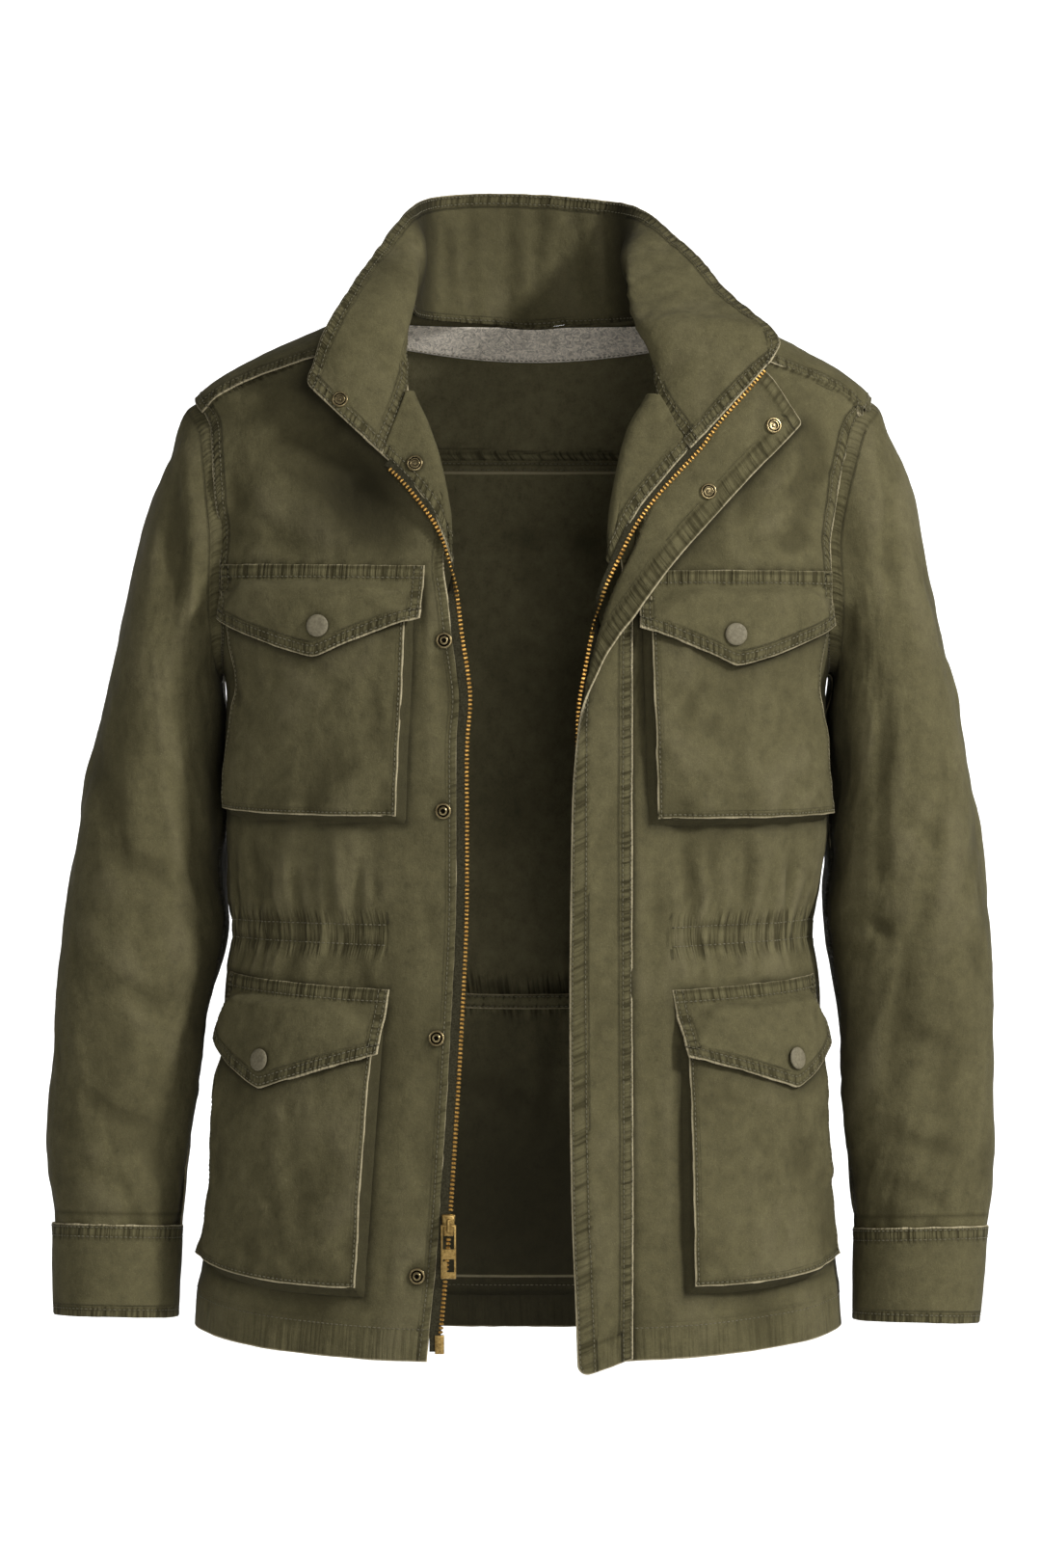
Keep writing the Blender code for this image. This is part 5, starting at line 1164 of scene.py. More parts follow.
class Finish:
    """A procedural material built node by node."""

    def __init__(self, name):
        self.material = bpy.data.materials.new(name)
        self.material.use_nodes = True
        self.tree = self.material.node_tree
        self.shader = self.tree.nodes["Principled BSDF"]
        self.place = self.add("ShaderNodeTexCoord").outputs["Object"]

    def add(self, kind, **settings):
        node = self.tree.nodes.new(kind)
        for key, value in settings.items():
            setattr(node, key, value)
        return node

    def join(self, source, target):
        if isinstance(source, (int, float)):
            target.default_value = source
        elif isinstance(source, tuple):
            target.default_value = source + (1.0,) if len(source) == 3 else source
        else:
            self.tree.links.new(source, target)

    def noise(self, scale, detail=3.0, rough=0.55, vector=None, stretch=None, curl=0.0):
        node = self.add("ShaderNodeTexNoise")
        node.inputs["Distortion"].default_value = curl
        node.inputs["Scale"].default_value = scale
        node.inputs["Detail"].default_value = detail
        node.inputs["Roughness"].default_value = rough
        source = vector or self.place
        if stretch:
            mapping = self.add("ShaderNodeMapping")
            mapping.inputs["Scale"].default_value = stretch
            self.join(source, mapping.inputs["Vector"])
            source = mapping.outputs[0]
        self.join(source, node.inputs["Vector"])
        return node.outputs["Fac"]

    def attribute(self, name):
        return self.add("ShaderNodeAttribute", attribute_name=name).outputs["Fac"]

    def math(self, operation, a, b=0.0):
        node = self.add("ShaderNodeMath", operation=operation)
        for value, socket in zip((a, b), node.inputs):
            self.join(value, socket)
        return node.outputs[0]

    def span(self, value, low, high, to_low=0.0, to_high=1.0):
        node = self.add("ShaderNodeMapRange")
        for value, socket in zip((value, low, high, to_low, to_high), list(node.inputs)[:5]):
            self.join(value, socket)
        return node.outputs[0]

    def blend(self, factor, a, b):
        node = self.add("ShaderNodeMix", data_type="RGBA")
        self.join(factor, node.inputs[0])
        self.join(a, node.inputs[6])
        self.join(b, node.inputs[7])
        return node.outputs[2]

    def bump(self, height, strength, distance, below=None):
        node = self.add("ShaderNodeBump")
        node.inputs["Strength"].default_value = strength
        node.inputs["Distance"].default_value = distance
        self.join(height, node.inputs["Height"])
        if below is not None:
            self.join(below, node.inputs["Normal"])
        return node.outputs[0]

    def done(self, colour, roughness, normal=None, metallic=0.0, sheen=0.0, sheen_tint=(1.0, 1.0, 1.0),
             specular=0.5):
        self.join(colour, self.shader.inputs["Base Color"])
        self.join(roughness, self.shader.inputs["Roughness"])
        self.join(metallic, self.shader.inputs["Metallic"])
        self.shader.inputs["Sheen Weight"].default_value = sheen
        self.shader.inputs["Sheen Roughness"].default_value = 0.45
        self.shader.inputs["Sheen Tint"].default_value = sheen_tint + (1.0,)
        self.shader.inputs["Specular IOR Level"].default_value = specular
        if normal is not None:
            self.join(normal, self.shader.inputs["Normal"])
        return self.material


def shell_cloth(name, base, light, dark, worn, sheen=0.1):
    """Washed cotton: a brushed, mottled surface, worn pale along edges and drawn in beside the stitches, with
    painted shade from the shade attribute, in the stitched grooves and in hollows, and painted light and
    shade on the small ribs.
    """
    f = Finish(name)
    cloud = f.noise(11, 4, 0.6)
    mottle = f.noise(105, 4, 0.66)
    brushed = f.noise(330, 3, 0.65, stretch=(1.0, 1.0, 0.55))
    fuzz = f.noise(760, 3, 0.7)
    fine = f.noise(1700, 2, 0.6)
    lengthwise = f.add("ShaderNodeCombineXYZ")
    for source, size, socket in (("along", RIB_PITCH, 0), ("across", 0.05, 1), ("up", 0.05, 2)):
        f.join(f.math("MULTIPLY", f.attribute(source), 1 / size), lengthwise.inputs[socket])
    ribs = f.noise(1.0, 2.0, 0.5, vector=lengthwise.outputs[0])
    rib = f.math("MULTIPLY", f.span(ribs, 0.34, 0.66, -1.0, 1.0), f.attribute("band"))
    rise = f.attribute("rise")

    tone = f.math("ADD", f.math("MULTIPLY", f.span(cloud, 0.3, 0.7), 0.28),
                  f.math("MULTIPLY", f.span(mottle, 0.3, 0.7), 0.72))
    colour = f.blend(f.span(tone, 0.0, 1.0, 0.16, 0.84), dark, light)
    colour = f.blend(f.span(brushed, 0.36, 0.64, 0.15, 0.6), colour, base)
    colour = f.blend(f.math("MULTIPLY", f.span(fuzz, 0.56, 0.74), 0.3), colour, light)
    colour = f.blend(f.math("MULTIPLY", f.span(fuzz, 0.28, 0.44, 1.0, 0.0), 0.4), colour, dark)
    colour = f.blend(f.math("MULTIPLY", f.span(fine, 0.58, 0.74), 0.14), colour, worn)
    # Ridges a little paler as wear; hollows painted darker as shade.
    colour = f.blend(f.math("MULTIPLY", f.span(rise, 0.3, 2.2), 0.05), colour, worn)
    colour = f.blend(f.math("MULTIPLY", f.span(rise, -2.2, -0.3, 1.0, 0.0), 0.45), colour, dark)
    # Painted light on the crests of the small ribs and painted shade between them.
    colour = f.blend(f.math("MULTIPLY", f.span(rib, 0.15, 0.9), 0.45), colour, light)
    colour = f.blend(f.math("MULTIPLY", f.span(rib, -0.75, -0.05, 1.0, 0.0), 0.8), colour, dark)
    # Painted shade in the sunk grooves along the rows of stitches.
    colour = f.blend(f.math("MULTIPLY", f.attribute("groove"), 0.62), colour, dark)
    # Painted shade: the shade attribute pulls the colour towards a deep tone and dims the pale worn edges
    # within it.
    deep = tuple(0.4 * value for value in dark)
    colour = f.blend(f.attribute("shade"), colour, deep)
    edge = f.math("MULTIPLY", f.span(f.attribute("wear"), 0.36, 0.72), f.span(fuzz, 0.25, 0.55, 0.78, 1.0))
    edge = f.math("MULTIPLY", edge, f.span(f.attribute("shade"), 0.0, 1.0, 0.84, 0.45))
    colour = f.blend(edge, colour, worn)
    normal = f.bump(rib, 0.95, 0.0007)
    normal = f.bump(mottle, 0.6, 0.0011, normal)
    normal = f.bump(brushed, 0.6, 0.0006, normal)
    normal = f.bump(fuzz, 0.5, 0.0003, normal)
    return f.done(colour, f.span(mottle, 0.3, 0.7, 0.84, 0.96), normal, sheen=sheen,
                  sheen_tint=(0.93, 0.88, 0.72), specular=0.16)


def make_finishes():
    finishes = {}
    finishes["shell"] = shell_cloth("olive_cloth", (0.108, 0.094, 0.044), (0.166, 0.147, 0.073),
                                    (0.038, 0.032, 0.013), (0.54, 0.465, 0.295), sheen=0.02)
    # The reverse face is a paler copy of the shell cloth: partly its own paler colour, partly painted light
    # for the shaded inside.
    finishes["inside"] = shell_cloth("olive_cloth_reverse", (0.15, 0.132, 0.068), (0.205, 0.183, 0.098),
                                     (0.04, 0.034, 0.016), (0.36, 0.31, 0.19), sheen=0.01)

    f = Finish("neck_cloth")
    heather = f.noise(150, 4, 0.75, stretch=(1.0, 1.0, 1.3), curl=3.0)
    fleck = f.noise(1300, 2, 0.6)
    colour = f.blend(f.span(heather, 0.36, 0.6), (0.36, 0.322, 0.262), (1.0, 0.91, 0.77))
    colour = f.blend(f.math("MULTIPLY", f.attribute("wear"), 0.5), colour, (0.42, 0.39, 0.34))
    normal = f.bump(fleck, 0.4, 0.00015, f.bump(heather, 0.5, 0.0004))
    finishes["facing"] = f.done(colour, f.span(fleck, 0.3, 0.7, 0.9, 1.0), normal, sheen=0.1, specular=0.15)

    f = Finish("zip_tape_cloth")
    ribs = f.math("SINE", f.math("MULTIPLY", f.attribute("up"), 2 * math.pi / TAPE_RIB))
    grain = f.noise(900, 2, 0.6)
    colour = f.blend(f.span(grain, 0.35, 0.65), (0.024, 0.021, 0.011), (0.05, 0.045, 0.026))
    normal = f.bump(ribs, 0.4, 0.00012)
    finishes["tape"] = f.done(colour, f.span(grain, 0.3, 0.7, 0.85, 0.98), normal, specular=0.08)

    f = Finish("thread")
    twist = f.noise(2600, 1, 0.5)
    faded = f.noise(60, 3, 0.6)
    colour = f.blend(f.span(faded, 0.35, 0.65), (0.118, 0.105, 0.058), (0.18, 0.162, 0.098))
    normal = f.bump(twist, 0.5, 0.0001)
    finishes["thread"] = f.done(colour, f.span(twist, 0.3, 0.7, 0.62, 0.8), normal, sheen=0.1, specular=0.3)

    for name, light, deep, rough, metal in (
            ("brass", (0.74, 0.45, 0.125), (0.27, 0.145, 0.036), 0.26, 1.0),
            ("aged", (0.52, 0.35, 0.125), (0.23, 0.145, 0.045), 0.34, 1.0),
            ("antique", (0.46, 0.365, 0.19), (0.21, 0.16, 0.08), 0.24, 1.0),
            ("tarnished", (0.012, 0.01, 0.006), (0.005, 0.004, 0.003), 0.6, 1.0),
            ("painted", (0.215, 0.188, 0.116), (0.142, 0.122, 0.074), 0.6, 0.0)):
        f = Finish(name + "_finish")
        dull = f.noise(520, 3, 0.6)
        scratch = f.noise(2400, 2, 0.5, stretch=(1, 1, 0.2))
        colour = f.blend(f.span(dull, 0.34, 0.66), deep, light)
        rubbed = f.span(dull, 0.3, 0.7, rough + 0.18, rough)
        finishes[name] = f.done(colour, rubbed, f.bump(scratch, 0.25, 0.00004), metallic=metal)

    f = Finish("studio_white")
    soft = f.noise(0.7, 2, 0.5)
    colour = f.blend(soft, (0.89, 0.89, 0.89), (0.91, 0.91, 0.91))
    finishes["floor"] = f.done(colour, f.span(soft, 0.3, 0.7, 0.9, 0.95), specular=0.1)
    return finishes


MATERIALS = make_finishes()


# --- The cloth ------------------------------------------------------------------------------------
def oriented(cloth, toward):
    """The sign of a piece's outward side, given directions that point out of it."""
    mean = (cloth.normals() * toward(cloth.points)).sum()
    if mean < 0:
        cloth.outward = -cloth.outward
    return cloth


def cut_size(cloth, allowance):
    """Flat size with seam allowances, and flat area."""
    width = cloth.across[:, -1].max() + allowance
    length = cloth.up[-1].max() + allowance
    steps = np.linalg.norm(np.cross(cloth.points[1:, :-1] - cloth.points[:-1, :-1],
                                    cloth.points[:-1, 1:] - cloth.points[:-1, :-1]), axis=2).sum()
    flat = (round(max(width, 0.0101), 4), round(length, 3))
    return flat, round(min(max(steps * 1.08, 0.31 * flat[0] * flat[1]), flat[0] * flat[1]), 5)


def draped(cloth, held="hung", allowance=0.02):
    make(cloth, *cut_size(cloth, allowance), held)


def at_height(cloth, height):
    """Fractional rows at which each column reaches a height."""
    rows = []
    for c in range(cloth.points.shape[1]):
        z = cloth.points[:, c, 2]
        order = np.argsort(z)
        target = height(cloth.points[:, c, 0].mean()) if callable(height) else height
        rows.append(np.interp(target, z[order], np.arange(len(z))[order]))
    return np.array(rows)


def one_gather(d, z, height, width, reach):
    """Heights of a fold that widens and fades out above and below the waist; d is measured across it."""
    widen = width * (1 + 1.5 * np.abs(z) / 0.05)
    fade = np.exp(-(np.abs(z) / reach) ** 1.5)
    return height * fade * (np.exp(-(d / widen) ** 2) - 0.35 * np.exp(-(d / (2.2 * widen)) ** 2))


def gather(cloth, centre_z, reach_from_side, count, seed):
    """Uneven gathers drawn in by two rows of stitches, fading above and below the waist."""
    rng = np.random.default_rng(seed)
    z = cloth.points[..., 2] - centre_z
    across = cloth.across
    total = np.zeros(z.shape)
    for place in np.sort(rng.uniform(0, 1, count)) * 0.55 + np.linspace(0, 1, count) * 0.45:
        s0 = 0.004 + place * (reach_from_side - 0.008)
        height = rng.uniform(0.9, 2.8) * MM
        width = rng.uniform(1.6, 3.2) * MM
        above, below = rng.uniform(0.012, 0.06), rng.uniform(0.01, 0.045)
        lean = rng.uniform(-0.16, 0.16)
        bend = rng.uniform(-1.2, 1.2)
        reach = np.where(z > 0, above, below)
        total += one_gather(across - s0 - lean * z - bend * z * np.abs(z), z, height, width, reach)
    cloth.rise += total * smooth_step((reach_from_side - across) / 0.004 + 0.5)


def waist_seam(cloth, lines, inside_to):
    """Two rows of stitches across the gathers."""
    for line in lines:
        rows = at_height(cloth, line)
        z_line = np.array([np.interp(r, np.arange(cloth.points.shape[0]), cloth.points[:, c, 2])
                           for c, r in enumerate(rows)])
        d = cloth.points[..., 2] - z_line[None, :]
        inside = smooth_step((inside_to - cloth.across) / 0.004 + 0.5)
        valley = np.exp(-(d / (1.5 * MM)) ** 2)
        cloth.rise -= 0.9 * MM * valley * inside
        cloth.groove = np.maximum(cloth.groove, valley * inside * 0.8)
        drawn_in(cloth, np.exp(-(d / (9 * MM)) ** 4) * inside, cloth.across)
        columns = np.arange(cloth.points.shape[1])
        reach = np.array([np.interp(r, np.arange(cloth.points.shape[0]), cloth.across[:, c])
                          for c, r in enumerate(rows)])
        kept = reach <= inside_to
        cloth.stitch_path(rows[kept], columns[kept])


def drawn_in(cloth, band, along):
    """Marks a stretch of small ribs that cross a row of stitches."""
    nearer = band > cloth.band
    cloth.along = np.where(nearer, along, cloth.along)
    cloth.band = np.maximum(cloth.band, band)


CREASES = {
    "front_right": named_rows(
        "x0 z0 x1 z1 width depth bow",
        (-0.19, -0.372, -0.178, -0.428, 5.0, 2.2, 1.0), (-0.16, -0.378, -0.152, -0.43, 4.5, 2.0, -1.0),
        (-0.135, -0.372, -0.133, -0.43, 4.0, 1.8, 1.0), (-0.112, -0.38, -0.113, -0.43, 3.5, 1.5, 0.5),
        (-0.1, -0.395, -0.104, -0.43, 3.0, 1.1, 0.0), (-0.205, -0.395, -0.198, -0.428, 3.0, 1.2, 0.0),
        (-0.08, -0.06, -0.19, -0.105, 7.0, 1.5, 3.0), (-0.205, -0.155, -0.12, -0.178, 7.0, 1.8, -3.0),
        (-0.215, -0.12, -0.165, -0.168, 6.0, 1.4, 2.0), (-0.19, -0.448, -0.195, -0.472, 4.0, 1.3, 0.0),
        (-0.14, -0.45, -0.146, -0.476, 4.0, 1.3, 0.5), (-0.11, -0.45, -0.112, -0.478, 3.5, 1.1, 0.0),
        (-0.072, -0.4, -0.06, -0.455, 5.0, 1.0, 1.5), (-0.165, -0.085, -0.083, -0.178, 20.0, 5.0, 6.0),
        (-0.195, -0.11, -0.205, -0.18, 9.0, 2.2, 2.0), (-0.075, -0.19, -0.072, -0.33, 7.0, 1.4, -2.0),
        (-0.06, -0.47, -0.068, -0.64, 9.0, 1.5, 3.0)),
    "front_left": named_rows(
        "x0 z0 x1 z1 width depth bow",
        (0.112, -0.378, 0.118, -0.43, 4.5, 1.8, 1.0), (0.133, -0.372, 0.136, -0.43, 5.0, 2.0, -1.0),
        (0.158, -0.372, 0.154, -0.43, 4.5, 2.2, 1.0), (0.176, -0.384, 0.172, -0.43, 3.5, 1.6, 0.5),
        (0.19, -0.376, 0.186, -0.428, 4.0, 1.8, 0.0), (0.204, -0.392, 0.2, -0.428, 3.0, 1.3, 0.0),
        (0.215, -0.11, 0.15, -0.15, 7.0, 1.6, 3.0), (0.22, -0.165, 0.15, -0.176, 7.0, 1.6, -3.0),
        (0.125, -0.45, 0.128, -0.478, 4.0, 1.3, 0.5), (0.16, -0.45, 0.163, -0.474, 4.0, 1.3, 0.0),
        (0.19, -0.448, 0.193, -0.47, 3.5, 1.2, 0.0), (0.205, -0.08, 0.185, -0.18, 10.0, 2.6, 4.0),
        (0.17, -0.085, 0.15, -0.178, 11.0, 2.2, -5.0), (0.09, -0.375, 0.094, -0.47, 7.0, 1.6, 2.0),
        (0.086, -0.48, 0.095, -0.64, 9.0, 1.6, -3.0)),
    "back": named_rows(
        "x0 z0 x1 z1 width depth bow",
        (-0.12, -0.39, -0.112, -0.47, 5.5, 2.0, 1.0), (-0.055, -0.4, -0.05, -0.488, 6.0, 2.0, -1.0),
        (0.01, -0.395, 0.012, -0.492, 6.0, 1.8, 1.0), (0.07, -0.4, 0.064, -0.486, 5.5, 2.0, 0.5),
        (0.135, -0.39, 0.128, -0.468, 5.0, 2.0, -1.0), (-0.16, -0.205, -0.07, -0.24, 9.0, 1.8, 4.0),
        (0.165, -0.21, 0.075, -0.236, 9.0, 1.8, -4.0), (-0.1, -0.15, 0.09, -0.158, 8.0, 1.2, 3.0),
        (-0.14, -0.505, -0.15, -0.56, 6.0, 1.5, 1.0), (0.12, -0.505, 0.132, -0.565, 6.0, 1.5, -1.0),
        (0.02, -0.51, 0.016, -0.59, 7.0, 1.5, 1.0))}

GATHERS = 36
BACK_GATHERS = 62
GATHERS_Z = -0.439
CASING_TOP = {"right": (-0.4325, -0.4306), "left": (-0.4348, -0.431)}
CASING_LOW = {"right": (-0.4465, -0.4429), "left": (-0.4484, -0.4432)}
CASING_END_X = {"right": -0.0927, "left": 0.1024}
SIDE_X = 0.205


def seen_line(points):
    """The x and z of a row of points."""
    return [(float(p[0]), float(p[2])) for p in points.reshape(-1, 3)]


def flap_line(pocket, top=False):
    u = np.concatenate([np.zeros(6), np.linspace(0, 1, 25), np.ones(6)])
    v = np.concatenate([np.linspace(0.25, 1, 6), np.ones(25), np.linspace(1, 0.25, 6)])
    if top:
        u, v = np.linspace(0, 1, 12), np.zeros(12)
    return seen_line(flap_surface(pocket)(u[None, :], v[None, :]))


def bag_line(pocket):
    s = np.concatenate([np.zeros(10), np.linspace(0, 1, 12), np.ones(10)])
    t = np.concatenate([np.linspace(0.9, 0, 10), np.zeros(12), np.linspace(0, 0.9, 10)])
    return seen_line(bag_point(pocket, s[None, :], t[None, :], CLOTH))


def storm_flap_line(u, first=0.0, last=1.0):
    return seen_line(storm_flap_surface(np.full((1, 40), u), np.linspace(first, last, 40)[None, :]))


def leaf_line():
    """The lower and the front edge of the collar's leaf over the right front."""
    lower = collar_surface(np.linspace(0.17, 0.0, 10)[None, :], np.ones((1, 10)))
    front = collar_surface(np.zeros((1, 8)), np.linspace(1.0, 0.0, 8)[None, :])
    return seen_line(np.concatenate([lower, front], axis=1))


def under_pockets(cloth, side):
    """How far each point lies under a pocket, its flap or the ends of them."""
    x, z = cloth.points[..., 0], cloth.points[..., 2]
    mask = np.zeros(x.shape)
    for pocket in POCKETS:
        if pocket.side == side:
            top = np.maximum(pocket.top_inner, pocket.top_outer) + 2 * MM
            low = np.minimum(pocket.bag_inner, pocket.bag_outer) - 1 * MM
            beyond = np.minimum(abs(pocket.flap_top_x), abs(pocket.bag_top_x)) - 2 * MM
            here = (smooth_step((top - z) / (4 * MM)) * smooth_step((z - low) / (4 * MM))
                    * smooth_step((np.abs(x) - beyond) / (4 * MM)))
            mask = np.maximum(mask, here)
    return mask


ARM_SEAM = (1.6, 7.6)       # rows of stitches beside the armholes and the shoulder seams, mm
HEM_STITCHES = (22.5,)


def armhole_seam(cloth, edge, height, reach, seed):
    """Top-stitched from the underarm upwards; below it the side seam is plain."""
    above = smooth_step((cloth.points[..., 2] + 0.262) / 0.02)
    heights = cloth.points[:, 0 if edge == "start" else -1, 2]
    first = np.argmax(heights > ARM_BOTTOM_Z) / len(heights)
    cloth.seam(edge, ARM_SEAM, first, height=height, reach=reach, spacing=9, seed=seed,
               where=0.35 + 0.65 * above)


def front_panel(side):
    sign = SIDES[side]
    cloth = Cloth("front_" + side, front_surface(side), 2.4 * MM, 4.4 * MM, reverse="inside")
    oriented(cloth, facing(0, -1, 0))
    cloth.soften(0.0017, 11 if side == "left" else 23, 46, 105)
    cloth.crease(CREASES["front_" + side])
    row = at_height(cloth, WAIST_Z).mean()
    reach = np.interp(abs(CASING_END_X[side]), np.abs(cloth.points[int(row), :, 0])[::-1],
                      cloth.across[int(row)][::-1])
    gather(cloth, GATHERS_Z, reach, GATHERS, 5 if side == "left" else 8)

    def casing_line(ends):
        return lambda x: mix(ends[0], ends[1], np.clip((abs(x) - 0.095) / (SIDE_X - 0.095), 0, 1))
    waist_seam(cloth, [casing_line(CASING_TOP[side]), casing_line(CASING_LOW[side])], reach)
    cloth.rise *= smooth_step(cloth.distance("end") / (14 * MM) + 0.15)
    cloth.seam("end", (5.5,), 0.0, 0.72, height=0.22, reach=7, spacing=5, seed=31 + sign, slant=0.3,
               ribs=0.6)
    cloth.seam("low", HEM_STITCHES, height=0.4, reach=8, spacing=8, seed=41 + sign, ribs=0.35)
    armhole_seam(cloth, "start", 0.55, 14, 51 + sign)
    cloth.pucker("high", (3.0,), height=0.5, reach=12, spacing=9, seed=61 + sign, wear=0.0)
    cloth.press(under_pockets(cloth, side))
    paint_front_shade(cloth, side)
    if side == "right":
        cloth.rest([node_points("front_stud_%d" % n).mean(axis=0) for n in range(1, 5)])
    draped(cloth)


def paint_front_shade(cloth, side):
    """Painted shade beside the pockets, beside the sleeve and under what lies on the front, and evenly over
    its inner face.
    """
    # Painted shadows beside the pockets and their flaps.
    for pocket in POCKETS:
        if pocket.side == side:
            cloth.paint_shadow_beside(bag_line(pocket), 2.6)
            cloth.paint_shadow_beside(flap_line(pocket), 3.0)
            cloth.paint_shadow_beside(flap_line(pocket, top=True), 1.2, 0.6)
    x, z = cloth.points[..., 0], cloth.points[..., 2]
    # Painted shade beside the sleeve.
    beside_sleeve = smooth_step((-0.23 - z) / 0.03) * smooth_step((z + 0.47) / 0.05)
    cloth.paint_shade(0.62 * beside_sleeve * np.exp(-(cloth.distance("start") / (15 * MM)) ** 2))
    if side == "right":
        # Painted shadow of the collar's leaf on the chest.
        cloth.paint_shadow_beside(leaf_line(), 9.0, 0.85)
        cloth.paint_shade(0.86 * np.exp(-((x + 0.108) / 0.044) ** 2 - ((z + 0.13) / 0.046) ** 2))
    else:
        # Painted shadow beside the storm flap's edges.
        cloth.paint_shadow_beside(storm_flap_line(1.0, 0.0, 0.56), 3.2, 0.85)
        cloth.paint_shadow_beside(storm_flap_line(0.0, 0.36, 1.0), 1.6, 0.8)
    # Painted shade over the whole inner face of the front.
    cloth.inner_shade = cloth.shade * 0 + 0.55


def gather_back(cloth, z):
    """Gathers all across the back with two rows of stitches; z is measured from the waist's line."""
    rng = np.random.default_rng(77)
    for place in np.sort(rng.uniform(0.02, 0.98, BACK_GATHERS)):
        lean, width = rng.uniform(-0.12, 0.12), rng.uniform(1.8, 3.4) * MM
        reach = np.where(z > 0, rng.uniform(0.015, 0.06), rng.uniform(0.012, 0.045))
        d = cloth.across - place * cloth.across[:, -1:] - lean * z
        cloth.rise += one_gather(d, z, rng.uniform(0.6, 1.8) * MM, width, reach)
    for level in (0.0075, -0.0055):
        valley = np.exp(-((z - level) / (1.5 * MM)) ** 2)
        drawn_in(cloth, np.exp(-((z - level) / (9 * MM)) ** 4), cloth.across)
        cloth.rise -= 0.9 * MM * valley
        cloth.groove = np.maximum(cloth.groove, 0.8 * valley)
        rows = np.array([np.interp(level, column, np.arange(len(column))) for column in z.T])
        cloth.stitch_path(rows, np.arange(len(rows)))


def back_panel():
    cloth = Cloth("back", back_surface, 3.4 * MM, 6.0 * MM, reverse="inside",
                  extra=(30.7, 31.5, 32.3, 37.0, 38.0, 39.0))
    oriented(cloth, away_from(0, 0, -0.4))
    cloth.soften(0.0019, 71, 60, 130)
    cloth.crease(CREASES["back"])
    x, z = cloth.points[..., 0], cloth.points[..., 2]
    dip = np.interp(cloth.across / cloth.across[:, -1:], (0, 0.25, 0.5, 0.75, 1), (0, 0.62, 1, 0.62, 0))
    gather_back(cloth, z - (WAIST_Z + dip * waist_shift(270, WAIST_Z)))
    cloth.seam("low", HEM_STITCHES, height=0.4, reach=8, spacing=8, seed=81, ribs=0.35)
    cloth.inner_seam("low", 38.0, 31.5)
    # Painted shade on the inner face: darker towards the hem, at both sides and in a band above the turned
    # hem.
    above_hem = 0.55 * np.exp(-((cloth.distance("low") / MM - 42.0) / 2.0) ** 2)
    beside = 0.3 * smooth_step((np.abs(x - 0.02) - 0.05) / 0.06)
    cloth.inner_shade = np.maximum(np.maximum(0.8 * smooth_step((-0.44 - z) / 0.2), beside), above_hem)
    cloth.inner_seam("high", 9.0, 2.5)
    cloth.stitch("high", 7.0, inner=True)
    for edge, seed in (("start", 83), ("end", 85)):
        armhole_seam(cloth, edge, 0.5, 12, seed)
    cloth.pucker("high", (3.0,), height=0.4, reach=10, spacing=9, seed=87, wear=0.0, ribs=0.25, valley=0.1)
    draped(cloth)


def steep_yoke(u, v):
    """The yoke with its grid closed up towards the armholes, where the shoulder turns down."""
    return yoke_surface(u, 1 - (1 - v) ** 1.7)


def yoke():
    cloth = Cloth("yoke", steep_yoke, 3.8 * MM, 3.3 * MM, reverse="inside")
    oriented(cloth, facing(0, 0, 1))
    cloth.points = cloth.points + cloth.normals() * 0.0007
    cloth.soften(0.0009, 91, 50, 50)
    cloth.seam("high", ARM_SEAM, height=0.3, reach=10, spacing=8, seed=93)
    for edge in ("start", "end"):
        cloth.seam(edge, ARM_SEAM, height=0.5, reach=10, spacing=8, seed=95)
    cloth.pucker("low", (2.0,), height=0.3, reach=7, spacing=8, seed=97, wear=0.2)
    # Painted shadow of the collar's leaf on the yoke.
    cloth.paint_shadow_beside(leaf_line()[:10], 3.5, 0.7)
    from_end = 40 * np.minimum(cloth.u, 1 - cloth.u)
    kept = 1 - 0.92 * smooth_step(9.8 - from_end) * smooth_step((cloth.v - 0.72) / 0.2)
    cloth.rise *= kept
    cloth.band *= kept
    draped(cloth)


def round_the_arm(cloth):
    """Sets the outward side of a piece that goes round the arm."""
    middle = cloth.points.mean(axis=1, keepdims=True)
    oriented(cloth, lambda points: points - middle)


def sleeve(side):
    split = -float(armhole_phi(SLEEVE_SEAM_Z))
    for name, first, last, pitch, seed in (
            ("upper_sleeve_", 180, split, 3.6, 101), ("under_sleeve_", split, -180, 5.0, 111)):
        cloth = Cloth(name + side, sleeve_surface(side, first, last), pitch * MM, (pitch + 0.8) * MM)
        round_the_arm(cloth)
        cloth.soften(0.0021, seed + SIDES[side], 44, 95)
        cloth.crease(SLEEVE_FOLDS[side])
        for edge, offsets, height, reach, spacing, step, wear, ribs, valley in (
                ("low", (9.0,), 0.6, 12, 9, 2, 0.0, 0.5, 0.0),
                ("high", (9.0,), 0.7, 10, 8, 3, 0.0, 0.0, 0.0),
                ("start", (1.6, 7.6), 0.45, 8, 8, 4, 0.55, 0.7, 0.25),
                ("end", (1.6,), 0.3, 6, 8, 5, 0.55, 0.4, 0.25)):
            cloth.pucker(edge, offsets, height=height, reach=reach, spacing=spacing, seed=seed + step,
                         wear=wear, ribs=ribs, valley=valley)
        if name == "upper_sleeve_":
            for offset in ARM_SEAM:
                cloth.stitch("end", offset)
        # Painted shade on the inner side of the sleeve, next to the body.
        turn = np.abs((mix(first, last, cloth.u) + 180) % 360 - 180)
        row = SLEEVE_LAST_ROW * cloth.v
        cloth.paint_shade(0.58 * np.exp(-((180 - turn) / 26) ** 2) * smooth_step((row - 1.2) / 1.5)
                     * smooth_step((12.5 - row) / 3.0))
        draped(cloth)


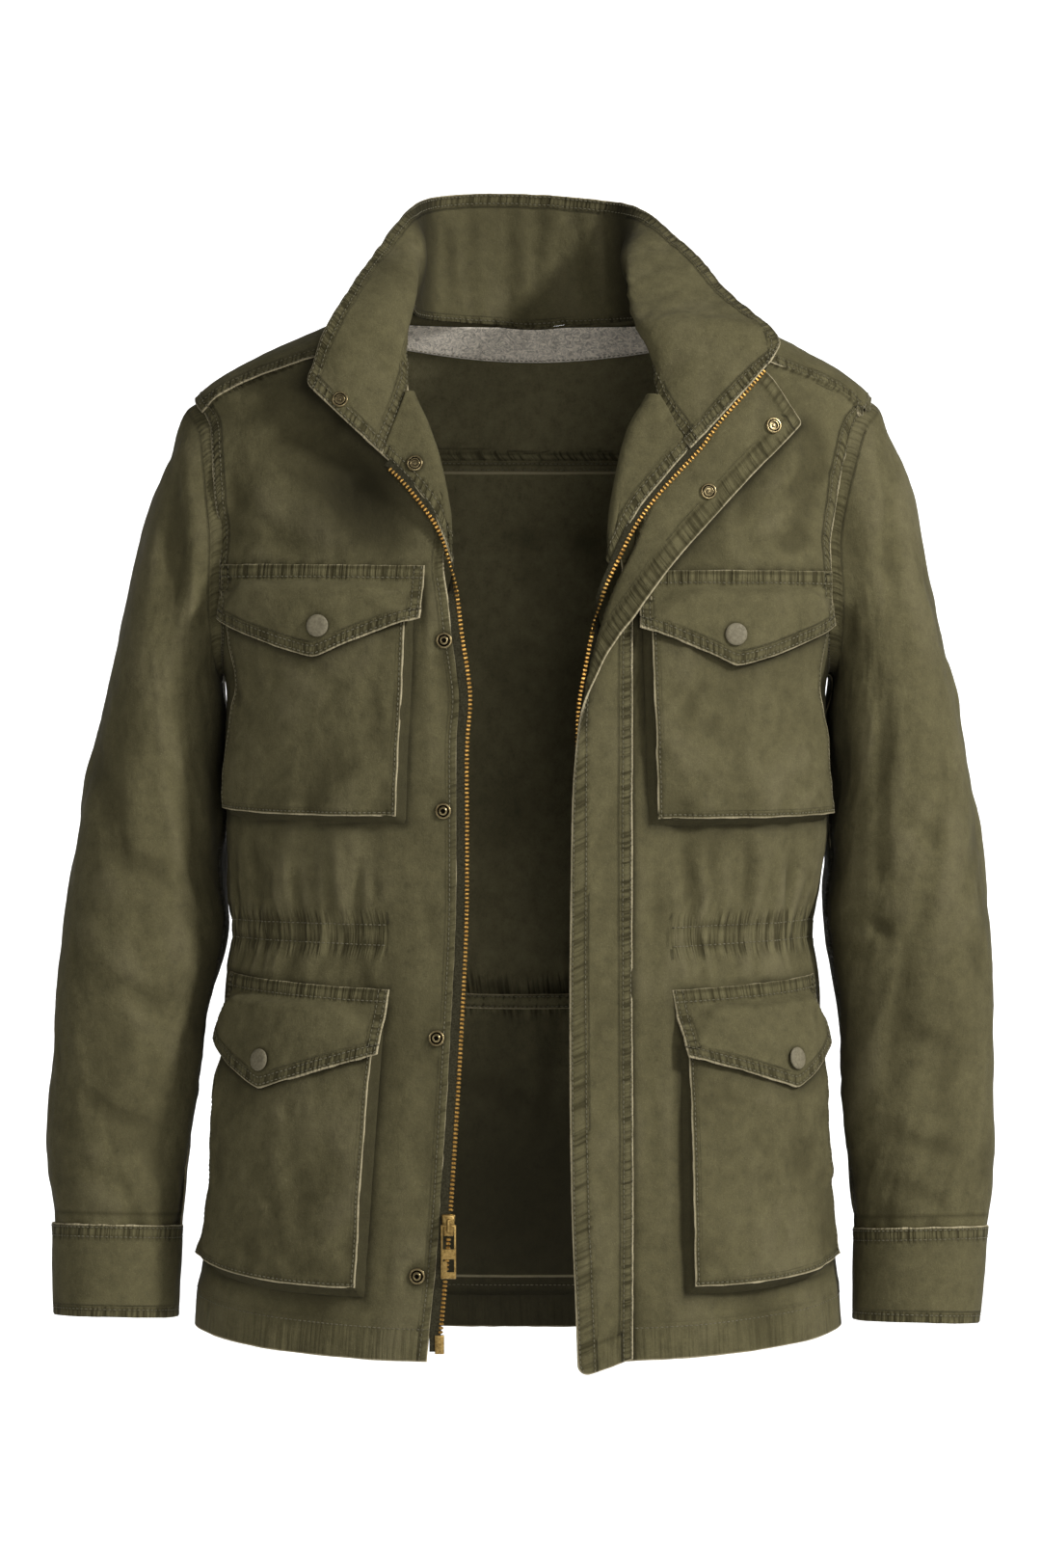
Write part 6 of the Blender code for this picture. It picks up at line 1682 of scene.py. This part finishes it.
SLEEVE_FOLDS = {
    "right": named_rows(
        "x0 z0 x1 z1 width depth bow",
        (-0.248, -0.085, -0.262, -0.27, 9.0, 2.4, 8.0), (-0.236, -0.1, -0.236, -0.21, 8.0, 1.8, -5.0),
        (-0.3, -0.47, -0.245, -0.5, 8.0, 2.2, 4.0), (-0.318, -0.545, -0.262, -0.575, 7.0, 1.8, -3.0),
        (-0.32, -0.6, -0.27, -0.622, 7.0, 1.6, 3.0), (-0.3, -0.38, -0.24, -0.41, 10.0, 1.8, 4.0),
        (-0.31, -0.3, -0.28, -0.4, 9.0, 1.4, 5.0)),
    "left": named_rows(
        "x0 z0 x1 z1 width depth bow",
        (0.26, -0.085, 0.27, -0.25, 9.0, 2.2, -8.0), (0.232, -0.42, 0.262, -0.448, 8.0, 2.6, 3.0),
        (0.262, -0.35, 0.302, -0.38, 8.0, 1.6, -3.0), (0.255, -0.505, 0.3, -0.52, 8.0, 2.0, 3.0),
        (0.25, -0.575, 0.31, -0.592, 7.0, 1.8, -3.0), (0.245, -0.612, 0.3, -0.63, 7.0, 1.4, 2.0),
        (0.315, -0.26, 0.29, -0.39, 9.0, 1.4, -5.0))}


def cuff(side):
    surface = sleeve_surface(side, 180, -180, 0.0017, SLEEVE_LAST_ROW - 0.05, CUFF_LAST_ROW)
    cloth = Cloth("cuff_" + side, surface, 3.0 * MM, 2.4 * MM, thickness=DOUBLE, closed=True)
    round_the_arm(cloth)
    cloth.soften(0.0005, 131, 40, 60)
    cloth.seam("low", (2.0, 8.5), height=0.45, reach=8, spacing=7, seed=133)
    cloth.seam("high", (5.5,), height=0.35, reach=6, spacing=7, seed=135, wear=0.55)
    draped(cloth)


def collar():
    cloth = Cloth("collar", collar_surface, 2.9 * MM, 2.8 * MM, thickness=DOUBLE, centred=True)
    oriented(cloth, lambda p: (p - np.array([NECK_CENTRE_X, 0.0, 0.03])) * np.array([1, 1, 0.3]))
    cloth.soften(0.0015, 141, 30, 60)
    for edge in ("start", "end"):
        cloth.round_corner(edge, "high", 7)
    for edge in ("high", "start", "end"):
        cloth.seam(edge, (2.0, 8.0), height=0.55, reach=8, spacing=4.5, seed=143)
        for offset in (2.0, 8.0):
            cloth.stitch(edge, offset, inner=True)
    beside = smooth_step((np.abs(cloth.u - 0.5) - 0.36) / 0.03)
    cloth.pucker("low", (2.5,), height=0.4, reach=8, spacing=5, seed=145, wear=0.4)
    cloth.pucker("low", (2.0, 7.5), height=0.3, reach=6, spacing=5, seed=146, where=beside)
    cloth.stitch("low", 2.5, inner=True)
    for first, last in ((0.0, 0.12), (0.88, 1.0)):
        cloth.stitch("low", 7.5, first, last, inner=True)
    x, z = cloth.points[..., 0], cloth.points[..., 2]
    upright = smooth_step((cloth.u * 16 - 4.2) / 0.8) * smooth_step((11.6 - cloth.u * 16) / 0.8)
    cloth.crease(COLLAR_FOLDS, x=np.where(upright > 0.5, x, 9.0))
    # Painted shade inside the collar's back, deepest beside the rolls of its leaves, on both faces.
    from_roll = np.minimum(np.abs(x + 0.0738), np.abs(np.interp(z, *LEFT_ROLL) - x))
    cloth.paint_shade(upright * np.maximum(0.22, 0.8 * np.exp(-(from_roll / 0.013) ** 2)))
    cloth.inner_shade = cloth.shade.copy()
    cloth.rest([node_points("collar_socket").mean(axis=0)])
    draped(cloth, "folded")


LEFT_ROLL = ((-0.061, -0.028, -0.003, 0.026, 0.064), (0.0915, 0.0856, 0.0807, 0.076, 0.0735))   # z, x
COLLAR_FOLDS = named_rows(
    "x0 z0 x1 z1 width depth bow",
    (-0.058, 0.092, -0.05, 0.004, 5.0, 1.7, 2.0), (-0.034, 0.096, -0.028, 0.004, 6.0, 1.2, -2.0),
    (-0.006, 0.096, 0.0, 0.004, 5.5, 1.6, 2.0), (0.022, 0.096, 0.018, 0.004, 6.0, 1.1, -2.0),
    (0.046, 0.094, 0.048, 0.004, 5.0, 1.5, 2.0), (0.064, 0.088, 0.066, 0.01, 4.0, 1.3, 0.0))


def lapel(side):
    cloth = Cloth("lapel_" + side, lapel_surface(side), 2.2 * MM, 1.8 * MM, thickness=DOUBLE, centred=True)
    oriented(cloth, facing(0, -1, 0.2))
    cloth.soften(0.0004, 151, 30, 30)
    cloth.seam("high", (2.0, 7.5), height=0.4, reach=6, spacing=6, seed=153)
    # Painted shade beside the roll of the lapel.
    cloth.paint_shade(0.55 * np.exp(-(cloth.distance("low") / (7 * MM)) ** 2))
    if side == "right":
        cloth.rest([node_points("lapel_socket").mean(axis=0)])
    draped(cloth, "folded")


def storm_flap():
    cloth = Cloth("storm_flap", storm_flap_surface, 1.9 * MM, 2.6 * MM, thickness=DOUBLE, centred=True)
    oriented(cloth, facing(0, -1, 0))
    cloth.soften(0.0011, 161, 34, 70)
    for edge, radius in (("low", 4), ("high", 9)):
        cloth.round_corner("end", edge, radius)
    cloth.seam("low", (2.0, 9.0), height=0.35, reach=7, spacing=6, seed=162, ribs=0.7)
    cloth.seam("end", (2.0, 12.0), height=0.35, reach=8, spacing=5, seed=163, ribs=0.7)
    cloth.seam("start", (1.6, 7.2), height=0.4, reach=6, spacing=7, seed=165)
    cloth.pucker("high", (20.0,), height=0.3, reach=6, spacing=7, seed=167, ribs=0.4)
    # Painted shade beside the teeth.
    z = np.linspace(-0.06, -0.29, 40)
    cloth.paint_shadow_beside(list(zip(TEETH["left"].at(z).x + 0.003, z - 0.003)), 3.2, 0.7)
    cloth.rest([node_points("storm_flap_socket_%d" % n).mean(axis=0) for n in (1, 2)])
    draped(cloth, "folded")


def pocket(sizes):
    node = sizes.name + "_bag"
    face = Cloth(sizes.name + "_bag_face", bag_face(sizes), 2.6 * MM, 2.8 * MM, node=node)
    oriented(face, facing(0, -1, 0))
    seed = int(abs(sizes.bag_top_x) * 1e4)
    face.soften(0.002, seed, 30, 60)
    face.pucker("low", (2.4,), height=0.6, reach=14, spacing=9, seed=seed + 1, ribs=0.5)
    for edge in ("start", "end"):
        face.seam(edge, (2.4,), 0.0, 0.98, height=0.45, reach=10, spacing=9, seed=seed + 2, ribs=0.4)
    face.stitch("low", 2.4)
    # Painted shadow of the flap on the bag.
    face.paint_shadow_beside(flap_line(sizes), 3.0, 0.85)
    draped(face)
    strip = Cloth(sizes.name + "_gusset", gusset(sizes), 3.2 * MM, 1.4 * MM, node=node)
    middle = face.points.mean(axis=(0, 1)) + np.array([0, 0.03, 0])
    oriented(strip, lambda p: p - middle)
    # Painted shade over the whole side strip of the bag.
    strip.paint_shade(0.6 + 0 * strip.shade)
    draped(strip, "folded")
    flap = Cloth(sizes.name + "_flap", flap_surface(sizes), 2.4 * MM, 2.2 * MM, thickness=DOUBLE)
    oriented(flap, facing(0, -1, 0))
    flap.soften(0.0008, seed + 5, 26, 34)
    flap.pucker("low", (1.8,), height=0.2, reach=5, spacing=7, seed=seed + 6, wear=0.3)
    flap.seam("high", (2.4, 7.4), height=0.45, reach=6, spacing=6.5, seed=seed + 7)
    for edge in ("start", "end"):
        flap.seam(edge, (2.4, 7.4), height=0.4, reach=5, spacing=6.5, seed=seed + 8)
    flap.seam("low", (8.5,), height=0.35, reach=3, spacing=6.5, seed=seed + 9, wear=0.6)
    flap.rest([node_points(sizes.name + "_snap").mean(axis=0)], 11.5)
    draped(flap, "folded")


def zip_tape(side):
    cloth = Cloth("zip_tape_" + side, tape_surface(side), 1.4 * MM, 4.0 * MM, thickness=TAPE, centred=True,
                  material="tape", slot="zip_tape")
    oriented(cloth, facing(0, -1, 0))
    draped(cloth, "stretched", 0.005)


def neck_facing():
    cloth = Cloth("neck_facing", neck_facing_surface, 3.0 * MM, 2.4 * MM, thickness=TAPE, centred=True,
                  material="facing", slot="neck_facing")
    oriented(cloth, facing(0, -1, -0.3))
    cloth.seam("high", (1.8,), height=0.25, reach=4, spacing=7, seed=171)
    draped(cloth)


def waist_tape():
    cloth = Cloth("waist_tape", waist_tape_surface, 3.0 * MM, 2.2 * MM, thickness=TAPE, centred=True,
                  material="inside")
    oriented(cloth, lambda points: np.array([0, 0, WAIST_Z]) - points)
    for edge in ("low", "high"):
        cloth.seam(edge, (1.8,), height=0.3, reach=4, spacing=6, seed=181)
    draped(cloth, "hung", 0.0)


# --- Hard trimmings -------------------------------------------------------------------------------
def modelled(name):
    piece = bpy.context.view_layer.objects.active
    piece.name = piece.data.name = name
    return piece


def pick(piece, test):
    """Selects faces of the piece being edited by their middle and direction."""
    work = bmesh.from_edit_mesh(piece.data)
    for item in list(work.verts) + list(work.edges) + list(work.faces):
        item.select = False
    for face in work.faces:
        if test(face.calc_center_median(), face.normal):
            face.select_set(True)
    bmesh.update_edit_mesh(piece.data)


def disc(name, radius, height, steps=48):
    bpy.ops.object.select_all(action="DESELECT")
    bpy.ops.mesh.primitive_cylinder_add(vertices=steps, radius=radius, depth=height,
                                        location=(0, 0, height / 2))
    return modelled(name)


def inset_up(thickness, rise):
    """Insets the selected face and moves it up or down."""
    bpy.ops.mesh.inset(thickness=thickness, depth=0)
    bpy.ops.transform.translate(value=(0, 0, rise))


def rounded(piece, width, segments=2, angle=30):
    bevel = piece.modifiers.new("worn_edges", "BEVEL")
    bevel.width, bevel.segments = width, segments
    bevel.limit_method, bevel.angle_limit = "ANGLE", math.radians(angle)
    bpy.context.view_layer.objects.active = piece
    bpy.ops.object.modifier_apply(modifier=bevel.name)


def smooth(piece, angle=35):
    bpy.ops.object.select_all(action="DESELECT")
    piece.select_set(True)
    bpy.context.view_layer.objects.active = piece
    bpy.ops.object.shade_smooth_by_angle(angle=math.radians(angle))


def snap_cap_model():
    cap = disc("snap_cap_model", 7.7 * MM, 1.0 * MM)
    bpy.ops.object.mode_set(mode="EDIT")
    pick(cap, lambda c, n: n.z > 0.9)
    for thickness, rise in ((0.7, 0.45), (0.9, 0.35), (1.4, 0.18), (2.0, 0.04), (1.4, -0.02)):
        inset_up(thickness * MM, rise * MM)
    bpy.ops.object.mode_set(mode="OBJECT")
    rounded(cap, 0.3 * MM)
    smooth(cap, 60)
    return cap


def stepped(name, steps):
    """A round trimming raised and sunk ring by ring from a disc: widths and heights in millimetres."""
    piece = disc(name, 5.6 * MM, 0.6 * MM)
    bpy.ops.object.mode_set(mode="EDIT")
    pick(piece, lambda c, n: n.z > 0.9)
    for thickness, rise in steps:
        inset_up(thickness * MM, rise * MM)
    bpy.ops.object.mode_set(mode="OBJECT")
    rounded(piece, 0.14 * MM)
    smooth(piece, 60)
    return piece


def tarnish(piece, bands):
    """Gives the faces between two radii, in millimetres, the dark finish of the sunk parts."""
    for face in piece.data.polygons:
        radius = math.hypot(face.center.x, face.center.y) / MM
        face.material_index = int(any(low < radius < high for low, high in bands))


def snap_socket_model():
    """A rim, a groove, a second ring and a deep eye with the end of its rivet in it."""
    socket = stepped("snap_socket_model", (
        (0.35, 0.6), (0.85, 0.1), (0.3, -0.55), (0.45, 0.0), (0.25, 0.5), (0.65, 0.05), (0.2, -1.5),
        (1.2, 0.0), (0.15, 0.8), (0.45, 0.1)))
    tarnish(socket, ((3.6, 4.35), (1.05, 2.7)))
    return socket


def snap_stud_model():
    """A rim, a wide groove and the stud with a dimple in its end."""
    stud = stepped("snap_stud_model", (
        (0.35, 0.6), (1.0, 0.1), (0.3, -0.6), (0.8, 0.0), (0.25, 1.6), (0.45, 0.35), (0.65, 0.1),
        (0.25, -0.7), (0.75, 0.0)))
    tarnish(stud, ((3.1, 4.2), (0.0, 1.55)))
    return stud


def place_on(model, node, finish, slot, sink):
    """A copy of a round trimming where a CAD node of the same size sits."""
    points = node_points(node)
    centre = points.mean(axis=0)
    axis = np.linalg.svd(points - centre)[2][2]
    along = (points - centre) @ axis
    if (axis[1] > 0) != (node in HIDDEN_SOCKETS):
        axis, along = -axis, -along
    base = centre + axis * (along.min() - sink)
    turn = Vector(axis).to_track_quat("Z", "Y").to_matrix().to_4x4()
    mesh = model.data.copy()
    mesh.transform(Matrix.Translation(base) @ turn)
    sunk = [face.material_index for face in mesh.polygons]
    piece = link(node + "_metal", mesh, MATERIALS[finish], MATERIALS["tarnished"])
    mesh.polygons.foreach_set("material_index", sunk)
    carried(piece, slot, node)


HIDDEN_SOCKETS = ("storm_flap_socket_3", "storm_flap_socket_4", "storm_flap_socket_5")


def snaps():
    cap, socket, stud = snap_cap_model(), snap_socket_model(), snap_stud_model()
    for sizes in POCKETS:
        place_on(cap, sizes.name + "_snap", "painted", "painted_cap", 0.6 * MM)
    seen_sockets = ("collar_socket", "lapel_socket", "storm_flap_socket_1", "storm_flap_socket_2")
    for node in seen_sockets + HIDDEN_SOCKETS:
        place_on(socket, node, "antique", "antique_brass", -0.3 * MM)
    for number in range(1, 5):
        place_on(stud, "front_stud_%d" % number, "antique", "antique_brass", -0.6 * MM)
    for model in (cap, socket, stud):
        bpy.data.objects.remove(model)


def block(name, size, centre):
    bpy.ops.object.select_all(action="DESELECT")
    bpy.ops.mesh.primitive_cube_add(size=1, location=(0, 0, 0))
    piece = modelled(name)
    bpy.ops.object.mode_set(mode="EDIT")
    bpy.ops.mesh.select_all(action="SELECT")
    bpy.ops.transform.resize(value=size)
    bpy.ops.transform.translate(value=centre)
    bpy.ops.object.mode_set(mode="OBJECT")
    return piece


def combine(piece, tool, operation):
    """Adds a block to a piece or cuts it away."""
    work = piece.modifiers.new("cut", "BOOLEAN")
    work.operation, work.object, work.solver = operation, tool, "EXACT"
    bpy.ops.object.select_all(action="DESELECT")
    bpy.context.view_layer.objects.active = piece
    bpy.ops.object.modifier_apply(modifier=work.name)
    bpy.data.objects.remove(tool)


ZIP_PITCH = 2.9
SLIDER_Z = -0.637
ZIP_END_Z = -0.719
PULL_AXIS_OUT = 0.0017      # from the slider's face to the bar of its pull tab


def tooth_model():
    tooth = block("zip_tooth_model", (2.5 * MM, 1.8 * MM, 2.2 * MM), (0.3 * MM, 0, 0))
    bpy.ops.object.mode_set(mode="EDIT")
    pick(tooth, lambda c, n: n.x > 0.9)
    bpy.ops.mesh.extrude_region_move(TRANSFORM_OT_translate={"value": (0.9 * MM, 0, 0)})
    bpy.ops.transform.resize(value=(1, 0.62, 0.6))
    bpy.ops.object.mode_set(mode="OBJECT")
    rounded(tooth, 0.45 * MM, 1)
    return tooth


def zip_teeth(side):
    model = tooth_model()
    points = np.array([v.co for v in model.data.vertices])
    faces = [tuple(p.vertices) for p in model.data.polygons]
    bpy.data.objects.remove(model)
    z = np.linspace(TEETH_LOW_Z, TEETH[side].keys[-1] - 0.001, 2000)
    line = teeth_frame(side, z)[0]
    length = np.concatenate([[0], np.cumsum(np.linalg.norm(np.diff(line, axis=0), axis=1))])
    count = int(length[-1] / (ZIP_PITCH * MM))
    at = np.interp((np.arange(count) + 0.5) * ZIP_PITCH * MM, length, z)
    if side == "right":
        at = at[np.abs(at - SLIDER_Z) > 0.0085]
    place, along, across = teeth_frame(side, at)
    outward = unit(np.cross(across, along))
    outward = outward * np.where(outward[:, 1:2] > 0, -1, 1)
    mesh = joined("zip_teeth_" + side, points, faces,
                  (place - outward * 0.0001, np.stack([across, along, outward], axis=1)))
    piece = link("zip_teeth_" + side, mesh, MATERIALS["brass"])
    turned_mesh = bmesh.new()
    turned_mesh.from_mesh(mesh)
    bmesh.ops.recalc_face_normals(turned_mesh, faces=turned_mesh.faces)
    turned_mesh.to_mesh(mesh)
    turned_mesh.free()
    carried(piece, "brass")


def finished(piece, node, body=BODY):
    """The last steps of a brass part of the zip that stands for a CAD node."""
    smooth(piece, 40)
    piece.data.materials.clear()
    piece.data.materials.append(MATERIALS["aged"])
    carried(piece, "brass", node, body=body)


def slider():
    x, y, z = (float(value) for value in front_point(TEETH["right"].at(SLIDER_Z).x, SLIDER_Z, 0.0024))
    width, depth, length = 9.6 * MM, 4.2 * MM, 15.0 * MM
    body = block("zip_slider_metal", (width, depth, length), (x, y, z))
    bpy.ops.object.mode_set(mode="EDIT")
    pick(body, lambda c, n: n.z < -0.9)
    bpy.ops.transform.resize(value=(0.72, 0.9, 1), center_override=(x, y, z))
    bpy.ops.object.mode_set(mode="OBJECT")
    rounded(body, 1.1 * MM, 3)
    axis_y = y - depth / 2 - PULL_AXIS_OUT
    bridge = block("bridge", (2.4 * MM, 4.4 * MM, 9.2 * MM), (x, axis_y - 0.1 * MM, z))
    rounded(bridge, 0.8 * MM, 3)
    combine(body, bridge, "UNION")
    combine(body, block("tunnel", (6.0 * MM, 3.0 * MM, 3.6 * MM), (x, axis_y, z)), "DIFFERENCE")
    finished(body, "zip_slider")
    pull_tab(x, axis_y, z)


def pull_tab(x, y, z):
    """It hangs from its bar in the slider's bridge, with a long window, a short one and a tongue."""
    bar, width, length, rail = 0.65 * MM, 10.6 * MM, 37.0 * MM, 1.4 * MM
    tab = block("zip_pull_tab_metal", (width, 1.3 * MM, length), (x, y, z + bar - length / 2))
    rounded(tab, 0.9 * MM, 2, 80)
    foot = length - bar
    upper, lower_top = 15.45 * MM, 22.9 * MM
    lower = foot - 4.6 * MM - lower_top
    for name, height, top in (("upper_window", upper, bar), ("lower_window", lower, lower_top)):
        window = block(name, (width - 2 * rail, 4 * MM, height), (x, y, z - top - height / 2))
        combine(tab, window, "DIFFERENCE")
    tongue = block("tongue", (2.6 * MM, 1.0 * MM, 8.0 * MM), (x - 2.4 * MM, y, z - foot + 8.0 * MM))
    combine(tab, tongue, "UNION")
    finished(tab, "zip_pull_tab", body="zip_pull")


def zip_ends():
    for node, side, size in (("zip_box", "right", (6.4, 3.0, 13.0)), ("zip_pin", "left", (3.0, 2.4, 13.0))):
        place = TEETH[side].at(ZIP_END_Z)
        centre = front_point(place.x, ZIP_END_Z, place.lift)
        end = block(node + "_metal", tuple(s * MM for s in size), tuple(float(c) for c in centre))
        rounded(end, 0.5 * MM)
        finished(end, node)


# --- Studio ---------------------------------------------------------------------------------------
AMBIENT = 0.1
FLOOR_Z = -1.25
WALL_START_Y = 3.6
WALL_RADIUS = 0.9
WALL_TOP_Z = 3.2
CAMERA_DISTANCE = 3.0
VIEW_HEIGHT = 1626 * 0.69e-3        # what the picture holds from top to bottom, at the zip's plane
SENSOR = 24
JACKET_MIDDLE = (0.0, 0.0, -0.35)
LAMPS = (
    ("key", (2.4, -1.7, 1.25), JACKET_MIDDLE, 0.5, 93.0),
    ("low_front", (0.5, -2.8, -0.1), (0.0, 0.0, -0.05), 0.9, 15.0),
    ("fill", (-1.9, -2.0, 0.4), JACKET_MIDDLE, 1.4, 9.0),
    ("top", (0.3, -0.2, 1.7), JACKET_MIDDLE, 1.0, 4.0),
    ("backdrop_left", (-2.3, 2.4, 0.3), (0.0, 4.5, -0.4), 1.4, 80.0),
    ("backdrop_right", (2.3, 2.4, 0.3), (0.0, 4.5, -0.4), 1.4, 80.0))


def studio():
    scene = bpy.context.scene
    profile = [(-WALL_START_Y, FLOOR_Z), (WALL_START_Y, FLOOR_Z)]
    profile += [(WALL_START_Y + WALL_RADIUS * math.sin(a), FLOOR_Z + WALL_RADIUS * (1 - math.cos(a)))
                for a in np.linspace(0.1, math.pi / 2, 12)]
    profile.append((WALL_START_Y + WALL_RADIUS, WALL_TOP_Z))
    points = [(x, y, z) for y, z in profile for x in (-5.0, 5.0)]
    faces = [(2 * k, 2 * k + 1, 2 * k + 3, 2 * k + 2) for k in range(len(profile) - 1)]
    mesh = bpy.data.meshes.new("backdrop")
    mesh.from_pydata(points, [], faces)
    mesh.shade_smooth()
    link("backdrop", mesh, MATERIALS["floor"])

    world = bpy.data.worlds.new("studio")
    world.use_nodes = True
    ambient = world.node_tree.nodes["Background"]
    ambient.inputs["Color"].default_value = (1.0, 1.0, 1.0, 1.0)
    ambient.inputs["Strength"].default_value = AMBIENT
    scene.world = world
    scene.view_settings.view_transform = "Standard"
    for name, place, target, size, power in LAMPS:
        lamp = bpy.data.lights.new(name, "AREA")
        lamp.shape, lamp.size, lamp.energy = "DISK", size, power
        light = bpy.data.objects.new(name, lamp)
        light.location = place
        light.rotation_euler = (Vector(target) - Vector(place)).to_track_quat("-Z", "Y").to_euler()
        scene.collection.objects.link(light)

    camera = bpy.data.objects.new("camera", bpy.data.cameras.new("camera"))
    camera.location = (-0.0007, -CAMERA_DISTANCE, -0.335)
    camera.rotation_euler = (math.radians(90), 0, 0)
    camera.data.sensor_fit = "VERTICAL"
    camera.data.sensor_height = SENSOR
    camera.data.lens = SENSOR * CAMERA_DISTANCE / VIEW_HEIGHT
    scene.collection.objects.link(camera)
    scene.camera = camera


for part_side in SIDES:
    front_panel(part_side)
    sleeve(part_side)
    cuff(part_side)
    lapel(part_side)
    zip_tape(part_side)
    zip_teeth(part_side)
back_panel()
yoke()
collar()
storm_flap()
neck_facing()
waist_tape()
for pocket_sizes in POCKETS:
    pocket(pocket_sizes)
snaps()
slider()
zip_ends()
studio()
